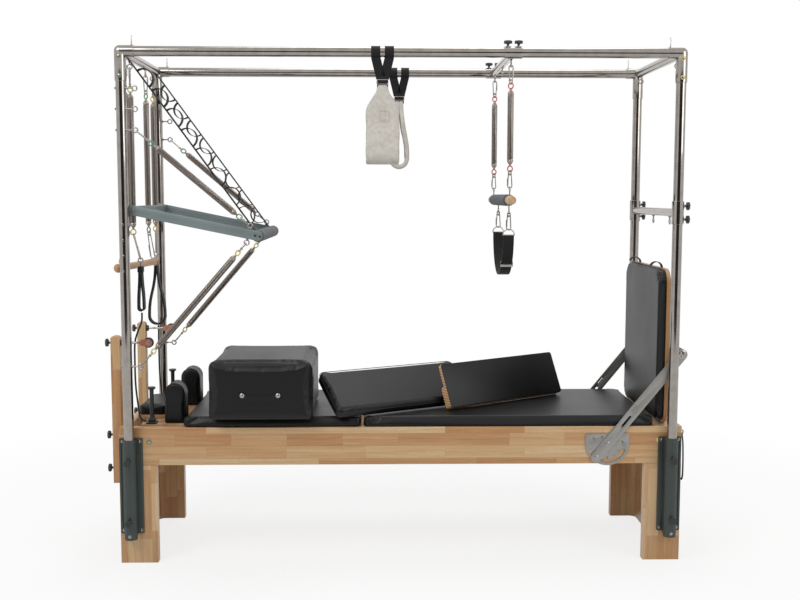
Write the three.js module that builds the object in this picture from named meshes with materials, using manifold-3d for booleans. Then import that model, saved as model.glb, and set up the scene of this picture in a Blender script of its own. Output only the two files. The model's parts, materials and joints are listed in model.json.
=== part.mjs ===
// A pilates trapeze table: wooden base, steel canopy, and everything that hangs or stands on them.
// Millimetres. X runs along the table, Y from the front to the back, Z up.

import * as THREE from 'three';
import { mergeVertices } from 'three/addons/utils/BufferGeometryUtils.js';
import Module from 'manifold-3d';

const wasm = await Module();
wasm.setup();

// Clearances
const seatGap = 0.3;
const runningGap = 1.2;
const sink = 0.5;
const cutOverrun = 5;
const weldDistance = 0.001;

// Wooden base
const frameLength = 2410;
const frameWidth = 676;
const frameTop = 590;
const railDepth = 162;
const boardThickness = 38;
const legWidth = 158;
const coveRadius = 30;
const trackWidth = 30;
const trackThickness = 6;
const trackDrop = 58;

// Canopy
const postInset = 52;
const postSpacingY = 740;
const canopyHeight = 2160;
const tubeRadius = 21;
const sleeveRadius = 24;
const sleeveClearance = 0.4;
const clampRadius = 25;
const elbowReach = 58;
const elbowDrop = 120;
const tubeEndInset = 27;
const pinRadius = 2.5;
const pinHeight = 42;
const pinInset = 10;

// Post sockets
const socketPlateWidth = 100;
const socketPlateThickness = 5;
const socketPlateBottom = 133;
const socketPlateTop = 546;
const socketTubeRadius = 27;
const socketTubeDrop = 17;
const socketFloor = 5;
const socketKnobHeights = [195, 455];
const screwRadius = 5;
const screwHeight = 2;

// Star knobs and eyebolts
const knobRadius = 14;
const knobThickness = 11;
const knobStemRadius = 5;
const knobStemLength = 12;
const knobLobes = 5;
const knobLobeShare = 0.16;
const eyeRadius = 10;
const eyeWire = 3;
const eyeShank = 12;
const hookWire = 2.5;
const hookPlay = 0.9;
const hookWidth = 9;
const ringWire = 3.2;
const eyeSeatDepth = 1;

// Springs
const springRadius = 12;
const springWire = 1.8;
const springNeckLength = 22;
const springNeckRadius = 4;
const curlSteps = 8;
const wireSides = 5;
const trapezeSpringCurlCount = 8;
const barSpringCurlCount = 7;

// Facets of round work
const pipeSides = 12;
const barSides = 8;
const stemSides = 4;
const ringSteps = 8;
const ringSides = 4;
const arcSteps = 3;
const loopSteps = 2;
const bowSteps = 3;
const coilSides = 7;
const cornerSteps = 4;

// Push-through bar and its springs and straps
const pushBarLength = 560;
const pushBarDroopAngle = 11.6;
const pushArmThickness = 12;
const pushArmDepth = 40;
const pushArmGap = 3;
const pushCrossInset = 32;
const pushCrossThickness = 6;
const gripRadius = 26;
const pivotBoltRadius = 5;
const lowerEyeHeight = 860;
const postEyeReach = 26;
const barEyeInset = 40;
const strapWidth = 40;
const strapThickness = 3;
const strapLoopCount = 8;
const strapLoopShare = 0.42;
const strapLead = 56;
const strapTail = 24;
const strapPlace = 290;
const longHook = 92;
const shortHook = 66;
const adjustingPitch = 64.5;
const adjustingHoleCount = 4;

// Springs and loops hung at the left end
const armSpringPlaces = [-202, 262];
const rollSpringPlaces = [-300, 108];
const footLoopSwings = [28, 0];
const footLoopWidths = [30, 82];
const footWebbing = 38;
const footWebbingThickness = 7;
const neckGap = 1;
const rollBarRadius = 15;
const rollBallRadius = 19;
const rollBarLength = 470;
const rollBarOffset = [-8, -100];
const rollBarTwistAngle = 7;

// Pulleys on risers at the left end
const riserWidth = 41;
const riserDepth = 40;
const riserPlace = 255;
const riserTopMargin = 31;
const riserBottom = 334;
const riserCorner = 10;
const riserKnobHeights = [398, 544];
const pulleyDrop = 16;
const pulleyReach = 118;
const pulleySwivel = 39;
const pulleyRadius = 22;
const pulleyThickness = 13;
const pulleyGroove = 5;
const pulleyAxleRadius = 4;
const cheekThickness = 4;
const cheekMargin = 5;
const ropeRadius = 4;
const ropeSteps = 14;
const ropeSides = 8;

// Carriage, shoulder rests and headrest
const carriageEndGap = 42;
const carriageShare = 0.4075;
const deckThickness = 22;
const deckHalfWidth = 262;
const wheelRadius = 22;
const wheelWidth = 18;
const wheelInset = 110;
const padSetback = 187;
const padGap = 2;
const padOverhang = 4;
const padThickness = 42;
const padHalfWidth = 336;
const padCorner = 28;
const padLift = 2.4;
const padCrown = 3;
const shoulderThickness = 88;
const shoulderWidth = 100;
const shoulderHeight = 176;
const shoulderInner = 150;
const ropePostSetback = 43;
const ropePostHeight = 150;
const ropePostRadius = 9;
const ropePostBase = 44;
const ropePostShares = { foot: 1.4, flange: 1.9 };
const headrestLength = 130;
const headrestWidth = 290;
const headrestThickness = 46;
const headrestBoard = 16;
const headrestSetback = 89;

// Filler mat
const matEndGap = 12;
const matBoardThickness = 14;
const matBoardHalfWidth = 292;

// Jumpboard
const jumpHeight = 674;
const jumpHalfWidth = 315;
const jumpPanelThickness = 16;
const jumpPadThickness = 32;
const jumpPanelInset = 57;
const jumpCorner = 60;
const jumpLoopPlace = 190;
const jumpLoopRadius = 27;
const jumpLoopWidth = 32;
const jumpLoopTurnShare = 0.9;
const cleatWidth = 40;
const cleatDepth = 30;

// Footbar
const footPivotInset = 322;
const footPivotHeight = 516;
const footPlateRadius = 95;
const footPlateTop = 561;
const footPlateThickness = 4;
const footSlotRadius = 76;
const footSlotHalfWidth = 6;
const footSlotShares = { from: 1.1, to: 1.9, notchLow: 0.35, notchHigh: 0.65 };
const footNotchCount = 5;
const footNotchDepth = 13;
const footArmLength = 496;
const footArmWidth = 46;
const footArmThickness = 5;
const footArmAngle = 51;
const footGripRadius = 23;
const footBoltRadius = 8;
const footSlotLength = 66;
const footSlotWidth = 10;
const footSlotStart = 90;

// Trolley, trapeze and sling
const trolleyX = 455;
const trolleySleeveLength = 72;
const trolleyBarRadius = 18;
const trolleyKnobSpread = 22;
const trapezePlace = 305;
const trapezeBarLength = 780;
const trapezeBarRadius = 18;
const trapezeGripRadius = 25;
const trapezeGripLength = 560;
const slingPlaces = [-285, 105];
const slingWidth = 46;
const slingThickness = 4;

// Fleece slings
const fleeceX = [-82, 2];
const fleeceStrapWidth = 38;
const fleeceStrapSpread = 56;
const fleeceStrapThickness = 3;
const fleeceFace = 138;
const fleeceDepth = 92;
const fleeceThickness = 16;

// Lower cross bar
const crossBarHeight = 1505;
const crossSleeveLength = 96;
const crossBarRadius = 18;
const crossKnobSpread = 28;
const crossEyePlaces = [-250, 20, 290];

// Sitting box and loose boards
const boxSetbackShare = 0.326;
const boxLength = 438;
const boxFront = -400;
const boxDepth = 500;
const boxHeight = 252;
const boxCorner = 16;
const boxHandleLength = 150;
const boxHandleDroop = 22;
const boxHandleThickness = 4;
const paddedFront = -383;
const paddedLength = 690;
const paddedWidth = 248;
const paddedThickness = 50;
const paddedTurnAngle = 28.8;
const paddedLeanAngle = 36;
const platformLength = 666;
const platformWidth = 198;
const platformThickness = 20;
const platformCleatWidth = 100;
const platformCorner = 12;
const platformTurnAngle = 34.4;
const platformLeanAngle = 66;
const platformStart = 180;

// Carriage springs inside the base
const springBarInset = 645;
const springBarRadius = 10;
const carriageSpringLength = 430;
const carriageSpringCount = 5;
const carriageSpringSpacing = 90;
const springBarDrop = 96;
const springBarBlock = 34;

// Heights of what hangs at the canopy, as shares of the way from the base's top up to the canopy
const hungShares = {
  pushPivot: 0.5911,
  upperEyes: [0.7968, 0.8516, 0.9051],
  endSpringTop: 0.9045,
  endSpringBottom: 0.535,
  footLoopTops: [0.4459, 0.4484],
  footLoopBottoms: [0.3089, 0.2363],
  rollBar: 0.4331,
  trapezeSpringTop: 0.9108,
  trapezeSpringBottom: 0.707,
  trapezeBar: 0.6153,
  slingTop: 0.5223,
  slingBottom: 0.4051,
  fleeceJoin: 0.9312,
  fleeceTop: 0.9146,
  fleeceBottom: 0.7108,
};

// Places worked out from the driving dimensions
const railBottom = frameTop - railDepth;
const halfLength = frameLength / 2;
const halfWidth = frameWidth / 2;
const railInner = halfWidth - boardThickness;
const endInner = halfLength - boardThickness;
const trackTop = frameTop - trackDrop + trackThickness;
const postX = halfLength - postInset;
const postY = postSpacingY / 2;
const postInner = postY - tubeRadius;
const tubeEnd = postX - tubeEndInset;
const postTop = canopyHeight - tubeEndInset;
const sleeveBore = tubeRadius + sleeveClearance;
const socketTubeBottom = socketPlateBottom - socketTubeDrop;
const postBottom = socketTubeBottom + socketFloor + seatGap;
const hung = (share) => frameTop + (canopyHeight - frameTop) * share;
const pushPivotHeight = hung(hungShares.pushPivot);
const upperEyeHeights = hungShares.upperEyes.map(hung);
const endSpringTop = hung(hungShares.endSpringTop);
const endSpringBottom = hung(hungShares.endSpringBottom);
const footLoopTops = hungShares.footLoopTops.map(hung);
const footLoopBottoms = hungShares.footLoopBottoms.map(hung);
const rollBarHeight = hung(hungShares.rollBar);
const pulleyHeight = footLoopBottoms[1] - pulleyDrop;
const riserTop = pulleyHeight + riserTopMargin;
const trapezeSpringTop = hung(hungShares.trapezeSpringTop);
const trapezeSpringBottom = hung(hungShares.trapezeSpringBottom);
const trapezeBarHeight = hung(hungShares.trapezeBar);
const slingTop = hung(hungShares.slingTop);
const slingBottom = hung(hungShares.slingBottom);
const fleeceJoinHeight = hung(hungShares.fleeceJoin);
const fleeceTop = hung(hungShares.fleeceTop);
const fleeceBottom = hung(hungShares.fleeceBottom);
const carriageLeft = -endInner + carriageEndGap;
const carriageRight = carriageLeft + endInner * 2 * carriageShare;
const padLeft = carriageLeft + padSetback;
const ropePostX = carriageLeft + ropePostSetback;
const headrestRight = carriageLeft + headrestSetback;
const boxLeft = carriageLeft + (carriageRight - carriageLeft) * boxSetbackShare;
const boxRight = boxLeft + boxLength;
const jumpPanelRight = halfLength - jumpPanelInset;
const matRight = jumpPanelRight - jumpPanelThickness - jumpPadThickness - matEndGap;
const footPivotX = halfLength - footPivotInset;
const springBarX = halfLength - springBarInset;
const padBottom = frameTop + padLift;
const padTop = padBottom + padThickness;
const hookReach = eyeWire + hookWire + hookPlay;
const endEyeHeight = canopyHeight - tubeRadius - eyeShank - eyeRadius;
const pulleyX = -halfLength + pulleyReach;
const pushArmOuter = postInner - pushArmGap;
const pushArmInner = pushArmOuter - pushArmThickness;
const footArmInnerY = halfWidth + seatGap * 2 + footPlateThickness;
const footArmOuterY = footArmInnerY + footArmThickness;
const padX = [padLeft, carriageRight + padOverhang];
const matLeft = carriageRight + padOverhang + padGap;
const matFace = padTop + seatGap;
const matBottom = frameTop + seatGap;
const trolleyEye = canopyHeight - trolleyBarRadius - eyeShank - eyeRadius;
const trapezeEyeTop = trapezeBarHeight + trapezeGripRadius + eyeShank + eyeRadius;
const trapezeEyeBottom = trapezeBarHeight - trapezeGripRadius - eyeShank - eyeRadius;

// Materials
function finish(color, roughness, metalness = 0) {
  return new THREE.MeshStandardMaterial({ color, roughness, metalness });
}

const lightWood = finish(0xd9b48a, 0.55);
const blackLeather = finish(0x1c1c1e, 0.5);
const greyPaint = finish(0x3e4a4a, 0.45, 0.2);
const polishedSteel = finish(0xc8c8c8, 0.15, 1);
const springSteel = finish(0x9c938c, 0.3, 1);
const greyPlate = finish(0x9a9a98, 0.4, 0.8);
const blackPlastic = finish(0x161616, 0.5);
const blackWebbing = finish(0x121212, 0.85);
const greyFoam = finish(0x5b5e60, 0.9);
const whiteFleece = finish(0xeeece8, 0.95);
const blackRope = finish(0x151515, 0.9);

const table = new THREE.Group();
table.name = 'pilates_trapeze_table';

// Shape helpers

/** A point or direction. */
function at(x, y, z) {
  return new THREE.Vector3(x, y, z);
}

/** The low and high end of a stretch that lies on one side, -1 or +1, of the middle. */
function span(side, near, far) {
  return side > 0 ? [near, far] : [-far, -near];
}

/** Turns a closed geometry into a solid with its faces pointing outwards. */
function solidOf(geometry) {
  const plain = geometry.clone();
  plain.deleteAttribute('normal');
  plain.deleteAttribute('uv');
  const merged = mergeVertices(plain, weldDistance);
  const points = merged.attributes.position.array;
  const corners = Uint32Array.from(merged.index.array);
  if (signedVolume(points, corners) < 0) {
    for (let i = 0; i < corners.length; i += 3) {
      [corners[i + 1], corners[i + 2]] = [corners[i + 2], corners[i + 1]];
    }
  }
  const mesh = new wasm.Mesh({ numProp: 3, vertProperties: Float32Array.from(points), triVerts: corners });
  return new wasm.Manifold(mesh);
}

/** Six times the volume inside a triangle mesh, negative where it is inside out. */
function signedVolume(points, corners) {
  const a = new THREE.Vector3();
  const b = new THREE.Vector3();
  const c = new THREE.Vector3();
  let total = 0;
  for (let i = 0; i < corners.length; i += 3) {
    a.fromArray(points, corners[i] * 3);
    b.fromArray(points, corners[i + 1] * 3);
    c.fromArray(points, corners[i + 2] * 3);
    total += a.dot(b.cross(c));
  }
  return total;
}

/** Joins several solids into one. */
function join(solids) {
  return solids.reduce((whole, solid) => whole.add(solid));
}

/** Adds a named piece of the table. */
function piece(name, solid, material) {
  const mesh = solid.getMesh();
  const geometry = new THREE.BufferGeometry();
  geometry.setAttribute('position', new THREE.BufferAttribute(mesh.vertProperties, mesh.numProp));
  geometry.setIndex(new THREE.BufferAttribute(mesh.triVerts, 1));
  geometry.computeVertexNormals();
  const node = new THREE.Mesh(geometry, material);
  node.name = name;
  table.add(node);
  return node;
}

/** A box between three pairs of limits. */
function block(x, y, z) {
  const geometry = new THREE.BoxGeometry(x[1] - x[0], y[1] - y[0], z[1] - z[0]);
  geometry.translate((x[0] + x[1]) / 2, (y[0] + y[1]) / 2, (z[0] + z[1]) / 2);
  return solidOf(geometry);
}

/** Turns a geometry built along +Y so that it starts at a point and runs along a direction. */
function aimed(geometry, start, direction) {
  const turn = new THREE.Quaternion().setFromUnitVectors(at(0, 1, 0), direction.clone().normalize());
  geometry.applyQuaternion(turn);
  geometry.translate(start.x, start.y, start.z);
  return solidOf(geometry);
}

/** A round bar between two points. */
function rod(start, end, radius, sides = barSides) {
  const run = end.clone().sub(start);
  const geometry = new THREE.CylinderGeometry(radius, radius, run.length(), sides);
  geometry.translate(0, run.length() / 2, 0);
  return aimed(geometry, start, run);
}

/** A turned piece: the profile lists radius and distance along the direction from the start. */
function turned(profile, start, direction, sides = barSides) {
  const points = profile.map(([radius, along]) => new THREE.Vector2(radius, along));
  return aimed(new THREE.LatheGeometry(points, sides), start, direction);
}

/** An outline pushed along Z, with optional placing. */
function pushed(outline, bottom, top, placing = null, curveSegments = arcSteps) {
  const options = { depth: top - bottom, bevelEnabled: false, curveSegments };
  const geometry = new THREE.ExtrudeGeometry(outline, options);
  geometry.translate(0, 0, bottom);
  if (placing) geometry.applyMatrix4(placing);
  return solidOf(geometry);
}

/** Placing that takes an outline drawn in X and Z, pushed along Y from front to back. */
function standing() {
  return new THREE.Matrix4().makeBasis(at(1, 0, 0), at(0, 0, 1), at(0, -1, 0));
}

/** An outline drawn in X and Z, as thick as the stretch in Y. */
function upright(outline, y) {
  return pushed(outline, -y[1], -y[0], standing());
}

/** An outline drawn in Y and Z, as thick as the stretch in X. */
function crosswise(outline, x) {
  const placing = new THREE.Matrix4().makeBasis(at(0, 1, 0), at(0, 0, 1), at(1, 0, 0));
  return pushed(outline, x[0], x[1], placing);
}

/** A straight-sided outline through points given as pairs. */
function outlineOf(points) {
  return new THREE.Shape(points.map(([x, y]) => new THREE.Vector2(x, y)));
}

/** A rectangle with round corners between two corners. */
function roundedOutline(left, bottom, right, top, radius) {
  const shape = new THREE.Shape();
  shape.absarc(right - radius, bottom + radius, radius, -Math.PI / 2, 0);
  shape.absarc(right - radius, top - radius, radius, 0, Math.PI / 2);
  shape.absarc(left + radius, top - radius, radius, Math.PI / 2, Math.PI);
  shape.absarc(left + radius, bottom + radius, radius, Math.PI, Math.PI * 1.5);
  return shape;
}

/** A ring of round wire around a centre, in the plane square to its axis. */
function wireRing(centre, axis, radius, wire) {
  const geometry = new THREE.TorusGeometry(radius, wire, ringSides, ringSteps);
  const turn = new THREE.Quaternion().setFromUnitVectors(at(0, 0, 1), axis.clone().normalize());
  geometry.applyQuaternion(turn);
  geometry.translate(centre.x, centre.y, centre.z);
  return solidOf(geometry);
}

/** A long link of round wire between two points: straight sides and round ends, square to its axis. */
function link(start, end, axis, width = hookWidth, wire = hookWire) {
  const up = end.clone().sub(start).normalize();
  const side = up.clone().cross(axis).normalize();
  const normal = side.clone().cross(up);
  const points = [];
  for (const [tip, way] of [[start, -1], [end, 1]]) {
    const centre = tip.clone().addScaledVector(up, -way * width);
    for (let i = 0; i < bowSteps; i += 1) {
      const turn = (i / (bowSteps - 1)) * Math.PI;
      const outward = side.clone().multiplyScalar(way * Math.cos(turn));
      outward.addScaledVector(up, way * Math.sin(turn));
      for (let j = 0; j < ringSides; j += 1) {
        const spin = (j / ringSides) * Math.PI * 2;
        points.push(centre.clone().addScaledVector(outward, width + wire * Math.cos(spin))
          .addScaledVector(normal, wire * Math.sin(spin)));
      }
    }
  }
  return solidOf(tubeAround(points, bowSteps * 2, ringSides, true));
}

/** The skin over rings of points, closed on itself or with a flat cap on each end. */
function tubeAround(points, rings, sides, closed) {
  const flat = points.flatMap((point) => [point.x, point.y, point.z]);
  const corners = [];
  const last = closed ? rings : rings - 1;
  for (let i = 0; i < last; i += 1) {
    for (let j = 0; j < sides; j += 1) {
      const a = i * sides + j;
      const b = i * sides + ((j + 1) % sides);
      const c = ((i + 1) % rings) * sides + j;
      const d = ((i + 1) % rings) * sides + ((j + 1) % sides);
      corners.push(a, b, c, b, d, c);
    }
  }
  if (!closed) {
    for (const [ring, order] of [[0, 1], [rings - 1, -1]]) {
      for (let j = 1; j < sides - 1; j += 1) {
        const first = ring * sides;
        const fan = order > 0 ? [first, first + j + 1, first + j] : [first, first + j, first + j + 1];
        corners.push(...fan);
      }
    }
  }
  const geometry = new THREE.BufferGeometry();
  geometry.setAttribute('position', new THREE.Float32BufferAttribute(flat, 3));
  geometry.setIndex(corners);
  return geometry;
}

/** A tube along a curve. */
function swept(curve, radius, steps, sides) {
  const section = new THREE.Shape();
  section.absarc(0, 0, radius, 0, Math.PI * 2);
  const options = { steps, extrudePath: curve, bevelEnabled: false, curveSegments: sides / 2 };
  return solidOf(new THREE.ExtrudeGeometry(section, options));
}

/** A star knob on a stem that points along a direction from its seat. */
function starKnob(seat, direction) {
  const star = new THREE.Shape();
  const steps = knobLobes * 2;
  for (let i = 0; i <= steps; i += 1) {
    const turn = (i / steps) * Math.PI * 2;
    const radius = knobRadius * (1 - knobLobeShare * (1 - Math.cos(turn * knobLobes)) / 2);
    const spot = [radius * Math.cos(turn), radius * Math.sin(turn)];
    if (i === 0) star.moveTo(...spot);
    else star.lineTo(...spot);
  }
  const geometry = new THREE.ExtrudeGeometry(star, { depth: knobThickness, bevelEnabled: false });
  geometry.rotateX(-Math.PI / 2);
  geometry.translate(0, knobStemLength, 0);
  const head = aimed(geometry, seat, direction);
  const inside = seat.clone().addScaledVector(direction, -sink);
  const stemEnd = seat.clone().addScaledVector(direction, knobStemLength + sink);
  const stem = rod(inside, stemEnd, knobStemRadius, stemSides);
  return head.add(stem);
}

/** An eyebolt: shank from its seat along a direction, and a ring square to an axis. */
function eyebolt(seat, direction, axis, shank = eyeShank) {
  const centre = seat.clone().addScaledVector(direction, shank + eyeRadius);
  const inside = seat.clone().addScaledVector(direction, -sink);
  const tip = seat.clone().addScaledVector(direction, shank + eyeWire / 2);
  return rod(inside, tip, eyeWire, stemSides).add(wireRing(centre, axis, eyeRadius, eyeWire));
}

/** How far a cushion's top edge is rounded in. */
function cushionEdge(thickness, corner) {
  return Math.min(thickness * cushionShares.edge, corner * cushionShares.cornerEdge);
}

/** The rings of a cushion: base, drawn-in side, shoulder and crown, closed by a point on top. */
function cushion(x, y, bottom, thickness, corner, crown, placing = null) {
  const edge = cushionEdge(thickness, corner);
  const body = thickness - crown;
  const least = corner * cushionShares.leastCorner;
  const reach = Math.min(x[1] - x[0], y[1] - y[0]) / 2 - edge - corner;
  const levels = [
    [edge / 2, 0],
    [0, edge * cushionShares.foot],
    [edge * cushionShares.drawIn, body / 2],
    [0, body - edge * cushionShares.shoulder],
    [edge, body],
    [edge + reach * cushionShares.crownStep, body + crown * cushionShares.crownRise],
  ];
  const sides = cornerSteps * 4;
  const points = [];
  for (const [inset, height] of levels) {
    const radius = Math.max(corner - inset, least);
    const centres = [
      [x[1] - inset - radius, y[1] - inset - radius],
      [x[0] + inset + radius, y[1] - inset - radius],
      [x[0] + inset + radius, y[0] + inset + radius],
      [x[1] - inset - radius, y[0] + inset + radius],
    ];
    centres.forEach(([cx, cy], quarter) => {
      for (let i = 0; i < cornerSteps; i += 1) {
        const turn = (quarter + i / (cornerSteps - 1)) * Math.PI / 2;
        points.push(at(cx + radius * Math.cos(turn), cy + radius * Math.sin(turn), bottom + height));
      }
    });
  }
  const geometry = tubeAround(points, levels.length, sides, false);
  const top = points.length;
  const flat = Array.from(geometry.attributes.position.array);
  flat.push((x[0] + x[1]) / 2, (y[0] + y[1]) / 2, bottom + thickness);
  const corners = Array.from(geometry.index.array).slice(0, -3 * (sides - 2));
  const first = (levels.length - 1) * sides;
  for (let j = 0; j < sides; j += 1) corners.push(first + j, first + ((j + 1) % sides), top);
  geometry.setAttribute('position', new THREE.Float32BufferAttribute(flat, 3));
  geometry.setIndex(corners);
  if (placing) geometry.applyMatrix4(placing);
  return solidOf(geometry);
}

/** How a cushion's rounded edge follows its thickness and corner, and how its rings follow that edge. */
const cushionShares = {
  edge: 0.22,
  cornerEdge: 0.6,
  drawIn: 0.23,
  foot: 0.85,
  shoulder: 0.77,
  crownStep: 0.2,
  crownRise: 0.8,
  leastCorner: 0.5,
};

/** The cone that closes a wound spring's end and carries its ring. */
function springNeck(start, direction) {
  const profile = [
    [0, -sink],
    [springRadius + springWire, -sink],
    [springNeckRadius, springNeckLength],
    [0, springNeckLength],
  ];
  return turned(profile, start, direction, coilSides);
}

/** A spring between two points, wound as one tube where curls are given, else its plain outer shape. */
function spring(start, end, curls = 0) {
  const run = end.clone().sub(start);
  const along = run.clone().normalize();
  if (curls === 0) {
    const length = run.length();
    const profile = [
      [0, 0],
      [springNeckRadius, 0],
      [springRadius + springWire, springNeckLength],
      [springRadius + springWire, length - springNeckLength],
      [springNeckRadius, length],
      [0, length],
    ];
    return turned(profile, start, along, coilSides);
  }
  const first = start.clone().addScaledVector(along, springNeckLength);
  const last = end.clone().addScaledVector(along, -springNeckLength);
  const necks = [springNeck(first, along.clone().negate()), springNeck(last, along)];
  return join([helix(first, last, along, curls), ...necks]);
}

/** One unbroken helix of wire between two points; its least gap to itself is printed. */
function helix(first, last, along, curls) {
  const across = Math.abs(along.z) > Math.abs(along.x) ? at(1, 0, 0) : at(0, 0, 1);
  const side = across.clone().addScaledVector(along, -across.dot(along)).normalize();
  const other = along.clone().cross(side);
  const length = last.distanceTo(first);
  const steps = curls * curlSteps;
  const centres = [];
  const points = [];
  for (let i = 0; i <= steps; i += 1) {
    const turn = (i / curlSteps) * Math.PI * 2;
    const outward = side.clone().multiplyScalar(Math.cos(turn)).addScaledVector(other, Math.sin(turn));
    const centre = first.clone().addScaledVector(along, (i / steps) * length);
    centre.addScaledVector(outward, springRadius);
    centres.push(centre);
    for (let j = 0; j < wireSides; j += 1) {
      const spin = (j / wireSides) * Math.PI * 2;
      points.push(centre.clone().addScaledVector(outward, springWire * Math.cos(spin))
        .addScaledVector(along, springWire * Math.sin(spin)));
    }
  }
  let least = Infinity;
  for (let i = 0; i < centres.length; i += 1) {
    for (let j = i + curlSteps / 2; j < centres.length; j += 1) {
      least = Math.min(least, centres[i].distanceTo(centres[j]) - 2 * springWire);
    }
  }
  console.log(`spring of ${curls} curls: least gap ${least.toFixed(2)} mm`);
  return solidOf(tubeAround(points, steps + 1, wireSides, false));
}

/** A hollow band: an outline of closed shape with a like one inside it, by thickness. */
function bandAround(outer, inner) {
  outer.holes.push(new THREE.Path(inner.getPoints(arcSteps)));
  return outer;
}

/** A teardrop loop: round bottom of a width, narrowing to a neck at the top. */
function teardrop(centre, bottom, top, width, neck) {
  const radius = width / 2;
  const shape = new THREE.Shape();
  const middle = (bottom + top) / 2;
  shape.moveTo(centre - neck, top);
  shape.bezierCurveTo(centre - neck, middle, centre - radius, middle, centre - radius, bottom + radius);
  shape.absarc(centre, bottom + radius, radius, Math.PI, Math.PI * 2);
  shape.bezierCurveTo(centre + radius, middle, centre + neck, middle, centre + neck, top);
  return shape;
}

// Wooden base

/** A side rail with the carriage track on its inner face. */
function sideRail(side) {
  const board = block([-halfLength, halfLength], span(side, railInner, halfWidth), [railBottom, frameTop]);
  const trackEnd = endInner - runningGap;
  const trackY = span(side, railInner - trackWidth, railInner + sink);
  return board.add(block([-trackEnd, trackEnd], trackY, [trackTop - trackThickness, trackTop]));
}

/** The plan of an end: the front and back legs and the end board between them, with coved corners. */
function legPlan(side) {
  const plan = new THREE.Shape();
  const legInner = halfLength - legWidth;
  const coveX = endInner - coveRadius;
  const coveY = railInner - coveRadius;
  plan.moveTo(side * halfLength, -halfWidth);
  plan.lineTo(side * legInner, -halfWidth);
  plan.lineTo(side * legInner, -railInner);
  plan.lineTo(side * coveX, -railInner);
  plan.quadraticCurveTo(side * endInner, -railInner, side * endInner, -coveY);
  plan.lineTo(side * endInner, coveY);
  plan.quadraticCurveTo(side * endInner, railInner, side * coveX, railInner);
  plan.lineTo(side * legInner, railInner);
  plan.lineTo(side * legInner, halfWidth);
  plan.lineTo(side * halfLength, halfWidth);
  return plan;
}

/** An end of the base: legs, end board and end rail glued into one. */
function endFrame(side) {
  const legs = pushed(legPlan(side), 0, railBottom - seatGap);
  const inner = railInner - seatGap;
  const rail = block(span(side, endInner, halfLength), [-inner, inner], [railBottom - sink, frameTop]);
  return legs.add(rail);
}

for (const [name, side] of [['front', -1], ['back', 1]]) {
  piece(`side_rail_${name}`, sideRail(side), lightWood);
}
piece('end_frame_left', endFrame(-1), lightWood);

/** The right end also carries the cleat that the jumpboard stands on, and an eyebolt with a strap. */
function rightEnd() {
  const inner = railInner - seatGap;
  const cleatX = [endInner - cleatWidth, endInner + sink];
  const cleat = block(cleatX, [-inner, inner], [frameTop - cleatDepth, frameTop]);
  const seat = at(halfLength, -inner + socketPlateWidth / 2, socketPlateTop);
  const eye = eyebolt(seat, at(1, 0, 0), at(0, 1, 0));
  return join([endFrame(1), cleat, eye]);
}

piece('end_frame_right', rightEnd(), lightWood);

// Post sockets and posts

/** A socket screwed to the leg, holding the foot of a post with two star knobs. */
function postSocket(sideX, sideY) {
  const x = sideX * postX;
  const y = sideY * postY;
  const face = halfWidth + seatGap;
  const plateY = span(sideY, face, face + socketPlateThickness);
  const plateX = [x - socketPlateWidth / 2, x + socketPlateWidth / 2];
  const plate = block(plateX, plateY, [socketPlateBottom, socketPlateTop]);
  const tube = rod(at(x, y, socketTubeBottom), at(x, y, socketPlateTop), socketTubeRadius, pipeSides);
  const webX = [x - socketTubeRadius + sink, x + socketTubeRadius - sink];
  const web = block(webX, span(sideY, face + sink, postY), [socketPlateBottom, socketPlateTop]);
  const boreTop = at(x, y, socketPlateTop + cutOverrun);
  const bore = rod(at(x, y, postBottom - seatGap), boreTop, sleeveBore, pipeSides);
  const out = at(0, sideY, 0);
  const knobs = socketKnobHeights.map((z) => starKnob(at(x, y + sideY * socketTubeRadius, z), out));
  return join([plate, tube, web]).subtract(bore).add(join(knobs));
}

/** The adjusting holes down a left post's face. */
function adjustingHoles(x, y, sideY) {
  const holes = [];
  for (let i = 1; i <= adjustingHoleCount; i += 1) {
    const z = pushPivotHeight - i * adjustingPitch;
    const bottom = at(x, y + sideY * (tubeRadius - screwHeight), z);
    holes.push(rod(bottom, at(x, y + sideY * (tubeRadius + cutOverrun), z), pinRadius, stemSides));
  }
  return join(holes);
}

/** A post; the left ones carry the eyebolts for the push-through bar's springs. */
function post(sideX, sideY) {
  const x = sideX * postX;
  const y = sideY * postY;
  const tube = rod(at(x, y, postBottom), at(x, y, postTop), tubeRadius, pipeSides);
  if (sideX > 0) return tube;
  const heights = [...(sideY < 0 ? upperEyeHeights : upperEyeHeights.slice(0, 2)), lowerEyeHeight];
  const seats = heights.map((z) => at(x + tubeRadius - eyeSeatDepth, y, z));
  const eyes = seats.map((seat) => eyebolt(seat, at(1, 0, 0), at(0, 1, 0), postEyeReach));
  return join([tube, ...eyes]).subtract(adjustingHoles(x, y, sideY));
}

for (const [side, sideY] of [['front', -1], ['back', 1]]) {
  for (const [end, sideX] of [['left', -1], ['right', 1]]) {
    piece(`post_socket_${side}_${end}`, postSocket(sideX, sideY), greyPaint);
    piece(`post_${side}_${end}`, post(sideX, sideY), polishedSteel);
  }
  const y = sideY * postY;
  const tube = rod(at(-tubeEnd, y, canopyHeight), at(tubeEnd, y, canopyHeight), tubeRadius, pipeSides);
  piece(`top_tube_${side}`, tube, polishedSteel);
}

// Canopy ends

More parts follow.
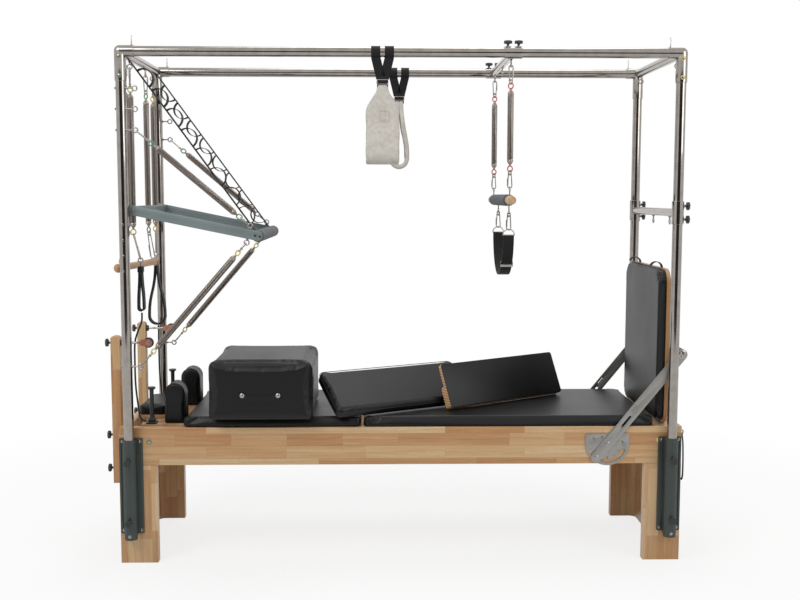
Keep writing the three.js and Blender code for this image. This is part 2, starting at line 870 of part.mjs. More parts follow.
/** One corner: an elbow sleeve over the post and the top tube. */
function elbow(sideX, sideY) {
  const x = sideX * postX;
  const y = sideY * postY;
  const reach = x - sideX * elbowReach;
  const down = rod(at(x, y, canopyHeight - elbowDrop), at(x, y, canopyHeight), sleeveRadius, pipeSides);
  const along = rod(at(reach, y, canopyHeight), at(x, y, canopyHeight), sleeveRadius, pipeSides);
  const cornerBall = new THREE.SphereGeometry(sleeveRadius, pipeSides, pipeSides / 3);
  cornerBall.translate(x, y, canopyHeight);
  const boreFoot = at(x, y, canopyHeight - elbowDrop - cutOverrun);
  const postBore = rod(boreFoot, at(x, y, postTop + seatGap), sleeveBore, pipeSides);
  const boreStart = at(reach - sideX * cutOverrun, y, canopyHeight);
  const tubeBore = rod(boreStart, at(sideX * (tubeEnd + seatGap), y, canopyHeight), sleeveBore, pipeSides);
  const pinX = reach + sideX * pinInset;
  const pinStart = at(pinX, y, canopyHeight + sleeveRadius - sink);
  const pin = rod(pinStart, at(pinX, y, canopyHeight + sleeveRadius + pinHeight), pinRadius, stemSides);
  return join([down, along, solidOf(cornerBall)]).subtract(postBore).subtract(tubeBore).add(pin);
}

/** An end of the canopy: two elbows, the end tube between them and its eyebolts. */
function canopyEnd(sideX, eyePlaces) {
  const x = sideX * postX;
  const inset = postY - sleeveRadius + sink;
  const tube = rod(at(x, -inset, canopyHeight), at(x, inset, canopyHeight), tubeRadius, pipeSides);
  const under = canopyHeight - tubeRadius;
  const eyes = eyePlaces.map(([y, axis]) => eyebolt(at(x, y, under), at(0, 0, -1), axis));
  return join([elbow(sideX, -1), elbow(sideX, 1), tube, ...eyes]);
}

const acrossX = at(1, 0, 0);
const acrossY = at(0, 1, 0);
const leftEyes = [
  ...armSpringPlaces.map((y) => [y, acrossY]),
  ...rollSpringPlaces.map((y) => [y, acrossX]),
];
piece('canopy_end_left', canopyEnd(-1, leftEyes), polishedSteel);
piece('canopy_end_right', canopyEnd(1, [[-trapezePlace, acrossY], [trapezePlace, acrossY]]), polishedSteel);

// Risers, pulleys and ropes

/** A wooden riser on the left end board, with the bolt and flange that carry the pulley. */
function riser(side) {
  const x = [-halfLength - seatGap - riserWidth, -halfLength - seatGap];
  const y = span(side, riserPlace - riserDepth / 2, riserPlace + riserDepth / 2);
  const wood = upright(roundedOutline(x[0], riserBottom, x[1], riserTop, riserCorner), y);
  const heights = [...riserKnobHeights, pulleyHeight];
  const knobs = heights.map((z) => starKnob(at(x[0], side * riserPlace, z), at(-1, 0, 0)));
  const boltStart = at(x[1] - sink, side * riserPlace, pulleyHeight);
  const flange = rod(boltStart, boltStart.clone().add(at(knobThickness, 0, 0)), knobRadius, barSides);
  const boltEnd = at(-halfLength + pulleySwivel, side * riserPlace, pulleyHeight);
  const bolt = rod(boltStart, boltEnd, knobStemRadius, stemSides);
  return join([wood, ...knobs, flange, bolt]);
}

/** A pulley block: a swivel stem and two cheeks on the wheel's axle. */
function pulleyBlock(side) {
  const y = side * riserPlace;
  const start = at(-halfLength + pulleySwivel + seatGap, y, pulleyHeight);
  const bridgeX = pulleyX - pulleyRadius - cheekMargin * 2;
  const stem = rod(start, at(bridgeX, y, pulleyHeight), knobStemRadius, stemSides);
  const half = pulleyThickness / 2 + seatGap;
  const cheekOutline = new THREE.Shape();
  cheekOutline.absarc(pulleyX, pulleyHeight, pulleyRadius - cheekMargin, -Math.PI / 2, Math.PI / 2);
  cheekOutline.lineTo(bridgeX - cheekMargin, pulleyHeight + pulleyRadius / 2);
  cheekOutline.lineTo(bridgeX - cheekMargin, pulleyHeight - pulleyRadius / 2);
  const cheeks = [[y - half - cheekThickness, y - half], [y + half, y + half + cheekThickness]];
  const sides = cheeks.map((stretch) => upright(cheekOutline, stretch));
  const bridgeY = [y - half - sink, y + half + sink];
  const bridgeZ = [pulleyHeight - pulleyRadius / 2, pulleyHeight + pulleyRadius / 2];
  const bridge = block([bridgeX - cheekMargin, bridgeX], bridgeY, bridgeZ);
  const axleY = [y - half - sink, y + half + sink];
  const axleEnds = axleY.map((place) => at(pulleyX, place, pulleyHeight));
  const axle = rod(...axleEnds, pulleyAxleRadius, barSides);
  return join([stem, ...sides, bridge, axle]);
}

/** A grooved pulley wheel. */
function pulleyWheel(side) {
  const half = pulleyThickness / 2;
  const lip = half / 3;
  const hole = pulleyAxleRadius + seatGap;
  const profile = [
    [hole, -half],
    [pulleyRadius, -half],
    [pulleyRadius, -half + lip],
    [pulleyRadius - pulleyGroove, 0],
    [pulleyRadius, half - lip],
    [pulleyRadius, half],
    [hole, half],
    [hole, -half],
  ];
  return turned(profile, at(pulleyX, side * riserPlace, pulleyHeight), at(0, 1, 0), pipeSides);
}

for (const [name, side] of [['front', -1], ['back', 1]]) {
  piece(`riser_${name}`, riser(side), lightWood);
  piece(`pulley_block_${name}`, pulleyBlock(side), polishedSteel);
  piece(`pulley_wheel_${name}`, pulleyWheel(side), blackPlastic);
}

// Each rope runs from under its foot loop down past its pulley to the rope post on the carriage.
const ropeRoutes = {
  front: [[-1123, -206, 1069], [-1124, -214, 1030], [-1140, -224, 985], [-1151, -230, 940],
    [-1152, -234, 860], [-1150, -238, 760], [-1142, -240, 680], [-1134, -240, 622],
    [-1119, -240, 601], [-1104.5, -240, 601]],
  back: [[-1151, 268, 955], [-1151, 273, 935], [-1152, 274, 890], [-1151, 270, 820],
    [-1148, 260, 740], [-1141, 248, 670], [-1134, 240, 622], [-1119, 240, 601], [-1104.5, 240, 601]],
};
for (const [name, route] of Object.entries(ropeRoutes)) {
  const curve = new THREE.CatmullRomCurve3(route.map((spot) => at(...spot)));
  piece(`rope_${name}`, swept(curve, ropeRadius, ropeSteps, ropeSides), blackRope);
}

// Push-through bar

/** Placing of the push-through bar: drawn level from its pivot, then let down to where it hangs. */
function pushBarPlacing() {
  const droop = THREE.MathUtils.degToRad(pushBarDroopAngle);
  const placing = new THREE.Matrix4().makeRotationY(droop);
  placing.setPosition(-postX, 0, pushPivotHeight);
  return placing;
}

/** The point on the push-through bar at a distance from its pivot and above its middle line. */
function onPushBar(along, y, above) {
  return at(along, y, above).applyMatrix4(pushBarPlacing());
}

/** The painted frame, its grip and the eyebolts for its four springs. */
function pushBar() {
  const half = pushArmDepth / 2;
  const arms = [-1, 1].map((side) => {
    const outline = roundedOutline(-half, -half, pushBarLength + half, half, half / 2);
    const y = span(side, pushArmInner, pushArmOuter);
    return pushed(outline, -y[1], -y[0], pushBarPlacing().multiply(standing()), loopSteps);
  });
  const crossY = [-pushArmInner - sink, pushArmInner + sink];
  const crossOutline = outlineOf([
    [pushCrossInset, -half],
    [pushCrossInset + pushCrossThickness, -half],
    [pushCrossInset + pushCrossThickness, half],
    [pushCrossInset, half],
  ]);
  const cross = pushed(crossOutline, crossY[0], crossY[1], pushBarPlacing().multiply(standing()));
  const gripEnd = pushArmInner + sink;
  const gripEnds = [-gripEnd, gripEnd].map((y) => onPushBar(pushBarLength, y, 0));
  const grip = rod(...gripEnds, gripRadius, barSides);
  const bolts = [-1, 1].map((side) => {
    const start = onPushBar(0, side * (pushArmOuter - sink), 0);
    return rod(start, onPushBar(0, side * (postInner - seatGap * 2), 0), pivotBoltRadius * 2, barSides);
  });
  const eyes = [];
  for (const side of [-1, 1]) {
    for (const way of [-1, 1]) {
      const middle = side * (pushArmInner + pushArmThickness / 2);
      const seat = onPushBar(pushBarLength - barEyeInset, middle, way * half);
      const direction = onPushBar(0, 0, way).sub(onPushBar(0, 0, 0)).normalize();
      eyes.push(eyebolt(seat, direction, acrossY, eyeShank / 2));
    }
  }
  return join([...arms, cross, grip, ...bolts, ...eyes]);
}

piece('push_bar', pushBar(), greyPaint);

/** The centre of one of the bar's eyes. */
function barEye(side, way) {
  const above = way * (pushArmDepth / 2 + eyeShank / 2 + eyeRadius);
  return onPushBar(pushBarLength - barEyeInset, side * (pushArmInner + pushArmThickness / 2), above);
}

/** The centre of an eye on a left post. */
function postEye(side, height) {
  return at(-postX + tubeRadius - eyeSeatDepth + postEyeReach + eyeRadius, side * postY, height);
}

/** A spring hooked between two eyes, by a long link at the first and a shorter one at the other. */
function hookedSpring(from, to, curls) {
  const along = to.clone().sub(from).normalize();
  const plane = at(0, 1, 0).cross(along).normalize();
  const grip = eyeRadius - hookReach;
  const start = from.clone().addScaledVector(along, grip);
  const end = to.clone().addScaledVector(along, -grip);
  const first = start.clone().addScaledVector(along, longHook);
  const last = end.clone().addScaledVector(along, -shortHook);
  const links = [
    link(start, first.clone().addScaledVector(along, springNeckRadius), plane),
    link(last.clone().addScaledVector(along, -springNeckRadius), end, plane),
  ];
  return join([...links, spring(first, last, curls)]);
}

for (const [name, side, curls] of [['front', -1, barSpringCurlCount], ['back', 1, 0]]) {
  const upper = hookedSpring(postEye(side, upperEyeHeights[0]), barEye(side, 1), curls);
  piece(`upper_spring_${name}`, upper, springSteel);
  const lower = hookedSpring(postEye(side, lowerEyeHeight), barEye(side, -1), curls);
  piece(`lower_spring_${name}`, lower, springSteel);
}

/** A safety strap with sewn hand loops, from the canopy's end tube to the push-through bar's grip. */
function safetyStrap(side) {
  const tube = at(-postX, 0, canopyHeight);
  const grip = onPushBar(pushBarLength, 0, 0);
  const along = grip.clone().sub(tube).normalize();
  const length = grip.distanceTo(tube) - tubeRadius - gripRadius - seatGap * 2;
  const start = tube.clone().addScaledVector(along, tubeRadius + seatGap);
  const away = along.clone().cross(at(0, 1, 0)).normalize().multiplyScalar(-side);
  const sideways = along.clone().cross(away);
  const frame = new THREE.Matrix4().makeBasis(along, away, sideways).setPosition(start);
  const pitch = (length - strapLead - strapTail) / strapLoopCount;
  const outer = pitch * strapLoopShare;
  const face = strapThickness / 2;
  const tape = new THREE.Shape();
  tape.moveTo(0, -face);
  tape.lineTo(length, -face);
  tape.lineTo(length, face);
  for (let i = strapLoopCount - 1; i >= 0; i -= 1) {
    tape.absellipse(strapLead + pitch * (i + 1 / 2), face, outer, outer, 0, Math.PI);
  }
  tape.lineTo(0, face);
  const inner = outer - strapThickness;
  for (let i = 0; i < strapLoopCount; i += 1) {
    const hole = new THREE.Path();
    hole.absellipse(strapLead + pitch * (i + 1 / 2), strapThickness, inner, inner - face, 0, Math.PI);
    tape.holes.push(hole);
  }
  const middle = strapPlace * side * Math.sign(sideways.y);
  return pushed(tape, middle - strapWidth / 2, middle + strapWidth / 2, frame, loopSteps);
}

piece('safety_strap_front', safetyStrap(-1), blackWebbing);
piece('safety_strap_back', safetyStrap(1), blackWebbing);

// Springs and loops at the left end

/** An end spring with its hooks, from its eye on the canopy down to the lower hook's end. */
function endSpring(y, bottomX, axis, hookBottom) {
  const top = at(-postX, y, endEyeHeight - eyeRadius + hookReach);
  const low = at(bottomX, y, hookBottom);
  const upperHook = link(top, at(-postX, y, endSpringTop - springNeckRadius), axis);
  const lowerHook = link(at(-postX, y, endSpringBottom + springNeckRadius), low, axis);
  return join([upperHook, spring(at(-postX, y, endSpringTop), at(-postX, y, endSpringBottom)), lowerHook]);
}

/** A webbing foot loop hung on its spring's lower hook. */
function footLoop(index, hookBottom) {
  const y = armSpringPlaces[index];
  const x = -postX + footLoopSwings[index];
  const top = hookBottom + hookReach;
  const bottom = footLoopBottoms[index];
  const width = footLoopWidths[index];
  const neck = footWebbingThickness + neckGap;
  const outline = teardrop(x, bottom, footLoopTops[index] - eyeRadius * 2, width, neck);
  const inner = teardrop(
    x,
    bottom + footWebbingThickness,
    footLoopTops[index] - eyeRadius * 5,
    width - footWebbingThickness * 2,
    neckGap,
  );
  const loop = upright(bandAround(outline, inner), [y - footWebbing / 2, y + footWebbing / 2]);
  const stemFoot = at(x, y, footLoopTops[index] - eyeRadius * 2 - sink);
  const stem = rod(stemFoot, at(x, y, top - eyeRadius * 2), eyeWire, stemSides);
  const ring = wireRing(at(x, y, top - eyeRadius), acrossY, eyeRadius, eyeWire);
  return join([loop, stem, ring]);
}

['front', 'back'].forEach((name, index) => {
  const hookBottom = footLoopTops[index] + eyeRadius;
  const y = armSpringPlaces[index];
  const bottomX = -postX + footLoopSwings[index];
  piece(`arm_spring_${name}`, endSpring(y, bottomX, acrossX, hookBottom), springSteel);
  piece(`foot_loop_${name}`, footLoop(index, hookBottom), blackWebbing);
});

/** The wooden roll-down bar with ball ends, hung on two springs. */
function rollDownBar() {
  const twist = THREE.MathUtils.degToRad(rollBarTwistAngle);
  const x = -postX + rollBarOffset[0];
  const y = rollBarOffset[1];
  const along = at(Math.sin(twist), Math.cos(twist), 0);
  const middle = at(x, y, rollBarHeight);
  const start = middle.clone().addScaledVector(along, -rollBarLength / 2);
  const end = middle.clone().addScaledVector(along, rollBarLength / 2);
  const parts = [rod(start, end, rollBarRadius, barSides)];
  for (const spot of [start, end]) {
    const ball = new THREE.SphereGeometry(rollBallRadius, barSides, barSides / 2);
    ball.translate(spot.x, spot.y, spot.z);
    parts.push(solidOf(ball));
  }
  for (const place of rollSpringPlaces) {
    const reach = (place - y) / Math.cos(twist);
    const limit = rollBarLength / 2 - rollBallRadius;
    const hold = middle.clone().addScaledVector(along, THREE.MathUtils.clamp(reach, -limit, limit));
    parts.push(endSpring(place, hold.x, acrossY, rollBarHeight + rollBarRadius - sink));
    parts.push(rod(at(hold.x, place, rollBarHeight + rollBarRadius), hold, eyeWire, stemSides));
  }
  return join(parts);
}

piece('roll_down_bar', rollDownBar(), lightWood);

// Footbar and its notched plates

/** The D-shaped plate: flat top, round bottom, and an arc slot with notches for the footbar's bolt. */
function footbarPlate(side) {
  const outline = new THREE.Shape();
  outline.moveTo(footPivotX - footPlateRadius, footPlateTop);
  outline.lineTo(footPivotX - footPlateRadius, footPivotHeight);
  outline.absarc(footPivotX, footPivotHeight, footPlateRadius, Math.PI, Math.PI * 2);
  outline.lineTo(footPivotX + footPlateRadius, footPlateTop);
  const slot = new THREE.Path();
  const from = Math.PI * footSlotShares.from;
  const to = Math.PI * footSlotShares.to;
  const outer = footSlotRadius + footSlotHalfWidth;
  const inner = footSlotRadius - footSlotHalfWidth;
  const spot = (radius, turn) => [
    footPivotX + radius * Math.cos(turn),
    footPivotHeight + radius * Math.sin(turn),
  ];
  slot.moveTo(...spot(outer, from));
  slot.absarc(footPivotX, footPivotHeight, outer, from, to);
  slot.lineTo(...spot(inner, to));
  const pitch = (to - from) / footNotchCount;
  for (let i = footNotchCount - 1; i >= 0; i -= 1) {
    const high = from + pitch * (i + footSlotShares.notchHigh);
    const low = from + pitch * (i + footSlotShares.notchLow);
    slot.lineTo(...spot(inner, high));
    slot.lineTo(...spot(inner - footNotchDepth, high));
    slot.lineTo(...spot(inner - footNotchDepth, low));
    slot.lineTo(...spot(inner, low));
  }
  slot.lineTo(...spot(inner, from));
  outline.holes.push(slot);
  const face = halfWidth + seatGap;
  return upright(outline, span(side, face, face + footPlateThickness));
}

piece('footbar_plate_front', footbarPlate(-1), greyPlate);
piece('footbar_plate_back', footbarPlate(1), greyPlate);

/** Placing of the footbar: drawn along X from its pivot, then raised to its angle. */
function footbarPlacing() {
  const placing = new THREE.Matrix4().makeRotationY(-THREE.MathUtils.degToRad(footArmAngle));
  placing.setPosition(footPivotX, 0, footPivotHeight);
  return placing;
}

/** Two flat arms with round ends, slots and bolts, and the cross tube between them. */
function footbar() {
  const half = footArmWidth / 2;
  const parts = [];
  for (const side of [-1, 1]) {
    const arm = new THREE.Shape();
    arm.absarc(footArmLength, 0, half, -Math.PI / 2, Math.PI / 2);
    arm.lineTo(-footSlotRadius, half);
    arm.absarc(-footSlotRadius, 0, half, Math.PI / 2, Math.PI * 1.5);
    const slotTop = footSlotWidth / 2;
    const slotEnd = footSlotStart + footSlotLength;
    const slot = roundedOutline(footSlotStart, -slotTop, slotEnd, slotTop, slotTop - sink);
    arm.holes.push(new THREE.Path(slot.getPoints(1)));
    const y = span(side, footArmInnerY, footArmOuterY);
    parts.push(pushed(arm, -y[1], -y[0], footbarPlacing().multiply(standing())));
    for (const along of [0, -footSlotRadius]) {
      const start = at(along, side * (footArmOuterY - sink), 0).applyMatrix4(footbarPlacing());
      const end = at(along, side * (footArmOuterY + footPlateThickness), 0).applyMatrix4(footbarPlacing());
      parts.push(rod(start, end, footBoltRadius, barSides));
    }
  }
  const gripY = footArmInnerY + sink;
  const start = at(footArmLength, -gripY, 0).applyMatrix4(footbarPlacing());
  const end = at(footArmLength, gripY, 0).applyMatrix4(footbarPlacing());
  parts.push(rod(start, end, footGripRadius, barSides));
  return join(parts);
}

piece('footbar', footbar(), greyPlate);

// Carriage springs inside the base

/** The bar across the base with the five carriage springs unhooked and lying forward of it. */
function springBar() {
  const z = trackTop - trackThickness - springBarDrop + springBarBlock;
  const end = railInner - seatGap;
  const parts = [rod(at(springBarX, -end, z), at(springBarX, end, z), springBarRadius, barSides)];
  for (let i = 0; i < carriageSpringCount; i += 1) {
    const y = (i - (carriageSpringCount - 1) / 2) * carriageSpringSpacing;
    parts.push(spring(at(springBarX + sink, y, z), at(springBarX - carriageSpringLength, y, z)));
  }
  return join(parts);
}

piece('spring_bar', springBar(), springSteel);

// Carriage

/** The sliding deck with its four wheels on axle stubs and the two rope posts. */
function carriageDeck() {
  const deckBottom = frameTop - deckThickness;
  const deckY = [-deckHalfWidth, deckHalfWidth];
  const parts = [block([carriageLeft, carriageRight], deckY, [deckBottom, frameTop])];
  const wheelZ = trackTop + seatGap + wheelRadius;
  for (const side of [-1, 1]) {
    for (const x of [carriageLeft + wheelInset, carriageRight - wheelInset]) {
      const inner = side * (deckHalfWidth - wheelWidth);
      const near = side * (railInner - trackWidth + sink);
      const far = side * (railInner - trackWidth + sink + wheelWidth);
      parts.push(rod(at(x, near, wheelZ), at(x, far, wheelZ), wheelRadius, barSides));
      parts.push(rod(at(x, inner, wheelZ), at(x, near + side * sink, wheelZ), knobStemRadius, stemSides));
      const lug = span(side, deckHalfWidth - wheelWidth, deckHalfWidth);
      const lugX = [x - wheelRadius / 2, x + wheelRadius / 2];
      parts.push(block(lugX, lug, [wheelZ - wheelRadius / 2, deckBottom + sink]));
    }
    parts.push(ropePost(side));
  }
  return join(parts);
}

/** A rope post: square foot, round stem and flanged top. */
function ropePost(side) {
  const y = side * (deckHalfWidth - ropePostBase / 2);
  const half = ropePostBase / 2;
  const footX = [ropePostX - half, ropePostX + half];
  const foot = block(footX, [y - half, y + half], [frameTop - sink, frameTop + half]);
  const profile = [
    [0, 0],
    [ropePostRadius * ropePostShares.foot, 0],
    [ropePostRadius, half],
    [ropePostRadius, ropePostHeight - half / 2],
    [ropePostRadius * ropePostShares.flange, ropePostHeight - half / 4],
    [ropePostRadius * ropePostShares.flange, ropePostHeight],
    [0, ropePostHeight],
  ];
  return foot.add(turned(profile, at(ropePostX, y, frameTop + half - sink), at(0, 0, 1)));
}

piece('carriage_deck', carriageDeck(), lightWood);
const padY = [-padHalfWidth, padHalfWidth];
const carriagePad = cushion(padX, padY, padBottom, padThickness, padCorner, padCrown);
piece('carriage_pad', carriagePad, blackLeather);

/** A shoulder rest: an upholstered block with a rounded top. */
function shoulderRest(side) {
  const x = [padLeft - seatGap - shoulderThickness, padLeft - seatGap];
  const y = span(side, shoulderInner, shoulderInner + shoulderWidth);
  const half = shoulderThickness / 2;
  const outline = new THREE.Shape();
  outline.moveTo(x[0], frameTop + seatGap);
  outline.lineTo(x[1], frameTop + seatGap);
  outline.absarc((x[0] + x[1]) / 2, frameTop + seatGap + shoulderHeight - half, half, 0, Math.PI);
  const geometry = new THREE.ExtrudeGeometry(outline, {
    depth: shoulderWidth - half / 2,
    bevelThickness: half / 4,
    bevelSize: half / 4,
    bevelOffset: -half / 4,
    bevelSegments: 2,
    curveSegments: arcSteps,
  });
  geometry.translate(0, 0, -y[1] + half / 4);
  geometry.applyMatrix4(standing());
  return solidOf(geometry);
}

piece('shoulder_rest_front', shoulderRest(-1), blackLeather);
piece('shoulder_rest_back', shoulderRest(1), blackLeather);

/** The headrest: a padded board hinged on the deck. */
function headrest() {
  const x = [headrestRight - headrestLength, headrestRight];
  const y = [-headrestWidth / 2, headrestWidth / 2];
  const base = frameTop + seatGap;
  const top = base + headrestBoard;
  const boardX = [x[0] + seatGap, x[1] - seatGap];
  const board = block(boardX, [y[0] + seatGap, y[1] - seatGap], [base, top + sink]);
  return board.add(cushion(x, y, top, headrestThickness, padCorner, padCrown));
}

piece('headrest', headrest(), blackLeather);

// Filler mat

const matBoardTop = matBottom - seatGap;
const matBoardX = [matLeft + padCorner, matRight - padCorner];
const matBoardY = [-matBoardHalfWidth, matBoardHalfWidth];
piece('mat_deck', block(matBoardX, matBoardY, [matBoardTop - matBoardThickness, matBoardTop]), lightWood);
const matPad = cushion([matLeft, matRight], padY, matBottom, padTop - matBottom, padCorner, padCrown);
piece('mat_pad', matPad, blackLeather);

// Jumpboard

/** The wooden panel that stands on the frame, with two webbing loops over its top edge. */
function jumpPanel() {
  const x = [jumpPanelRight - jumpPanelThickness, jumpPanelRight];
  const bottom = frameTop + seatGap;
  const outline = roundedOutline(-jumpHalfWidth, bottom, jumpHalfWidth, bottom + jumpHeight, jumpCorner);
  const parts = [crosswise(outline, x)];
  for (const y of [-jumpLoopPlace, jumpLoopPlace]) {
    const loop = new THREE.Shape();
    const centre = (x[0] + x[1]) / 2 - jumpLoopRadius + strapThickness / 2;
    const height = bottom + jumpHeight - sink;
    loop.absarc(centre, height, jumpLoopRadius, 0, Math.PI * jumpLoopTurnShare);
    loop.absarc(centre, height, jumpLoopRadius - strapThickness, Math.PI * jumpLoopTurnShare, 0, true);
    parts.push(upright(loop, [y - jumpLoopWidth / 2, y + jumpLoopWidth / 2]));
  }
  return join(parts);
}

piece('jumpboard_panel', jumpPanel(), lightWood);

/** Placing that stands a cushion drawn lying down on its edge, facing the left end. */
function jumpPadPlacing() {
  const right = jumpPanelRight - jumpPanelThickness - seatGap;
  return new THREE.Matrix4().makeBasis(at(0, 1, 0), at(0, 0, 1), at(-1, 0, 0)).setPosition(right, 0, 0);
}

const jumpPadZ = [frameTop + padLift * 2, frameTop + jumpHeight - seatGap];
const jumpPadY = [-jumpHalfWidth, jumpHalfWidth];
const jumpPad = cushion(jumpPadY, jumpPadZ, 0, jumpPadThickness, jumpCorner, padCrown, jumpPadPlacing());
piece('jumpboard_pad', jumpPad, blackLeather);

// Trolley and trapeze

/** The trolley: a sleeve on each top tube, the bar between them, star knobs and eyebolts. */
function trolley() {
  const outer = clampRadius;
  const x = [trolleyX - trolleySleeveLength / 2, trolleyX + trolleySleeveLength / 2];
  const reach = postY - sleeveRadius + sink;
  const barEnds = [-reach, reach].map((y) => at(trolleyX, y, canopyHeight));
  const parts = [rod(...barEnds, trolleyBarRadius, barSides)];
  for (const side of [-1, 1]) {
    const y = side * postY;
    const shell = rod(at(x[0], y, canopyHeight), at(x[1], y, canopyHeight), outer, pipeSides);
    const boreEnds = [x[0] - cutOverrun, x[1] + cutOverrun].map((end) => at(end, y, canopyHeight));
    const bore = rod(...boreEnds, sleeveBore, pipeSides);
    parts.push(shell.subtract(bore));
    for (const shift of [-trolleyKnobSpread, trolleyKnobSpread]) {
      parts.push(starKnob(at(trolleyX + shift, y, canopyHeight + outer - sink), at(0, 0, 1)));
    }
  }
  for (const y of [-trapezePlace, 0, trapezePlace]) {
    parts.push(eyebolt(at(trolleyX, y, canopyHeight - trolleyBarRadius), at(0, 0, -1), acrossX));
  }
  return join(parts);
}

piece('trolley_bar', trolley(), polishedSteel);

/** A trapeze spring, hooked on the trolley above and the bar below. */
function trapezeSpring(side) {
  const y = side * trapezePlace;
  const top = at(trolleyX, y, trolleyEye - eyeRadius + hookReach);
  const bottom = at(trolleyX, y, trapezeEyeTop + eyeRadius - hookReach);
  return join([
    link(top, at(trolleyX, y, trapezeSpringTop - springNeckRadius), acrossY),
    spring(at(trolleyX, y, trapezeSpringTop), at(trolleyX, y, trapezeSpringBottom), trapezeSpringCurlCount),
    link(at(trolleyX, y, trapezeSpringBottom + springNeckRadius), bottom, acrossY),
  ]);
}

piece('trapeze_spring_front', trapezeSpring(-1), springSteel);
piece('trapeze_spring_back', trapezeSpring(1), springSteel);

/** The trapeze bar: wooden ends, a foam body, eyes above for the springs and below for the sling. */
function trapezeBar() {
  const half = trapezeBarLength / 2;
  const grip = trapezeGripLength / 2;
  const round = trapezeBarRadius / 3;
  const profile = [
    [0, -half],
    [trapezeBarRadius - round, -half],
    [trapezeBarRadius, -half + round],
    [trapezeBarRadius, -grip],
    [trapezeGripRadius, -grip + round],
    [trapezeGripRadius, grip - round],
    [trapezeBarRadius, grip],
    [trapezeBarRadius, half - round],
    [trapezeBarRadius - round, half],
    [0, half],
  ];
  const parts = [turned(profile, at(trolleyX, 0, trapezeBarHeight), at(0, 1, 0), barSides)];
  const deep = trapezeGripRadius - trapezeBarRadius + sink;
  for (const y of [-trapezePlace, trapezePlace]) {
    const seat = at(trolleyX, y, trapezeBarHeight + trapezeGripRadius - deep);
    parts.push(eyebolt(seat, at(0, 0, 1), acrossX, eyeShank + deep));
  }
  for (const y of slingPlaces) {
    const seat = at(trolleyX, y, trapezeBarHeight - trapezeGripRadius + deep);
    parts.push(eyebolt(seat, at(0, 0, -1), acrossX, eyeShank + deep));
  }
  return join(parts);
}

piece('trapeze_bar', trapezeBar(), greyFoam);

/** The webbing sling under the trapeze bar: two hooks, two D-rings and a hanging bight. */
function trapezeSling() {
  const [near, far] = slingPlaces;
  const middle = (near + far) / 2;
  const half = (far - near) / 2;
  const depth = slingTop - slingBottom;
  const outer = new THREE.Shape();
  outer.moveTo(near - slingThickness / 2, slingTop);
  outer.absellipse(middle, slingTop, half + slingThickness / 2, depth, Math.PI, Math.PI * 2);
  outer.lineTo(far - slingThickness / 2, slingTop);
  const innerHalf = half - slingThickness / 2;
  outer.absellipse(middle, slingTop, innerHalf, depth - slingThickness, Math.PI * 2, Math.PI, true);
  const x = [trolleyX - slingWidth / 2, trolleyX + slingWidth / 2];
  const parts = [crosswise(outer, x)];
  for (const y of slingPlaces) {
    const top = at(trolleyX, y, trapezeEyeBottom - eyeRadius + hookReach);
    const ringCentre = slingTop + slingWidth / 4;
    const hookEnd = at(trolleyX, y, ringCentre + slingWidth / 4 - ringWire);
    parts.push(link(top, hookEnd, acrossY));
    const plate = new THREE.Shape();
    const plateRadius = slingWidth / 2 + ringWire;
    plate.absellipse(trolleyX, slingTop - ringWire, plateRadius, plateRadius, 0, Math.PI);
    parts.push(upright(plate, [y - ringWire / 2, y + ringWire / 2]));
  }
  return join(parts);
}

piece('trapeze_sling', trapezeSling(), blackWebbing);

// Fleece slings

/** A fleece sling: a doubled strap over the top tube, drawn together to a wide padded loop. */
function fleeceSling(index, side) {
  const x = fleeceX[index];
  const y = side * postY;
  const bore = tubeRadius + sleeveClearance * 2;
  const parts = [];
  for (const way of [-1, 1]) {
    const from = x + way * fleeceStrapSpread / 2;
    const shell = rod(
      at(from - fleeceStrapWidth / 2 * way, y, canopyHeight),
      at(from + fleeceStrapWidth / 2 * way, y, canopyHeight),
      bore + fleeceStrapThickness,
      pipeSides,
    );
    const cut = rod(
      at(from - fleeceStrapWidth * way, y, canopyHeight),
      at(from + fleeceStrapWidth * way, y, canopyHeight),
      bore,
      pipeSides,
    );
    const low = canopyHeight - bore - fleeceStrapThickness / 2;
    const half = fleeceStrapWidth / 2;
    const leg = outlineOf([
      [from - half, low],
      [x - half / 2 + way * half / 3, fleeceJoinHeight],
      [x + half / 2 + way * half / 3, fleeceJoinHeight],
      [from + half, low],
    ]);
    const legY = [y - fleeceStrapThickness / 2, y + fleeceStrapThickness / 2];
    parts.push(shell.subtract(cut), upright(leg, legY));
  }
  const neck = fleeceStrapWidth / 2;
  const neckZ = [fleeceTop - neck / 2, fleeceJoinHeight + sink];
  parts.push(block([x - neck, x + neck], [y - neck / 2, y + neck / 2], neckZ));
  const across = index === 0 ? y : x;
  const outer = teardrop(across, fleeceBottom, fleeceTop, fleeceDepth, neck / 2);
  const inner = teardrop(
    across,
    fleeceBottom + fleeceThickness,
    fleeceTop - fleeceDepth,
    fleeceDepth - fleeceThickness * 2,
    neckGap,
  );
  const band = bandAround(outer, inner);
  const half = fleeceFace / 2;
  parts.push(index === 0 ? crosswise(band, [x - half, x + half]) : upright(band, [y - half, y + half]));
  return join(parts);
}

piece('fleece_sling_front', fleeceSling(0, -1), whiteFleece);
piece('fleece_sling_back', fleeceSling(1, 1), whiteFleece);

// Lower cross bar

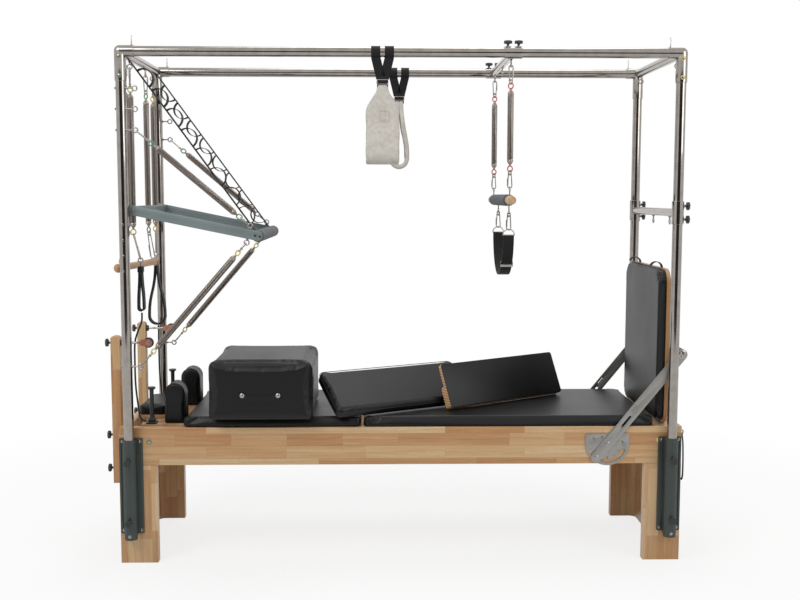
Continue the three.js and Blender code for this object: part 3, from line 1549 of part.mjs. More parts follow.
/** The cross bar between the right posts: two sleeves, star knobs and three eyebolts. */
function lowerCrossBar() {
  const outer = clampRadius;
  const reach = postY - sleeveRadius + sink;
  const barEnds = [-reach, reach].map((y) => at(postX, y, crossBarHeight));
  const parts = [rod(...barEnds, crossBarRadius, barSides)];
  const z = [crossBarHeight - crossSleeveLength / 2, crossBarHeight + crossSleeveLength / 2];
  for (const side of [-1, 1]) {
    const y = side * postY;
    const shell = rod(at(postX, y, z[0]), at(postX, y, z[1]), outer, pipeSides);
    const boreEnds = [z[0] - cutOverrun, z[1] + cutOverrun].map((end) => at(postX, y, end));
    const bore = rod(...boreEnds, sleeveBore, pipeSides);
    parts.push(shell.subtract(bore));
    for (const shift of [-crossKnobSpread, crossKnobSpread]) {
      parts.push(starKnob(at(postX + outer - sink, y, crossBarHeight + shift), at(1, 0, 0)));
    }
  }
  for (const y of crossEyePlaces) {
    parts.push(eyebolt(at(postX, y, crossBarHeight - crossBarRadius), at(0, 0, -1), acrossX));
  }
  return join(parts);
}

piece('lower_cross_bar', lowerCrossBar(), polishedSteel);

// Sitting box

/** The upholstered box with a drooping strap handle on its front. */
function sittingBox() {
  const bottom = padTop + seatGap;
  const boxY = [boxFront, boxFront + boxDepth];
  const body = cushion([boxLeft, boxRight], boxY, bottom, boxHeight, boxCorner, padCrown);
  const middle = (boxLeft + boxRight) / 2;
  const height = bottom + boxHeight / 2;
  const half = boxHandleLength / 2;
  const handle = new THREE.Shape();
  handle.moveTo(middle - half, height);
  handle.quadraticCurveTo(middle, height - boxHandleDroop * 2, middle + half, height);
  const low = height - strapWidth / 2;
  handle.lineTo(middle + half, low);
  handle.quadraticCurveTo(middle, low - boxHandleDroop * 2, middle - half, low);
  const sideInset = cushionEdge(boxHeight, boxCorner);
  const strap = upright(handle, [boxFront - boxHandleThickness, boxFront + sideInset]);
  const screws = [-half, half].map((shift) => {
    const screwZ = (height + low) / 2;
    const start = at(middle + shift, boxFront + sideInset, screwZ);
    const end = at(middle + shift, boxFront - boxHandleThickness - screwHeight, screwZ);
    return rod(start, end, screwRadius * 2, barSides);
  });
  return join([body, strap, ...screws]);
}

piece('sitting_box', sittingBox(), blackLeather);

// Loose boards, each drawn flat and then turned and leaned back about its lower edge

/** Placing of a leaning board: X along its lower edge, Y up its slope, Z out of its face. */
function leaning(origin, turn, lean) {
  const phi = THREE.MathUtils.degToRad(turn);
  const tau = THREE.MathUtils.degToRad(lean);
  const along = at(Math.cos(phi), Math.sin(phi), 0);
  const back = at(-Math.sin(phi), Math.cos(phi), 0);
  const slope = back.clone().multiplyScalar(Math.cos(tau)).add(at(0, 0, Math.sin(tau)));
  return new THREE.Matrix4().makeBasis(along, slope, along.clone().cross(slope)).setPosition(origin);
}

const paddedTurn = THREE.MathUtils.degToRad(paddedTurnAngle);
const paddedLean = THREE.MathUtils.degToRad(paddedLeanAngle);
const paddedReach = paddedWidth * Math.cos(paddedLean) * Math.sin(paddedTurn);
const paddedFoot = cushionEdge(paddedThickness, padCorner) / 2 * Math.sin(paddedLean);
const paddedOrigin = at(boxRight + runningGap + paddedReach, paddedFront, matFace - paddedFoot);
const paddedPlacing = leaning(paddedOrigin, paddedTurnAngle, paddedLeanAngle);
const paddedSize = [[0, paddedLength], [0, paddedWidth]];
const paddedBoard = cushion(...paddedSize, 0, paddedThickness, padCorner, padCrown, paddedPlacing);
piece('padded_board', paddedBoard, blackLeather);

/** The platform board's lower left corner, where its back just clears the padded board's lower corner. */
function platformOrigin() {
  const contact = at(paddedLength, 0, paddedThickness).applyMatrix4(paddedPlacing);
  const placing = leaning(at(0, 0, 0), platformTurnAngle, platformLeanAngle);
  const normal = at(0, 0, 1).transformDirection(placing);
  const along = at(1, 0, 0).transformDirection(placing);
  const back = at(-along.y, along.x, 0);
  const start = at(contact.x, contact.y, matFace).addScaledVector(along, -platformStart);
  const depth = contact.clone().sub(start).dot(normal) + seatGap;
  return start.addScaledVector(back, depth / back.dot(normal));
}

/** The platform board: a black face on plywood, with a second layer behind its lower half. */
function platformBoard() {
  const placing = leaning(platformOrigin(), platformTurnAngle, platformLeanAngle);
  const face = roundedOutline(0, 0, platformLength, platformWidth, platformCorner);
  const cleat = roundedOutline(0, 0, platformLength, platformCleatWidth, platformCorner);
  const board = pushed(face, platformThickness, platformThickness * 2, placing, loopSteps);
  return board.add(pushed(cleat, 0, platformThickness + sink, placing, loopSteps));
}

piece('platform_board', platformBoard(), blackLeather);

// The origin is the middle of the footprint on the floor.
const extent = new THREE.Box3().setFromObject(table);
table.position.set(-(extent.min.x + extent.max.x) / 2, -(extent.min.y + extent.max.y) / 2, -extent.min.z);

export default table;
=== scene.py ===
"""The pilates trapeze table: its finishes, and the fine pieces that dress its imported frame."""

from __future__ import annotations

import json
import logging
import math
from collections.abc import Callable
from dataclasses import dataclass, field
from enum import Enum

import bmesh
import bpy
from mathutils import Matrix, Vector, noise

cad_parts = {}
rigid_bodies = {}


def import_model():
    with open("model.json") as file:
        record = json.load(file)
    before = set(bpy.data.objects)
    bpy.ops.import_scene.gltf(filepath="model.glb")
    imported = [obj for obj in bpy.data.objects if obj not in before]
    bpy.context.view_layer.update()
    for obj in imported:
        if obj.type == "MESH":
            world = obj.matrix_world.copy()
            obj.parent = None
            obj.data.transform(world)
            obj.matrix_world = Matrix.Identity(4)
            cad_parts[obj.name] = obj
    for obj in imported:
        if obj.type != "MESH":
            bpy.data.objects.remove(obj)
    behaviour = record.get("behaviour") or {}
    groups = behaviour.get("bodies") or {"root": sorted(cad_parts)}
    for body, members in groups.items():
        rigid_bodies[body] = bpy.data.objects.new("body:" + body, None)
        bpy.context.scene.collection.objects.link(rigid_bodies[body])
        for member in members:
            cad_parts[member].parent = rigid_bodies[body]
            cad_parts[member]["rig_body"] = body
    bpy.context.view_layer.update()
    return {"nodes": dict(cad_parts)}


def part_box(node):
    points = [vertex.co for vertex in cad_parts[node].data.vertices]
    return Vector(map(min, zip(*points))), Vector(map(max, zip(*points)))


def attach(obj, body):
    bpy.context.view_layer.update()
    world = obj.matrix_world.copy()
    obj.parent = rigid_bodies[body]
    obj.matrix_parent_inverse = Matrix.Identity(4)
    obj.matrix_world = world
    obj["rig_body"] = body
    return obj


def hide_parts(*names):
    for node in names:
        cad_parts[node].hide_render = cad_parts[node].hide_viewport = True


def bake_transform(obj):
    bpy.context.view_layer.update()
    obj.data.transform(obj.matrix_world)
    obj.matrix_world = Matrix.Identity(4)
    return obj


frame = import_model()
log = logging.getLogger("trapeze_table")

MILLIMETRE = 0.001
SMOOTH_ANGLE = math.radians(38)
SOFT_ANGLE = math.radians(60)
RIM_ANGLE = math.radians(60)
UP = Vector((0, 0, 1))
ACROSS = Vector((0, 1, 0))
ALONG = Vector((1, 0, 0))


class Side(Enum):
    """The front and the back of the table, with their direction in Y."""

    FRONT = -1
    BACK = 1

    @property
    def word(self) -> str:
        """The side's word in the names of pieces."""
        return self.name.lower()


class End(Enum):
    """The left and the right end of the table, with their direction in X."""

    LEFT = -1
    RIGHT = 1

    @property
    def word(self) -> str:
        """The end's word in the names of pieces."""
        return self.name.lower()


def rail_middle() -> Vector:
    """The middle of the two side rails on the floor: the point that the sizes are drawn from."""
    low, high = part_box("side_rail_front")
    return Vector(((low.x + high.x) / 2, (low.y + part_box("side_rail_back")[1].y) / 2, 0))


ORIGIN = rail_middle()


def at(x: float, y: float, z: float) -> Vector:
    """A point in drawing millimetres."""
    return Vector((x, y, z))


def placed(point: Vector) -> Vector:
    """A drawing point in the frame, in metres."""
    return point * MILLIMETRE + ORIGIN


def linear(code: str) -> tuple[float, float, float, float]:
    """A written colour as the shader's linear one.

    Args:
        code: six hexadecimal digits, as read off a colour picker.

    Returns:
        The linear red, green, blue and alpha.
    """
    channels = [int(code[i:i + 2], 16) / 255 for i in (0, 2, 4)]
    red, green, blue = (((c + 0.055) / 1.055) ** 2.4 if c > 0.04045 else c / 12.92 for c in channels)
    return (red, green, blue, 1.0)


WHITE = (1.0, 1.0, 1.0, 1.0)


class Nodes:
    """The node tree of a material or the world, written step by step."""

    def __init__(self, owner: bpy.types.Material | bpy.types.World) -> None:
        """Opens the owner's tree."""
        owner.use_nodes = True
        self.tree = owner.node_tree

    def give(self, socket: bpy.types.NodeSocket, value: object) -> None:
        """Links an input to another node, or sets it.

        Args:
            socket: the input.
            value: another node's output, or a plain value.
        """
        if isinstance(value, bpy.types.NodeSocket):
            self.tree.links.new(value, socket)
        else:
            socket.default_value = value

    def node(self, kind: str, *first: object, **settings: object) -> bpy.types.Node:
        """Adds a node.

        Args:
            kind: its type.
            first: what its first inputs are given, in order.
            settings: its properties.

        Returns:
            The node.
        """
        made = self.tree.nodes.new(kind)
        for key, value in settings.items():
            setattr(made, key, value)
        for socket, value in zip(made.inputs, first):
            self.give(socket, value)
        return made

    def feed(self, made: bpy.types.Node, **inputs: object) -> bpy.types.Node:
        """Fills a node's inputs by name.

        Args:
            made: the node.
            inputs: outputs or plain values, with underscores for the spaces of a name.

        Returns:
            The same node.
        """
        for key, value in inputs.items():
            self.give(made.inputs[key.replace("_", " ")], value)
        return made

    def math(self, operation: str, first: object, second: object) -> bpy.types.NodeSocket:
        """Two numbers put together."""
        return self.node("ShaderNodeMath", first, second, operation=operation).outputs["Value"]


class Shader(Nodes):
    """A material with one surface, on the object's own coordinates."""

    def __init__(self, name: str) -> None:
        """Starts a material of that name with a plain surface.

        Args:
            name: the material's name.
        """
        self.material = bpy.data.materials.new(name)
        super().__init__(self.material)
        self.surface = self.tree.nodes["Principled BSDF"]
        self.object_place = self.node("ShaderNodeTexCoord").outputs["Object"]

    def set(self, **inputs: object) -> None:
        """Sets or links inputs of the surface."""
        self.feed(self.surface, **inputs)

    def point(self, x: object, y: object, z: object = 0.0) -> bpy.types.NodeSocket:
        """A place put together from its three parts."""
        return self.node("ShaderNodeCombineXYZ", x, y, z).outputs["Vector"]

    def stretched(self, x: float, y: float, z: float) -> bpy.types.NodeSocket:
        """The object's coordinates, stretched along each axis."""
        made = self.node("ShaderNodeMapping", self.object_place)
        return self.feed(made, Scale=(x, y, z)).outputs["Vector"]

    def noise(self, scale: float, detail: float = 2.0, place: bpy.types.NodeSocket | None = None,
              rough: float = 0.5) -> bpy.types.NodeSocket:
        """Cloudy noise.

        Args:
            scale: the number of clouds in a metre.
            detail: how many finer layers it has.
            place: the coordinates, or None for the object's.
            rough: how strong the finer layers are.

        Returns:
            A factor from 0 to 1.
        """
        made = self.node("ShaderNodeTexNoise", place or self.object_place)
        return self.feed(made, Scale=scale, Detail=detail, Roughness=rough).outputs["Fac"]

    def wave(self, direction: str, scale: float, distortion: float, detail: float = 1.0,
             place: bpy.types.NodeSocket | None = None) -> bpy.types.NodeSocket:
        """Even waves.

        Args:
            direction: the way that they run.
            scale: how close they are.
            distortion: how far they stray.
            detail: how many finer layers their straying has.
            place: the coordinates, or None for the object's.

        Returns:
            A factor from 0 to 1.
        """
        made = self.node("ShaderNodeTexWave", place or self.object_place, bands_direction=direction)
        return self.feed(made, Scale=scale, Distortion=distortion, Detail=detail).outputs["Fac"]

    def cells(self, scale: float) -> bpy.types.NodeSocket:
        """The distance to the nearest cell's middle, at so many cells a metre."""
        made = self.node("ShaderNodeTexVoronoi", self.object_place)
        return self.feed(made, Scale=scale).outputs["Distance"]

    def between(self, factor: bpy.types.NodeSocket, low: float, high: float) -> bpy.types.NodeSocket:
        """A factor from 0 to 1 as a number from low to high."""
        made = self.node("ShaderNodeMapRange", factor)
        return self.feed(made, To_Min=low, To_Max=high).outputs["Result"]

    def ramp(self, factor: bpy.types.NodeSocket,
             stops: list[tuple[float, str]]) -> bpy.types.NodeSocket:
        """A colour that follows a factor.

        Args:
            factor: a number from 0 to 1.
            stops: written colours, each with the factor at which it is reached.

        Returns:
            The colour.
        """
        made = self.node("ShaderNodeValToRGB", factor)
        elements = made.color_ramp.elements
        while len(elements) < len(stops):
            elements.new(0.5)
        for element, (position, code) in zip(elements, stops):
            element.position = position
            element.color = linear(code)
        return made.outputs["Color"]

    def mix(self, factor: object, first: object, second: object,
            blend: str = "MIX") -> bpy.types.NodeSocket:
        """Two colours mixed.

        Args:
            factor: how much of the second colour is taken.
            first: a colour.
            second: another.
            blend: how they are mixed.

        Returns:
            The mixed colour.
        """
        made = self.node("ShaderNodeMix", data_type="RGBA", blend_type=blend)
        for place, value in ((0, factor), (6, first), (7, second)):
            self.give(made.inputs[place], value)
        return made.outputs[2]

    def clouded(self, clouds: bpy.types.NodeSocket, colour: str, other: str,
                rough: tuple[float, float], **inputs: object) -> None:
        """Gives the surface two colours in clouds, and a gloss that follows them.

        Args:
            clouds: where the second colour shows, from 0 to 1.
            colour: the written colour between the clouds.
            other: the written colour of the clouds.
            rough: the roughness outside them and in them.
            inputs: further inputs of the surface.
        """
        self.set(Base_Color=self.mix(clouds, linear(colour), linear(other)),
                 Roughness=self.between(clouds, *rough), **inputs)

    def bump(self, height: bpy.types.NodeSocket, depth: float, strength: float = 1.0) -> None:
        """Raises the surface by a height from 0 to 1 times a depth in metres, at a strength."""
        made = self.feed(self.node("ShaderNodeBump"), Height=height, Distance=depth, Strength=strength)
        self.set(Normal=made.outputs["Normal"])


@dataclass(frozen=True)
class Finish:
    """What a surface is made of."""

    name: str
    slot: str

    def material(self) -> bpy.types.Material:
        """The finish's material, made once.

        Returns:
            The material.
        """
        name = f"{self.name}_finish"
        known = bpy.data.materials.get(name)
        if known:
            return known
        shader = Shader(name)
        self.paint(shader)
        return shader.material

    def paint(self, shader: Shader) -> None:
        """Writes the finish's nodes into a shader."""
        raise NotImplementedError


class Grain(Enum):
    """The direction of a board's grain, with the axes along it and across it."""

    X = (0, 2, 1)
    Y = (1, 2, 0)
    Z = (2, 0, 1)


@dataclass(frozen=True)
class StavedWood(Finish):
    """Pale hardwood glued up from finger-jointed staves, under a satin lacquer."""

    grain: Grain = Grain.X
    stave_length: float = 0.33
    stave_width: float = 0.052
    shift: float = 0.0
    warmth: float = 0.0
    lacquer: str = "e6e4e1"

    def paint(self, shader: Shader) -> None:
        """Writes staves of slightly different tone, each with its own growth rings and pores.

        Args:
            shader: the shader that is written.
        """
        parts = shader.node("ShaderNodeSeparateXYZ", shader.object_place)
        along, across, depth = (parts.outputs[i] for i in self.grain.value)
        side = shader.math("ADD", across, depth)
        run = shader.math("ADD", along, self.shift)
        staves = shader.node("ShaderNodeTexBrick", shader.point(run, side), offset=0.41, offset_frequency=2,
                             squash=0.7, squash_frequency=3)
        shader.feed(staves, Color1=(0, 0, 0, 1), Color2=(1, 1, 1, 1), Mortar=(0.5, 0.5, 0.5, 1), Scale=1.0,
                    Mortar_Size=0.0004, Mortar_Smooth=0.1, Brick_Width=self.stave_length,
                    Row_Height=self.stave_width)
        stave = staves.outputs["Color"]
        own = shader.math("MULTIPLY", stave, 9.0)
        lines = shader.point(shader.math("MULTIPLY", run, 2.2), shader.math("MULTIPLY", side, 34.0), own)
        rings = shader.noise(1.6, 5.0, lines, 0.62)
        arches = shader.point(shader.math("MULTIPLY", run, 3.4), shader.math("MULTIPLY", side, 17.0), own)
        wave = shader.node("ShaderNodeTexWave", arches, bands_direction="Y", wave_profile="SAW")
        shader.feed(wave, Scale=0.55, Distortion=7.0, Detail=3.0, Detail_Scale=0.7, Detail_Roughness=0.6)
        streaks = shader.point(shader.math("MULTIPLY", run, 60.0), shader.math("MULTIPLY", side, 900.0))
        pores = shader.noise(1.0, 2.0, streaks, 0.6)
        tone = shader.ramp(stave, [(0.0, "c0976c"), (0.3, "cfab82"), (0.6, "d8ba94"), (1.0, "e2c9a6")])
        streak = shader.ramp(rings, [(0.34, "a5713f"), (0.5, "cf9f6c"), (0.62, "f3dcba")])
        coloured = shader.mix(0.34, tone, streak, "SOFT_LIGHT")
        arch = shader.ramp(wave.outputs["Fac"], [(0.0, "ffffff"), (0.82, "f0dcc2"), (1.0, "b98654")])
        coloured = shader.mix(0.3, coloured, arch, "MULTIPLY")
        fleck = shader.ramp(pores, [(0.3, "8c5c34"), (0.42, "ffffff")])
        coloured = shader.mix(0.35, coloured, fleck, "MULTIPLY")
        line = shader.math("MULTIPLY", staves.outputs["Fac"], 0.45)
        coloured = shader.mix(line, coloured, linear("7a4f2c"))
        if self.warmth:
            coloured = shader.mix(self.warmth, coloured, linear("9a6236"), "MULTIPLY")
        coloured = shader.mix(1.0, coloured, linear(self.lacquer), "MULTIPLY")
        shader.set(Base_Color=coloured, Roughness=shader.between(rings, 0.36, 0.52),
                   Coat_Weight=0.12, Coat_Roughness=0.25)
        shader.bump(pores, 0.00008, 0.5)


@dataclass(frozen=True)
class PolishedSteel(Finish):
    """Polished stainless tube, with faint drawing lines and finger marks."""

    tint: str = "a9a5a0"
    gloss: float = 0.05

    def paint(self, shader: Shader) -> None:
        """Writes a mirror metal whose polish varies a little.

        Args:
            shader: the shader that is written.
        """
        shader.clouded(shader.noise(26.0, 4.0), self.tint, "857d77", (self.gloss, self.gloss + 0.07),
                       Metallic=1.0)
        shader.bump(shader.noise(420.0, 2.0), 0.00002, 0.35)


@dataclass(frozen=True)
class SpringWire(Finish):
    """Drawn spring wire, nickel plated, a little warmer than the tubes."""

    tint: str = "a59c95"

    def paint(self, shader: Shader) -> None:
        """Writes a satin metal with darker marks."""
        shader.clouded(shader.noise(90.0, 3.0), self.tint, "7d736b", (0.26, 0.38), Metallic=1.0)
        shader.bump(shader.noise(900.0, 1.0), 0.00002, 0.2)


@dataclass(frozen=True)
class PowderCoat(Finish):
    """Powder-coated steel with a fine orange-peel skin."""

    colour: str = "333c3a"
    worn: str = "424b48"

    def paint(self, shader: Shader) -> None:
        """Writes the skin's pebbles and its slightly uneven colour."""
        shader.clouded(shader.noise(7.0, 4.0), self.colour, self.worn, (0.34, 0.46), Metallic=0.25)
        shader.bump(shader.cells(900.0), 0.00006, 0.5)


@dataclass(frozen=True)
class BrushedPlate(Finish):
    """Bead-blasted flat steel of the footbar and its plates."""

    colour: str = "a3a29e"

    def paint(self, shader: Shader) -> None:
        """Writes a dull metal with fine lines along the bar.

        Args:
            shader: the shader that is written.
        """
        lines = shader.noise(1.0, 3.0, shader.stretched(60.0, 60.0, 900.0))
        colour = shader.mix(shader.noise(9.0, 3.0), linear(self.colour), linear("8b8a87"))
        shader.set(Base_Color=colour, Metallic=0.75, Roughness=shader.between(lines, 0.32, 0.48))
        shader.bump(lines, 0.00003, 0.5)


@dataclass(frozen=True)
class Leatherette(Finish):
    """Black upholstery vinyl with a pebbled grain."""

    colour: str = "070708"
    pebble: float = 620.0
    sheen: float = 0.34

    def paint(self, shader: Shader) -> None:
        """Writes the pebbles, the creases between them and a little variation in the gloss.

        Args:
            shader: the shader that is written.
        """
        pebbles = shader.math("MULTIPLY", shader.cells(self.pebble), 0.7)
        creases = shader.math("MULTIPLY", shader.noise(self.pebble / 3, 3.0), 0.5)
        shader.clouded(shader.noise(5.0, 3.0), self.colour, "0c0c0d", (self.sheen, self.sheen + 0.12),
                       Specular_IOR_Level=0.3)
        shader.bump(shader.math("ADD", pebbles, creases), 0.00016, 0.55)


@dataclass(frozen=True)
class Moulded(Finish):
    """Moulded plastic or rubber with a fine spark texture."""

    colour: str = "1b1b1c"
    gloss: float = 0.38

    def paint(self, shader: Shader) -> None:
        """Writes the texture of the mould."""
        shader.clouded(shader.noise(40.0, 2.0), self.colour, "29292a", (self.gloss, self.gloss + 0.14))
        shader.bump(shader.noise(1500.0, 2.0), 0.00004, 0.5)


@dataclass(frozen=True)
class DippedPaint(Finish):
    """Bright paint on the coded rings, the round plugs and the pulleys' cheeks."""

    colour: str = "3f7d55"

    def paint(self, shader: Shader) -> None:
        """Writes a glossy paint with thin places.

        Args:
            shader: the shader that is written.
        """
        clouds = shader.noise(160.0, 3.0)
        thin = shader.mix(0.35, linear(self.colour), linear("d8d2c8"))
        shader.set(Base_Color=shader.mix(shader.between(clouds, -0.4, 1.0), linear(self.colour), thin),
                   Roughness=shader.between(clouds, 0.22, 0.4))
        shader.bump(clouds, 0.0001, 0.4)


@dataclass(frozen=True)
class Webbing(Finish):
    """Woven nylon webbing: ribs across the tape and a twill along it."""

    colour: str = "0a0a0b"
    rib: float = 520.0

    def paint(self, shader: Shader) -> None:
        """Writes the weave as two crossed waves, raised and shaded.

        Args:
            shader: the shader that is written.
        """
        warp = shader.wave("DIAGONAL", self.rib / 3, 1.2)
        weft = shader.wave("Z", self.rib / 4, 0.6)
        weave = shader.math("MULTIPLY", warp, weft)
        shader.set(Base_Color=shader.mix(weave, linear(self.colour), linear("171718")),
                   Roughness=shader.between(shader.noise(300.0, 3.0), 0.68, 0.86), Specular_IOR_Level=0.3,
                   Sheen_Weight=0.06, Sheen_Roughness=0.5)
        shader.bump(weave, 0.0003, 0.6)


@dataclass(frozen=True)
class Foam(Finish):
    """Closed-cell foam sleeve with a matt, faintly pitted skin."""

    colour: str = "4b4e50"

    def paint(self, shader: Shader) -> None:
        """Writes the pits of the foam."""
        shader.clouded(shader.noise(20.0, 3.0), self.colour, "5d6062", (0.72, 0.88))
        shader.bump(shader.cells(1100.0), 0.0002, 0.5)


@dataclass(frozen=True)
class Fleece(Finish):
    """White lambswool fleece with tufted locks."""

    colour: str = "cfcac2"

    def paint(self, shader: Shader) -> None:
        """Writes tufts at two sizes, with painted shade that makes the hollows between them greyer.

        Args:
            shader: the shader that is written.
        """
        locks = shader.noise(60.0, 5.0, rough=0.6)
        height = shader.math("ADD", locks, shader.math("MULTIPLY", shader.cells(420.0), 0.6))
        # painted shade: the colour follows the larger tufts and turns greyer where they sink into hollows
        shader.set(Base_Color=shader.ramp(locks, [(0.25, "b9b3a9"), (0.65, self.colour)]),
                   Roughness=0.95, Sheen_Weight=0.05, Sheen_Roughness=0.6)
        shader.bump(height, 0.0008, 0.5)


@dataclass(frozen=True)
class Braid(Finish):
    """Braided black cord."""

    colour: str = "19191a"

    def paint(self, shader: Shader) -> None:
        """Writes the braid as crossed slanting waves, with painted light and shade: lighter on the raised
        strands, darker in the grooves.

        Args:
            shader: the shader that is written.
        """
        one = shader.wave("DIAGONAL", 150.0, 2.0)
        other = shader.wave("DIAGONAL", 150.0, 2.0, place=shader.stretched(-1.0, 1.0, 1.0))
        weave = shader.math("MULTIPLY", one, other)
        # painted light and shade: the weave height that raises the strands also makes them lighter and the
        # grooves darker
        shader.set(Base_Color=shader.mix(weave, linear(self.colour), linear("303032")), Roughness=0.8)
        shader.bump(weave, 0.0004, 0.7)


@dataclass(frozen=True)
class Plywood(Finish):
    """The layered edge of the platform board."""

    layers: float = 330.0

    def paint(self, shader: Shader) -> None:
        """Writes alternating layers across the board's slope.

        Args:
            shader: the shader that is written.
        """
        bands = shader.wave("Z", self.layers / 12, 0.8, 2.0)
        fibres = shader.noise(1.0, 4.0, shader.stretched(30.0, 300.0, 700.0))
        colour = shader.ramp(bands, [(0.3, "b58456"), (0.6, "e3c197")])
        shader.set(Base_Color=shader.mix(shader.between(fibres, 0.0, 0.4), colour, linear("8d5f38")),
                   Roughness=0.6)
        shader.bump(fibres, 0.0001, 0.4)


RAIL_WOOD = StavedWood("rail_wood", "light_wood", Grain.X, 0.34, 0.054)
LEG_WOOD = StavedWood("leg_wood", "light_wood", Grain.Z, 0.30, 0.052, 0.07)
INNER_WOOD = StavedWood("end_board_wood", "light_wood", Grain.Z, 0.36, 0.06, 0.21, 0.22)
CROSS_WOOD = StavedWood("cross_rail_wood", "light_wood", Grain.Y, 0.31, 0.054, 0.13)
TURNED_WOOD = StavedWood("turned_wood", "light_wood", Grain.Y, 1.4, 0.3, 0.4, 0.12)
STEEL = PolishedSteel("polished_steel", "polished_steel")
HARDWARE = PolishedSteel("bright_hardware", "polished_steel", "b5b2ae", 0.13)
WIRE = SpringWire("spring_wire", "spring_steel")
SOCKET_PAINT = PowderCoat("socket_paint", "grey_paint")
BAR_PAINT = PowderCoat("push_bar_paint", "grey_paint", "6b7777", "808c8c")
PLATE = BrushedPlate("footbar_plate", "grey_plate")
VINYL = Leatherette("black_vinyl", "black_leather")
BOX_VINYL = Leatherette("box_vinyl", "black_leather", "09090a", 560.0, 0.36)
PIPING = Leatherette("black_piping", "black_leather", "0d0d0e", 900.0, 0.34)
KNOB = Moulded("knob_plastic", "black_plastic")
RUBBER = Moulded("black_rubber", "black_plastic", "161616", 0.6)
STRAP = Webbing("black_webbing", "black_webbing")
FOAM = Foam("grey_foam", "grey_foam")
BAR_FOAM = Foam("bar_grip_foam", "grey_foam", "5f6365")
WOOL = Fleece("white_fleece", "white_fleece")
ROPE = Braid("black_cord", "black_rope")
PLY = Plywood("ply_edge", "light_wood")
GREEN = DippedPaint("green_paint", "spring_steel", "3f7d55")
YELLOW = DippedPaint("yellow_paint", "spring_steel", "d9c437")
RED = DippedPaint("red_paint", "spring_steel", "c6463f")
CHEEK_WOOD = DippedPaint("pulley_cheek", "polished_steel", "a8593c")


def as_mesh(name: str, shape: bmesh.types.BMesh) -> bpy.types.Mesh:
    """A mesh of a finished shape.

    Args:
        name: the mesh's name.
        shape: the shape; it is freed.

    Returns:
        The mesh.
    """
    data = bpy.data.meshes.new(name)
    shape.to_mesh(data)
    shape.free()
    return data


def linked(name: str, data: bpy.types.ID) -> bpy.types.Object:
    """A new object in the scene.

    Args:
        name: its name.
        data: its mesh, camera or lamp.

    Returns:
        The object.
    """
    made = bpy.data.objects.new(name, data)
    bpy.context.collection.objects.link(made)
    return made


def only(made: list[bmesh.types.BMVert], kind: type) -> list:
    """Those of an operator's results that are of one kind."""
    return [item for item in made if isinstance(item, kind)]


def frames_along(path: list[Vector], across: Vector | None, closed: bool) -> list[Matrix]:
    """Upright frames along a path, turning no more than the path does.

    Args:
        path: the points of the path.
        across: the direction that the section's width keeps to, or None for a round section.
        closed: whether the path's end meets its start.

    Returns:
        One placing for each point, with its Z along the path.
    """
    count = len(path)
    result = []
    side = across
    for i, point in enumerate(path):
        after = path[(i + 1) % count] if closed or i < count - 1 else point
        before = path[i - 1] if closed or i > 0 else point
        tangent = (after - before).normalized()
        if side is None:
            side = tangent.orthogonal()
        flat = (side - tangent * side.dot(tangent)).normalized()
        if across is None:
            side = flat
        other = tangent.cross(flat)
        turn = Matrix((flat, other, tangent)).transposed().to_4x4()
        result.append(Matrix.Translation(point) @ turn)
    return result


def aim(start: Vector, direction: Vector) -> Matrix:
    """The placing that carries a shape drawn up Z to a start, along a direction."""
    return Matrix.Translation(start) @ UP.rotation_difference(direction).to_matrix().to_4x4()


def upright(y: float) -> Matrix:
    """Stands a drawing up in X and Z, its thickness running from y towards the front."""
    return Matrix.Translation((0, y, 0)) @ Matrix.Rotation(math.pi / 2, 4, "X")


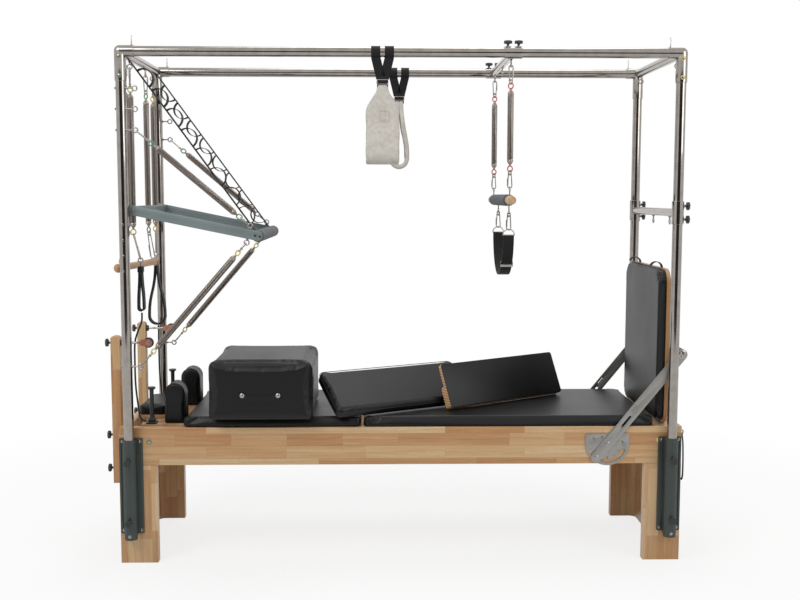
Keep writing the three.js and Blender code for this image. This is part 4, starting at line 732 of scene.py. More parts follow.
class Piece:
    """A piece under construction, drawn in millimetres and dressed in one finish."""

    def __init__(self, name: str, finish: Finish, body: str) -> None:
        """Starts an empty piece that will ride on a body.

        Args:
            name: the piece's name.
            finish: the finish that it is dressed in.
            body: the body that it rides on.
        """
        self.name = name
        self.finish = finish
        self.body = body
        self.mesh = bmesh.new()

    def _take(self, shape: bmesh.types.BMesh, placing: Matrix | None = None) -> None:
        """Moves a finished shape to its place and adds it to the piece.

        Args:
            shape: the shape; it is freed.
            placing: where it goes, or None where it is drawn in its place.
        """
        if placing:
            bmesh.ops.transform(shape, matrix=placing, verts=shape.verts)
        data = as_mesh("shape", shape)
        self.mesh.from_mesh(data)
        bpy.data.meshes.remove(data)

    def turned(self, profile: list[tuple[float, float]], start: Vector, direction: Vector,
               steps: int = 32) -> None:
        """Spins a profile of radius and distance about a direction.

        Args:
            profile: radius and distance of each point; it starts and ends on the axis, or closes.
            start: where distance 0 lies.
            direction: the axis, pointing to larger distances.
            steps: the number of flats around.
        """
        shape = bmesh.new()
        points = [shape.verts.new((radius, 0, height)) for radius, height in profile]
        edges = [shape.edges.new(pair) for pair in zip(points, points[1:])]
        bmesh.ops.spin(shape, geom=points + edges, cent=(0, 0, 0), axis=UP, angle=math.tau,
                       steps=steps, use_merge=True, use_duplicate=False)
        bmesh.ops.remove_doubles(shape, verts=shape.verts, dist=0.001)
        self._take(shape, aim(start, direction))

    def rod(self, start: Vector, end: Vector, radius: float, steps: int = 32,
            edge: float = 0.6) -> None:
        """A round bar between two points, with softened ends.

        Args:
            start: the middle of its first end.
            end: the middle of its last end.
            radius: its radius.
            steps: the number of flats around.
            edge: how far the ends are softened.
        """
        length = (end - start).length
        edge = min(edge, radius / 2, length / 3)
        profile = [(0, 0), (radius - edge, 0), (radius, edge), (radius, length - edge),
                   (radius - edge, length), (0, length)]
        self.turned(profile, start, end - start, steps)

    def pipe(self, start: Vector, end: Vector, radius: float, wall: float, steps: int = 48) -> None:
        """An open tube between two points.

        Args:
            start: the middle of its first end.
            end: the middle of its last end.
            radius: its outer radius.
            wall: its wall's thickness.
            steps: the number of flats around.
        """
        length = (end - start).length
        inner = radius - wall
        profile = [(inner, 0), (radius - 0.5, 0), (radius, 0.5), (radius, length - 0.5),
                   (radius - 0.5, length), (inner, length), (inner, 0)]
        self.turned(profile, start, end - start, steps)

    def sweep(self, path: list[Vector], width: float, thickness: float | None = None,
              sides: int = 10, across: Vector | None = None, closed: bool = False) -> None:
        """A tube or a flat band along a path.

        Args:
            path: the points of its middle line.
            width: the radius of a tube, or half the width of a band.
            thickness: half the thickness of a band, or None for a tube.
            sides: the number of flats around a tube.
            across: the direction of a band's width.
            closed: whether its end meets its start.
        """
        placings = frames_along(path, across, closed)
        shape = bmesh.new()
        corners = sides if thickness is None else 4
        ring = bmesh.ops.create_circle(shape, cap_ends=False, segments=corners, radius=1.0)["verts"]
        if thickness is None:
            section = Matrix.Diagonal((width, width, 1, 1))
        else:
            square = Matrix.Rotation(math.pi / 4, 4, "Z")
            section = Matrix.Diagonal((width * math.sqrt(2), thickness * math.sqrt(2), 1, 1)) @ square
        bmesh.ops.transform(shape, matrix=placings[0] @ section, verts=ring)
        first = list(shape.edges)
        edges = first
        for before, place in zip(placings, placings[1:]):
            made = bmesh.ops.extrude_edge_only(shape, edges=edges)["geom"]
            verts = only(made, bmesh.types.BMVert)
            new = set(verts)
            edges = [edge for edge in only(made, bmesh.types.BMEdge) if new.issuperset(edge.verts)]
            bmesh.ops.transform(shape, matrix=place @ before.inverted(), verts=verts)
        if closed:
            bmesh.ops.bridge_loops(shape, edges=edges + first)
        else:
            bmesh.ops.edgeloop_fill(shape, edges=first)
            bmesh.ops.edgeloop_fill(shape, edges=edges)
        self._take(shape)

    def helix(self, start: Vector, end: Vector, radius: float, wire: float, turns: int, steps: int) -> None:
        """A wound spring between two points, as one unbroken wire.

        Args:
            start: the middle of its first end.
            end: the middle of its last end.
            radius: the radius of the wire's middle line.
            wire: the wire's own radius.
            turns: about how many turns it has.
            steps: the number of steps in a turn.
        """
        sides = 6
        shape = bmesh.new()
        length = (end - start).length
        doublings = max(0, int(math.log2(turns / 5)))
        base = max(1, round(turns / 2 ** doublings))
        pitch = length / (base * 2 ** doublings)
        stand = Matrix.Translation((radius, 0, 0)) @ Matrix.Rotation(math.pi / 2, 4, "X")
        bmesh.ops.create_circle(shape, cap_ends=False, segments=sides, radius=wire, matrix=stand)
        bmesh.ops.spin(shape, geom=shape.verts[:] + shape.edges[:], cent=(0, 0, 0), axis=UP,
                       angle=math.tau * base, steps=base * steps, dvec=UP * (pitch / steps),
                       use_merge=False, use_duplicate=False)
        for i in range(doublings):
            whole = shape.verts[:] + shape.edges[:] + shape.faces[:]
            copied = bmesh.ops.duplicate(shape, geom=whole)["geom"]
            verts = only(copied, bmesh.types.BMVert)
            bmesh.ops.translate(shape, vec=UP * (pitch * base * 2 ** i), verts=verts)
            bmesh.ops.remove_doubles(shape, verts=shape.verts, dist=0.01)
        ends = [edge for edge in shape.edges if edge.is_boundary]
        bmesh.ops.holes_fill(shape, edges=ends, sides=sides)
        self._take(shape, aim(start, end - start))

    def ring(self, centre: Vector, axis: Vector, radius: float, wire: float) -> None:
        """A ring of round wire.

        Args:
            centre: its middle.
            axis: the direction that it faces.
            radius: the radius of the wire's middle line.
            wire: the wire's own radius.
        """
        shape = bmesh.new()
        stand = Matrix.Translation((radius, 0, 0)) @ Matrix.Rotation(math.pi / 2, 4, "X")
        bmesh.ops.create_circle(shape, cap_ends=False, segments=10, radius=wire, matrix=stand)
        bmesh.ops.spin(shape, geom=shape.verts[:] + shape.edges[:], cent=(0, 0, 0), axis=UP,
                       angle=math.tau, steps=28, use_merge=True, use_duplicate=False)
        self._take(shape, aim(centre, axis))

    def ball(self, centre: Vector, radius: float) -> None:
        """A ball.

        Args:
            centre: its middle.
            radius: its radius.
        """
        shape = bmesh.new()
        bmesh.ops.create_uvsphere(shape, u_segments=32, v_segments=16, radius=radius)
        self._take(shape, Matrix.Translation(centre))

    def block(self, corner: Vector, other: Vector, edge: float = 1.0, placing: Matrix | None = None) -> None:
        """A block between two opposite corners, with rounded edges.

        Args:
            corner: one corner.
            other: the opposite one.
            edge: how far the edges are rounded.
            placing: where the block goes, or None where it is drawn in its place.
        """
        shape = bmesh.new()
        reach = [abs(a - b) for a, b in zip(corner, other)]
        size = Matrix.Translation((corner + other) / 2) @ Matrix.Diagonal((*reach, 1))
        bmesh.ops.create_cube(shape, size=1, matrix=size)
        bmesh.ops.bevel(shape, geom=shape.edges[:], offset=edge, segments=2, profile=0.5, affect="EDGES",
                        material=-1)
        self._take(shape, placing)

    def slab(self, outline: list[tuple[float, float]], thickness: float, placing: Matrix,
             edge: float = 0.8, holes: tuple[list[tuple[float, float]], ...] = (),
             segments: int = 2) -> None:
        """A flat outline drawn in X and Y, extruded up Z, with softened rims.

        Args:
            outline: the corners in order.
            thickness: how far it is extruded.
            placing: where the drawing goes.
            edge: how far the rims are rounded.
            holes: further closed outlines, cut through.
            segments: the number of steps in the rounding.
        """
        shape = bmesh.new()
        loops = []
        for points in (outline, *holes):
            corners = [shape.verts.new((x, y, 0)) for x, y in points]
            loops += [shape.edges.new(pair) for pair in zip(corners, corners[1:] + corners[:1])]
        if holes:
            bmesh.ops.triangle_fill(shape, edges=loops, use_beauty=True)
        else:
            bmesh.ops.contextual_create(shape, geom=loops)
        made = bmesh.ops.extrude_face_region(shape, geom=shape.faces[:])["geom"]
        bmesh.ops.translate(shape, vec=(0, 0, thickness), verts=only(made, bmesh.types.BMVert))
        bmesh.ops.recalc_face_normals(shape, faces=shape.faces)
        rims = [e for e in shape.edges if e.is_manifold and abs(e.calc_face_angle()) > RIM_ANGLE
                and abs(e.verts[0].co.z - e.verts[1].co.z) < 0.001]
        bmesh.ops.bevel(shape, geom=rims, offset=edge, segments=segments, profile=0.5, affect="EDGES",
                        material=-1)
        self._take(shape, placing)

    def stamp(self, mesh: bpy.types.Mesh, placing: Matrix) -> None:
        """Adds a copy of a prepared mesh.

        Args:
            mesh: the prepared mesh.
            placing: where the copy goes.
        """
        shape = bmesh.new()
        shape.from_mesh(mesh)
        self._take(shape, placing)

    def shape_by(self, change: Callable[[Vector], Vector]) -> None:
        """Moves every point of the piece so far to where a change carries it."""
        for vertex in self.mesh.verts:
            vertex.co = change(vertex.co)

    def done(self, *nodes: str, soft: float | None = None) -> bpy.types.Object:
        """Finishes the piece: normals out, shading set, in its place, riding on its body.

        Args:
            nodes: the CAD nodes that it stands for.
            soft: the angle under which edges are shaded smooth, or None for the usual one.

        Returns:
            The finished object.
        """
        bmesh.ops.recalc_face_normals(self.mesh, faces=self.mesh.faces)
        bmesh.ops.scale(self.mesh, vec=(MILLIMETRE,) * 3, verts=self.mesh.verts)
        bmesh.ops.translate(self.mesh, vec=ORIGIN, verts=self.mesh.verts)
        data = as_mesh(self.name, self.mesh)
        data.shade_smooth()
        data.set_sharp_from_angle(angle=SMOOTH_ANGLE if soft is None else soft)
        data.materials.append(self.finish.material())
        made = linked(self.name, data)
        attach(made, self.body)
        if nodes:
            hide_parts(*nodes)
        log.info("%s: %d faces, on %s", self.name, len(data.polygons), self.body)
        return made


def arc(centre: tuple[float, float], radius: float, start: float, end: float,
        steps: int = 8) -> list[tuple[float, float]]:
    """Points on an arc between two angles in degrees."""
    turns = [math.radians(start + (end - start) * i / steps) for i in range(steps + 1)]
    return [(centre[0] + radius * math.cos(t), centre[1] + radius * math.sin(t)) for t in turns]


def rounded(low: tuple[float, float], high: tuple[float, float], radius: float,
            steps: int = 6) -> list[tuple[float, float]]:
    """A rectangle with round corners.

    Args:
        low: the lower left corner.
        high: the upper right corner.
        radius: the corners' radius.
        steps: the number of steps in a corner.

    Returns:
        The points in order.
    """
    points = arc((high[0] - radius, low[1] + radius), radius, -90, 0, steps)
    points += arc((high[0] - radius, high[1] - radius), radius, 0, 90, steps)
    points += arc((low[0] + radius, high[1] - radius), radius, 90, 180, steps)
    return points + arc((low[0] + radius, low[1] + radius), radius, 180, 270, steps)


def smooth_path(points: list[Vector], steps: int) -> list[Vector]:
    """A curve through points, as a thin strip would bend.

    Args:
        points: the points that it passes.
        steps: the number of steps between each two.

    Returns:
        The points of the curve.
    """
    result = []
    line = [points[0] * 2 - points[1], *points, points[-1] * 2 - points[-2]]
    for p0, p1, p2, p3 in zip(line, line[1:], line[2:], line[3:]):
        for j in range(steps):
            t = j / steps
            result.append(0.5 * ((2 * p1) + (p2 - p0) * t + (2 * p0 - 5 * p1 + 4 * p2 - p3) * t * t
                                 + (3 * p1 - p0 - 3 * p2 + p3) * t * t * t))
    return [*result, points[-1]]


@dataclass
class Parts:
    """Small hardware that is stamped many times, prepared once."""

    knob_radius: float = 17.5
    knob_thickness: float = 12.0
    knob_lobes: int = 7
    stem_radius: float = 5.0
    stem_length: float = 12.0
    eye_radius: float = 10.0
    eye_wire: float = 3.0
    screw_radius: float = 5.5
    made: dict = field(default_factory=dict)

    def _keep(self, name: str, piece: Piece) -> bpy.types.Mesh:
        """Keeps a prepared mesh under a name.

        Args:
            name: the part's name.
            piece: the piece that it was drawn as.

        Returns:
            The mesh.
        """
        bmesh.ops.recalc_face_normals(piece.mesh, faces=piece.mesh.faces)
        self.made[name] = as_mesh(name, piece.mesh)
        return self.made[name]

    def star(self) -> bpy.types.Mesh:
        """A lobed knob, drawn up Z with its stem's foot at the origin.

        Returns:
            The mesh, made at the first call.
        """
        if "star" in self.made:
            return self.made["star"]
        piece = Piece("star", KNOB, "frame")
        steps = self.knob_lobes * 8
        outline = []
        for i in range(steps):
            turn = math.tau * i / steps
            radius = self.knob_radius * (0.91 + 0.09 * math.cos(turn * self.knob_lobes))
            outline.append((radius * math.cos(turn), radius * math.sin(turn)))
        placing = Matrix.Translation((0, 0, self.stem_length))
        piece.slab(outline, self.knob_thickness, placing, edge=2.2, segments=3)
        cap = self.stem_length + self.knob_thickness
        piece.turned([(0, cap - 1), (6.4, cap - 1), (6.4, cap + 0.6), (5.4, cap + 1.4), (0, cap + 1.4)],
                     Vector(), UP, 24)
        stem, length = self.stem_radius, self.stem_length
        piece.turned([(0, 0), (stem + 1.6, 0), (stem + 1.6, 2), (stem, 2.6), (stem, length - 4),
                      (stem + 2.4, length + 0.5), (0, length + 0.5)], Vector(), UP, 20)
        return self._keep("star", piece)

    def screw(self) -> bpy.types.Mesh:
        """A pan head with a cross recess and a washer, drawn up Z from its seat.

        Returns:
            The mesh, made at the first call.
        """
        if "screw" in self.made:
            return self.made["screw"]
        piece = Piece("screw", HARDWARE, "frame")
        radius = self.screw_radius
        piece.turned([(0, -0.4), (radius * 1.25, -0.4), (radius * 1.25, 0.5), (radius, 0.6),
                      (radius * 0.92, 1.5), (radius * 0.6, 2.3), (radius * 0.42, 2.4),
                      (radius * 0.3, 1.5), (0, 1.5)], Vector(), UP, 24)
        return self._keep("screw", piece)

    def eye(self, shank: float) -> bpy.types.Mesh:
        """An eyebolt drawn up Z from its seat, its ring square to X.

        Args:
            shank: the length of the shank below the ring.

        Returns:
            The mesh, made at the first call for that length.
        """
        name = f"eye_{shank:g}"
        if name in self.made:
            return self.made[name]
        piece = Piece(name, HARDWARE, "frame")
        piece.turned([(0, -0.5), (7.5, -0.5), (7.5, 0.6), (6.6, 1.2), (5.6, 1.2), (5.6, 4.6), (5.0, 5.2),
                      (self.eye_wire, 5.2), (self.eye_wire, shank + 1), (0, shank + 1)], Vector(), UP, 16)
        piece.ring(at(0, 0, shank + self.eye_radius), ALONG, self.eye_radius, self.eye_wire)
        return self._keep(name, piece)


PARTS = Parts()


def eye_placing(seat: Vector, direction: Vector, axis: Vector) -> Matrix:
    """The placing of an eyebolt on its seat, its ring square to an axis.

    Args:
        seat: the middle of its seat.
        direction: the way that its shank points.
        axis: the direction that the ring faces.

    Returns:
        The placing.
    """
    up = direction.normalized()
    across = (axis - up * axis.dot(up)).normalized()
    return Matrix.Translation(seat) @ Matrix((across, up.cross(across), up)).transposed().to_4x4()


@dataclass
class Studio:
    """The camera at the photograph's viewing angle, the floor, the lamps and the white ground."""

    camera_place: tuple[float, float, float] = (-108.1, -4806.2, 1572.7)
    yaw: float = 0.0223
    pitch: float = 0.0974
    roll: float = 0.0013
    lens: float = 47.84
    floor_radius: float = 30.0
    floor_colour: tuple[float, ...] = (0.86, 0.86, 0.86, 1.0)
    floor_glow: float = 0.8
    floor_fade: tuple[float, float] = (1.2, 3.2)
    lamp_target: tuple[float, float, float] = (0.0, 0.0, 0.9)
    soft_light: float = 0.42
    card_colour: tuple[float, ...] = (0.05, 0.048, 0.046, 1.0)
    card_middle: float = 1.428
    card_distance: float = 7.5
    card_width: float = 9.0
    card_height: float = 3.4

    def camera(self) -> None:
        """Sets up the camera."""
        data = bpy.data.cameras.new("photograph_view")
        data.lens = self.lens
        data.sensor_width = 36.0
        made = linked("photograph_view", data)
        turn = Matrix.Rotation(-self.yaw, 4, "Z") @ Matrix.Rotation(math.pi / 2 - self.pitch, 4, "X")
        made.matrix_world = Matrix.Translation(placed(Vector(self.camera_place))) @ turn \
            @ Matrix.Rotation(self.roll, 4, "Z")
        bpy.context.scene.camera = made

    def seen(self, nodes: Nodes) -> bpy.types.NodeSocket:
        """A factor that is 1 for rays of the camera, of mirrors and of glass.

        Args:
            nodes: the tree that it is written in.

        Returns:
            The factor.
        """
        path = nodes.node("ShaderNodeLightPath").outputs
        mirrors = nodes.math("MAXIMUM", path["Is Camera Ray"], path["Is Glossy Ray"])
        return nodes.math("MAXIMUM", mirrors, path["Is Transmission Ray"])

    def prop(self, name: str, shape: bmesh.types.BMesh) -> tuple[bpy.types.Object, Nodes]:
        """A piece of the stage with an empty material.

        Args:
            name: its name.
            shape: its shape; it is freed.

        Returns:
            The object and its material's tree.
        """
        made = linked(name, as_mesh(name, shape))
        material = bpy.data.materials.new(f"{name}_paint")
        made.data.materials.append(material)
        nodes = Nodes(material)
        nodes.tree.nodes.clear()
        return made, nodes

    def floor(self) -> None:
        """A pale round floor that keeps the table's shadow and is plain white farther out."""
        shape = bmesh.new()
        bmesh.ops.create_circle(shape, cap_ends=True, segments=96, radius=self.floor_radius)
        nodes = self.prop("floor", shape)[1]
        paint = nodes.node("ShaderNodeBsdfDiffuse", self.floor_colour).outputs["BSDF"]
        glow = nodes.node("ShaderNodeEmission", WHITE).outputs["Emission"]
        place = nodes.node("ShaderNodeTexCoord").outputs["Object"]
        reach = nodes.node("ShaderNodeVectorMath", place, operation="LENGTH").outputs["Value"]
        fade = nodes.node("ShaderNodeMapRange", reach, *self.floor_fade, self.floor_glow).outputs["Result"]
        share = nodes.math("MULTIPLY", self.seen(nodes), fade)
        blend = nodes.node("ShaderNodeMixShader", share, paint, glow).outputs["Shader"]
        nodes.node("ShaderNodeOutputMaterial", blend)

    def card(self) -> None:
        """A dark studio card before the table, which only polished surfaces show."""
        shape = bmesh.new()
        bmesh.ops.create_grid(shape, x_segments=1, y_segments=1, size=0.5)
        spot = Matrix.Translation((0, -self.card_distance, self.card_middle))
        size = Matrix.Diagonal((self.card_width, self.card_height, 1, 1))
        bmesh.ops.transform(shape, matrix=spot @ upright(0) @ size, verts=shape.verts)
        made, nodes = self.prop("front_card", shape)
        nodes.node("ShaderNodeOutputMaterial", nodes.node("ShaderNodeEmission", self.card_colour).outputs[0])
        made.visible_camera = False
        made.visible_diffuse = False
        made.visible_shadow = False

    def world(self) -> None:
        """A white ground for the camera and for mirrors, and a soft even light for the rest."""
        world = bpy.data.worlds.new("white_studio")
        bpy.context.scene.world = world
        nodes = Nodes(world)
        nodes.tree.nodes.clear()
        soft = nodes.node("ShaderNodeBackground", WHITE, self.soft_light).outputs["Background"]
        white = nodes.node("ShaderNodeBackground", WHITE, 1.0).outputs["Background"]
        blend = nodes.node("ShaderNodeMixShader", self.seen(nodes), soft, white).outputs["Shader"]
        nodes.node("ShaderNodeOutputWorld", blend)

    def lamp(self, name: str, place: tuple[float, float, float], size: float, power: float) -> None:
        """A square softbox that faces the middle of the table.

        Args:
            name: the lamp's name.
            place: its middle, in metres.
            size: the length of a side, in metres.
            power: its power, in watts.
        """
        data = bpy.data.lights.new(name, "AREA")
        data.size = size
        data.energy = power
        spot = Vector(place)
        turn = (Vector(self.lamp_target) - spot).to_track_quat("-Z", "Y").to_matrix().to_4x4()
        linked(name, data).matrix_world = Matrix.Translation(spot) @ turn

    def build(self) -> None:
        """Builds the whole studio."""
        bpy.context.scene.view_settings.view_transform = "Standard"
        self.camera()
        self.floor()
        self.card()
        self.world()
        self.lamp("key_lamp", (-3.2, -3.6, 4.6), 2.6, 130)
        self.lamp("fill_lamp", (3.6, -3.0, 3.0), 2.4, 56)
        self.lamp("top_lamp", (0.4, 1.2, 5.4), 3.0, 92)


HALF_LENGTH = 1205.0
HALF_WIDTH = 338.0
BOARD = 38.0
FRAME_TOP = 590.0
RAIL_BOTTOM = 428.0
POST_X = 1153.0
POST_Y = 370.0
CANOPY = 2160.0
TUBE_RADIUS = 21.0
SEAT_GAP = 0.3


def eyebolt(piece: Piece, seat: Vector, direction: Vector, axis: Vector, shank: float = 12.0) -> None:
    """Stamps an eyebolt into a piece."""
    piece.stamp(PARTS.eye(shank), eye_placing(seat, direction, axis))


def softened(node: str, finish: Finish, edge: float) -> bpy.types.Object:
    """Stands a merged copy with rounded edges in place of a CAD node.

    Args:
        node: the CAD node.
        finish: what it is made of.
        edge: how far its sharp edges are rounded, in millimetres.

    Returns:
        The finished object.
    """
    source = frame["nodes"][node]
    mesh = bmesh.new()
    mesh.from_mesh(source.data)
    bmesh.ops.remove_doubles(mesh, verts=mesh.verts, dist=0.00002)
    bmesh.ops.dissolve_limit(mesh, angle_limit=math.radians(0.5), verts=mesh.verts, edges=mesh.edges)
    bmesh.ops.recalc_face_normals(mesh, faces=mesh.faces)
    data = as_mesh(f"{node}_soft", mesh)
    data.shade_smooth()
    data.materials.clear()
    data.materials.append(finish.material())
    made = linked(f"{node}_soft", data)
    rounding = made.modifiers.new("rounded_edges", "BEVEL")
    rounding.width = edge * MILLIMETRE
    rounding.segments = 3
    rounding.limit_method = "ANGLE"
    rounding.angle_limit = math.radians(35)
    rounding.harden_normals = True
    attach(made, source["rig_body"])
    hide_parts(node)
    return made


@dataclass
class WoodenBase:
    """The rails, the ends with their legs, the plugs over the frame bolts and the feet's strips."""

    leg_width: float = 158.0
    cove: float = 30.0
    edge: float = 2.5
    cleat: tuple[float, float] = (40.0, 30.0)
    strip_inset: float = 4.0
    strip_thickness: float = 3.0
    plug_places: tuple[float, float] = (-1076.0, 1107.0)
    plug_height: float = 530.0

    def plan(self, way: int) -> list[tuple[float, float]]:
        """The plan of an end: two legs and the end board between them, with coved corners.

        Args:
            way: -1 at the left end and 1 at the right.

        Returns:
            The corners in order.
        """
        rail = HALF_WIDTH - BOARD
        board = HALF_LENGTH - BOARD
        leg = HALF_LENGTH - self.leg_width
        half = [(board, 0.0)] + arc((board - self.cove, rail - self.cove), self.cove, 0, 90)
        half += [(leg, rail), (leg, HALF_WIDTH), (HALF_LENGTH, HALF_WIDTH)]
        other = [(x, -y) for x, y in reversed(half)]
        return [(way * x, y) for x, y in half + other[:-1]]

    def end(self, end: End) -> None:
        """One end of the base.

        Args:
            end: the end of the table that it is at.
        """
        piece = Piece(f"base_end_{end.word}", LEG_WOOD, "frame")
        way = end.value
        piece.slab(self.plan(way), RAIL_BOTTOM - SEAT_GAP, Matrix(), self.edge)
        inner = HALF_WIDTH - BOARD - SEAT_GAP
        piece.block(at(way * (HALF_LENGTH - BOARD), -inner, RAIL_BOTTOM - 1),
                    at(way * HALF_LENGTH, inner, FRAME_TOP), self.edge)
        if end is End.RIGHT:
            face = HALF_LENGTH - BOARD
            piece.block(at(face - self.cleat[0], -inner, FRAME_TOP - self.cleat[1]),
                        at(face + 1, inner, FRAME_TOP), 2)
        piece.done(f"end_frame_{end.word}")
        strip = Piece(f"foot_strips_{end.word}", RUBBER, "frame")
        inset = self.strip_inset
        for side in Side:
            near = at(way * (HALF_LENGTH - self.leg_width + inset),
                      side.value * (HALF_WIDTH - BOARD + inset), 0)
            far = at(way * (HALF_LENGTH - inset), side.value * (HALF_WIDTH - inset), self.strip_thickness)
            strip.block(near, far, 0.8)
        strip.done()

    def plug(self, side: Side, end: End, paint: Finish) -> None:
        """A coloured cap round the frame bolt's pale middle.

        Args:
            side: the side of the table that it is on.
            end: the end of the table that it is at.
            paint: the cap's finish.
        """
        x = self.plug_places[0 if end is End.LEFT else 1]
        out = ACROSS * side.value
        seat = at(x, side.value * (HALF_WIDTH - 0.6), self.plug_height)
        rim = Piece(f"plug_rim_{side.word}_{end.word}", paint, "frame")
        rim.turned([(6.4, 0), (11.4, 0), (11.4, 1.6), (10.4, 2.4), (7.4, 2.4), (6.4, 1.4), (6.4, 0)],
                   seat, out)
        rim.done()
        cap = Piece(f"plug_middle_{side.word}_{end.word}", HARDWARE, "frame")
        cap.turned([(0, 0), (6.6, 0), (6.6, 1.6), (5.4, 2.1), (2.6, 2.2), (2.2, 1.2), (0, 1.2)], seat, out)
        cap.done()

    def right_hand_eye(self) -> None:
        """The eyebolt on the right end board, with a ring and a short strap."""
        seat = at(HALF_LENGTH - 0.5, -HALF_WIDTH + BOARD + 50, 546)
        piece = Piece("end_eyebolt", HARDWARE, "frame")
        eyebolt(piece, seat, ALONG, ACROSS)
        piece.done()
        hung = seat + ALONG * 24 - UP * 6
        strap = Piece("end_strap", STRAP, "frame")
        path = smooth_path([hung + ALONG * 3, hung + ALONG * 9 - UP * 60, hung + ALONG * 10 - UP * 190,
                            hung - ALONG * 2 - UP * 192, hung - ALONG * 4 - UP * 60, hung - ALONG * 1], 5)
        strap.sweep(path, 9, 0.9, across=ACROSS)
        strap.done()

    def build(self) -> None:
        """Builds the base."""
        for side in Side:
            softened(f"side_rail_{side.word}", RAIL_WOOD, self.edge)
        for end in End:
            self.end(end)
        for side in Side:
            self.plug(side, End.LEFT, GREEN)
            self.plug(side, End.RIGHT, YELLOW)
        self.right_hand_eye()


@dataclass
class PostSockets:
    """The four painted sockets: plate, tube with ribs, screws and two star knobs each."""

    half_plate: float = 50.0
    plate: float = 5.0
    bottom: float = 133.0
    top: float = 546.0
    tube_bottom: float = 116.0
    radius: float = 27.0
    bore: float = 21.6
    rib_places: tuple[float, ...] = (-42.0, -34.0, 34.0, 42.0)
    knob_heights: tuple[float, float] = (195.0, 455.0)

    def socket(self, side: Side, end: End) -> None:
        """One socket with its hardware.

        Args:
            side: the side of the table that it is on.
            end: the end of the table that it is at.
        """
        x = end.value * POST_X
        y = side.value * POST_Y
        face = side.value * (HALF_WIDTH + SEAT_GAP)
        skin = face + side.value * self.plate
        word = f"{side.word}_{end.word}"
        piece = Piece(f"socket_{word}", SOCKET_PAINT, "frame")
        outline = rounded((x - self.half_plate, self.bottom), (x + self.half_plate, self.top), 5)
        piece.slab(outline, self.plate, upright(max(face, skin)), 0.8)
        piece.pipe(at(x, y, self.tube_bottom), at(x, y, self.top), self.radius, self.radius - self.bore)
        piece.rod(at(x, y, self.tube_bottom + 0.5), at(x, y, self.tube_bottom + 4.5), self.bore + 0.2)
        root = skin - side.value * 0.5
        for way in (-1, 1):
            piece.block(at(x + way * (self.radius - 5), root, self.bottom),
                        at(x + way * (self.radius - 0.4), y, self.top), 1)
        for place in self.rib_places:
            piece.block(at(x + place - 1.2, root, self.bottom + 1),
                        at(x + place + 1.2, skin + side.value * 3, self.top - 1), 0.8)
        for turn in range(-60, 61, 20):
            lean = math.radians(turn)
            spot = at(x + self.radius * math.sin(lean), y + side.value * self.radius * math.cos(lean), 0)
            piece.rod(spot + at(0, 0, self.tube_bottom + 1), spot + at(0, 0, self.top - 1), 0.9, 10, 0.3)
        piece.done(f"post_socket_{word}")
        self.hardware(side, x, y, skin, word)

    def hardware(self, side: Side, x: float, y: float, skin: float, word: str) -> None:
        """The screws of one socket, and its knobs.

        Args:
            side: the side of the table that it is on.
            x: the post's place along the table.
            y: the post's place across the table.
            skin: the place across the table of the plate's outer face.
            word: the word that the pieces' names end with.
        """
        out = ACROSS * side.value
        screws = Piece(f"socket_screws_{word}", HARDWARE, "frame")
        for shift in (-38, 38):
            for height in (self.bottom + 14, self.top - 12):
                screws.stamp(PARTS.screw(), aim(at(x + shift, skin, height), out))
        foot = at(x, y + side.value * self.radius, self.tube_bottom + 18)
        screws.stamp(PARTS.screw(), aim(foot, out))
        screws.done()
        knobs = Piece(f"socket_knobs_{word}", KNOB, "frame")
        for height in self.knob_heights:
            seat = at(x, y + side.value * self.radius, height)
            knobs.stamp(PARTS.star(), aim(seat, out))
        knobs.done()

    def build(self) -> None:
        """Builds the four sockets."""
        for side in Side:
            for end in End:
                self.socket(side, end)


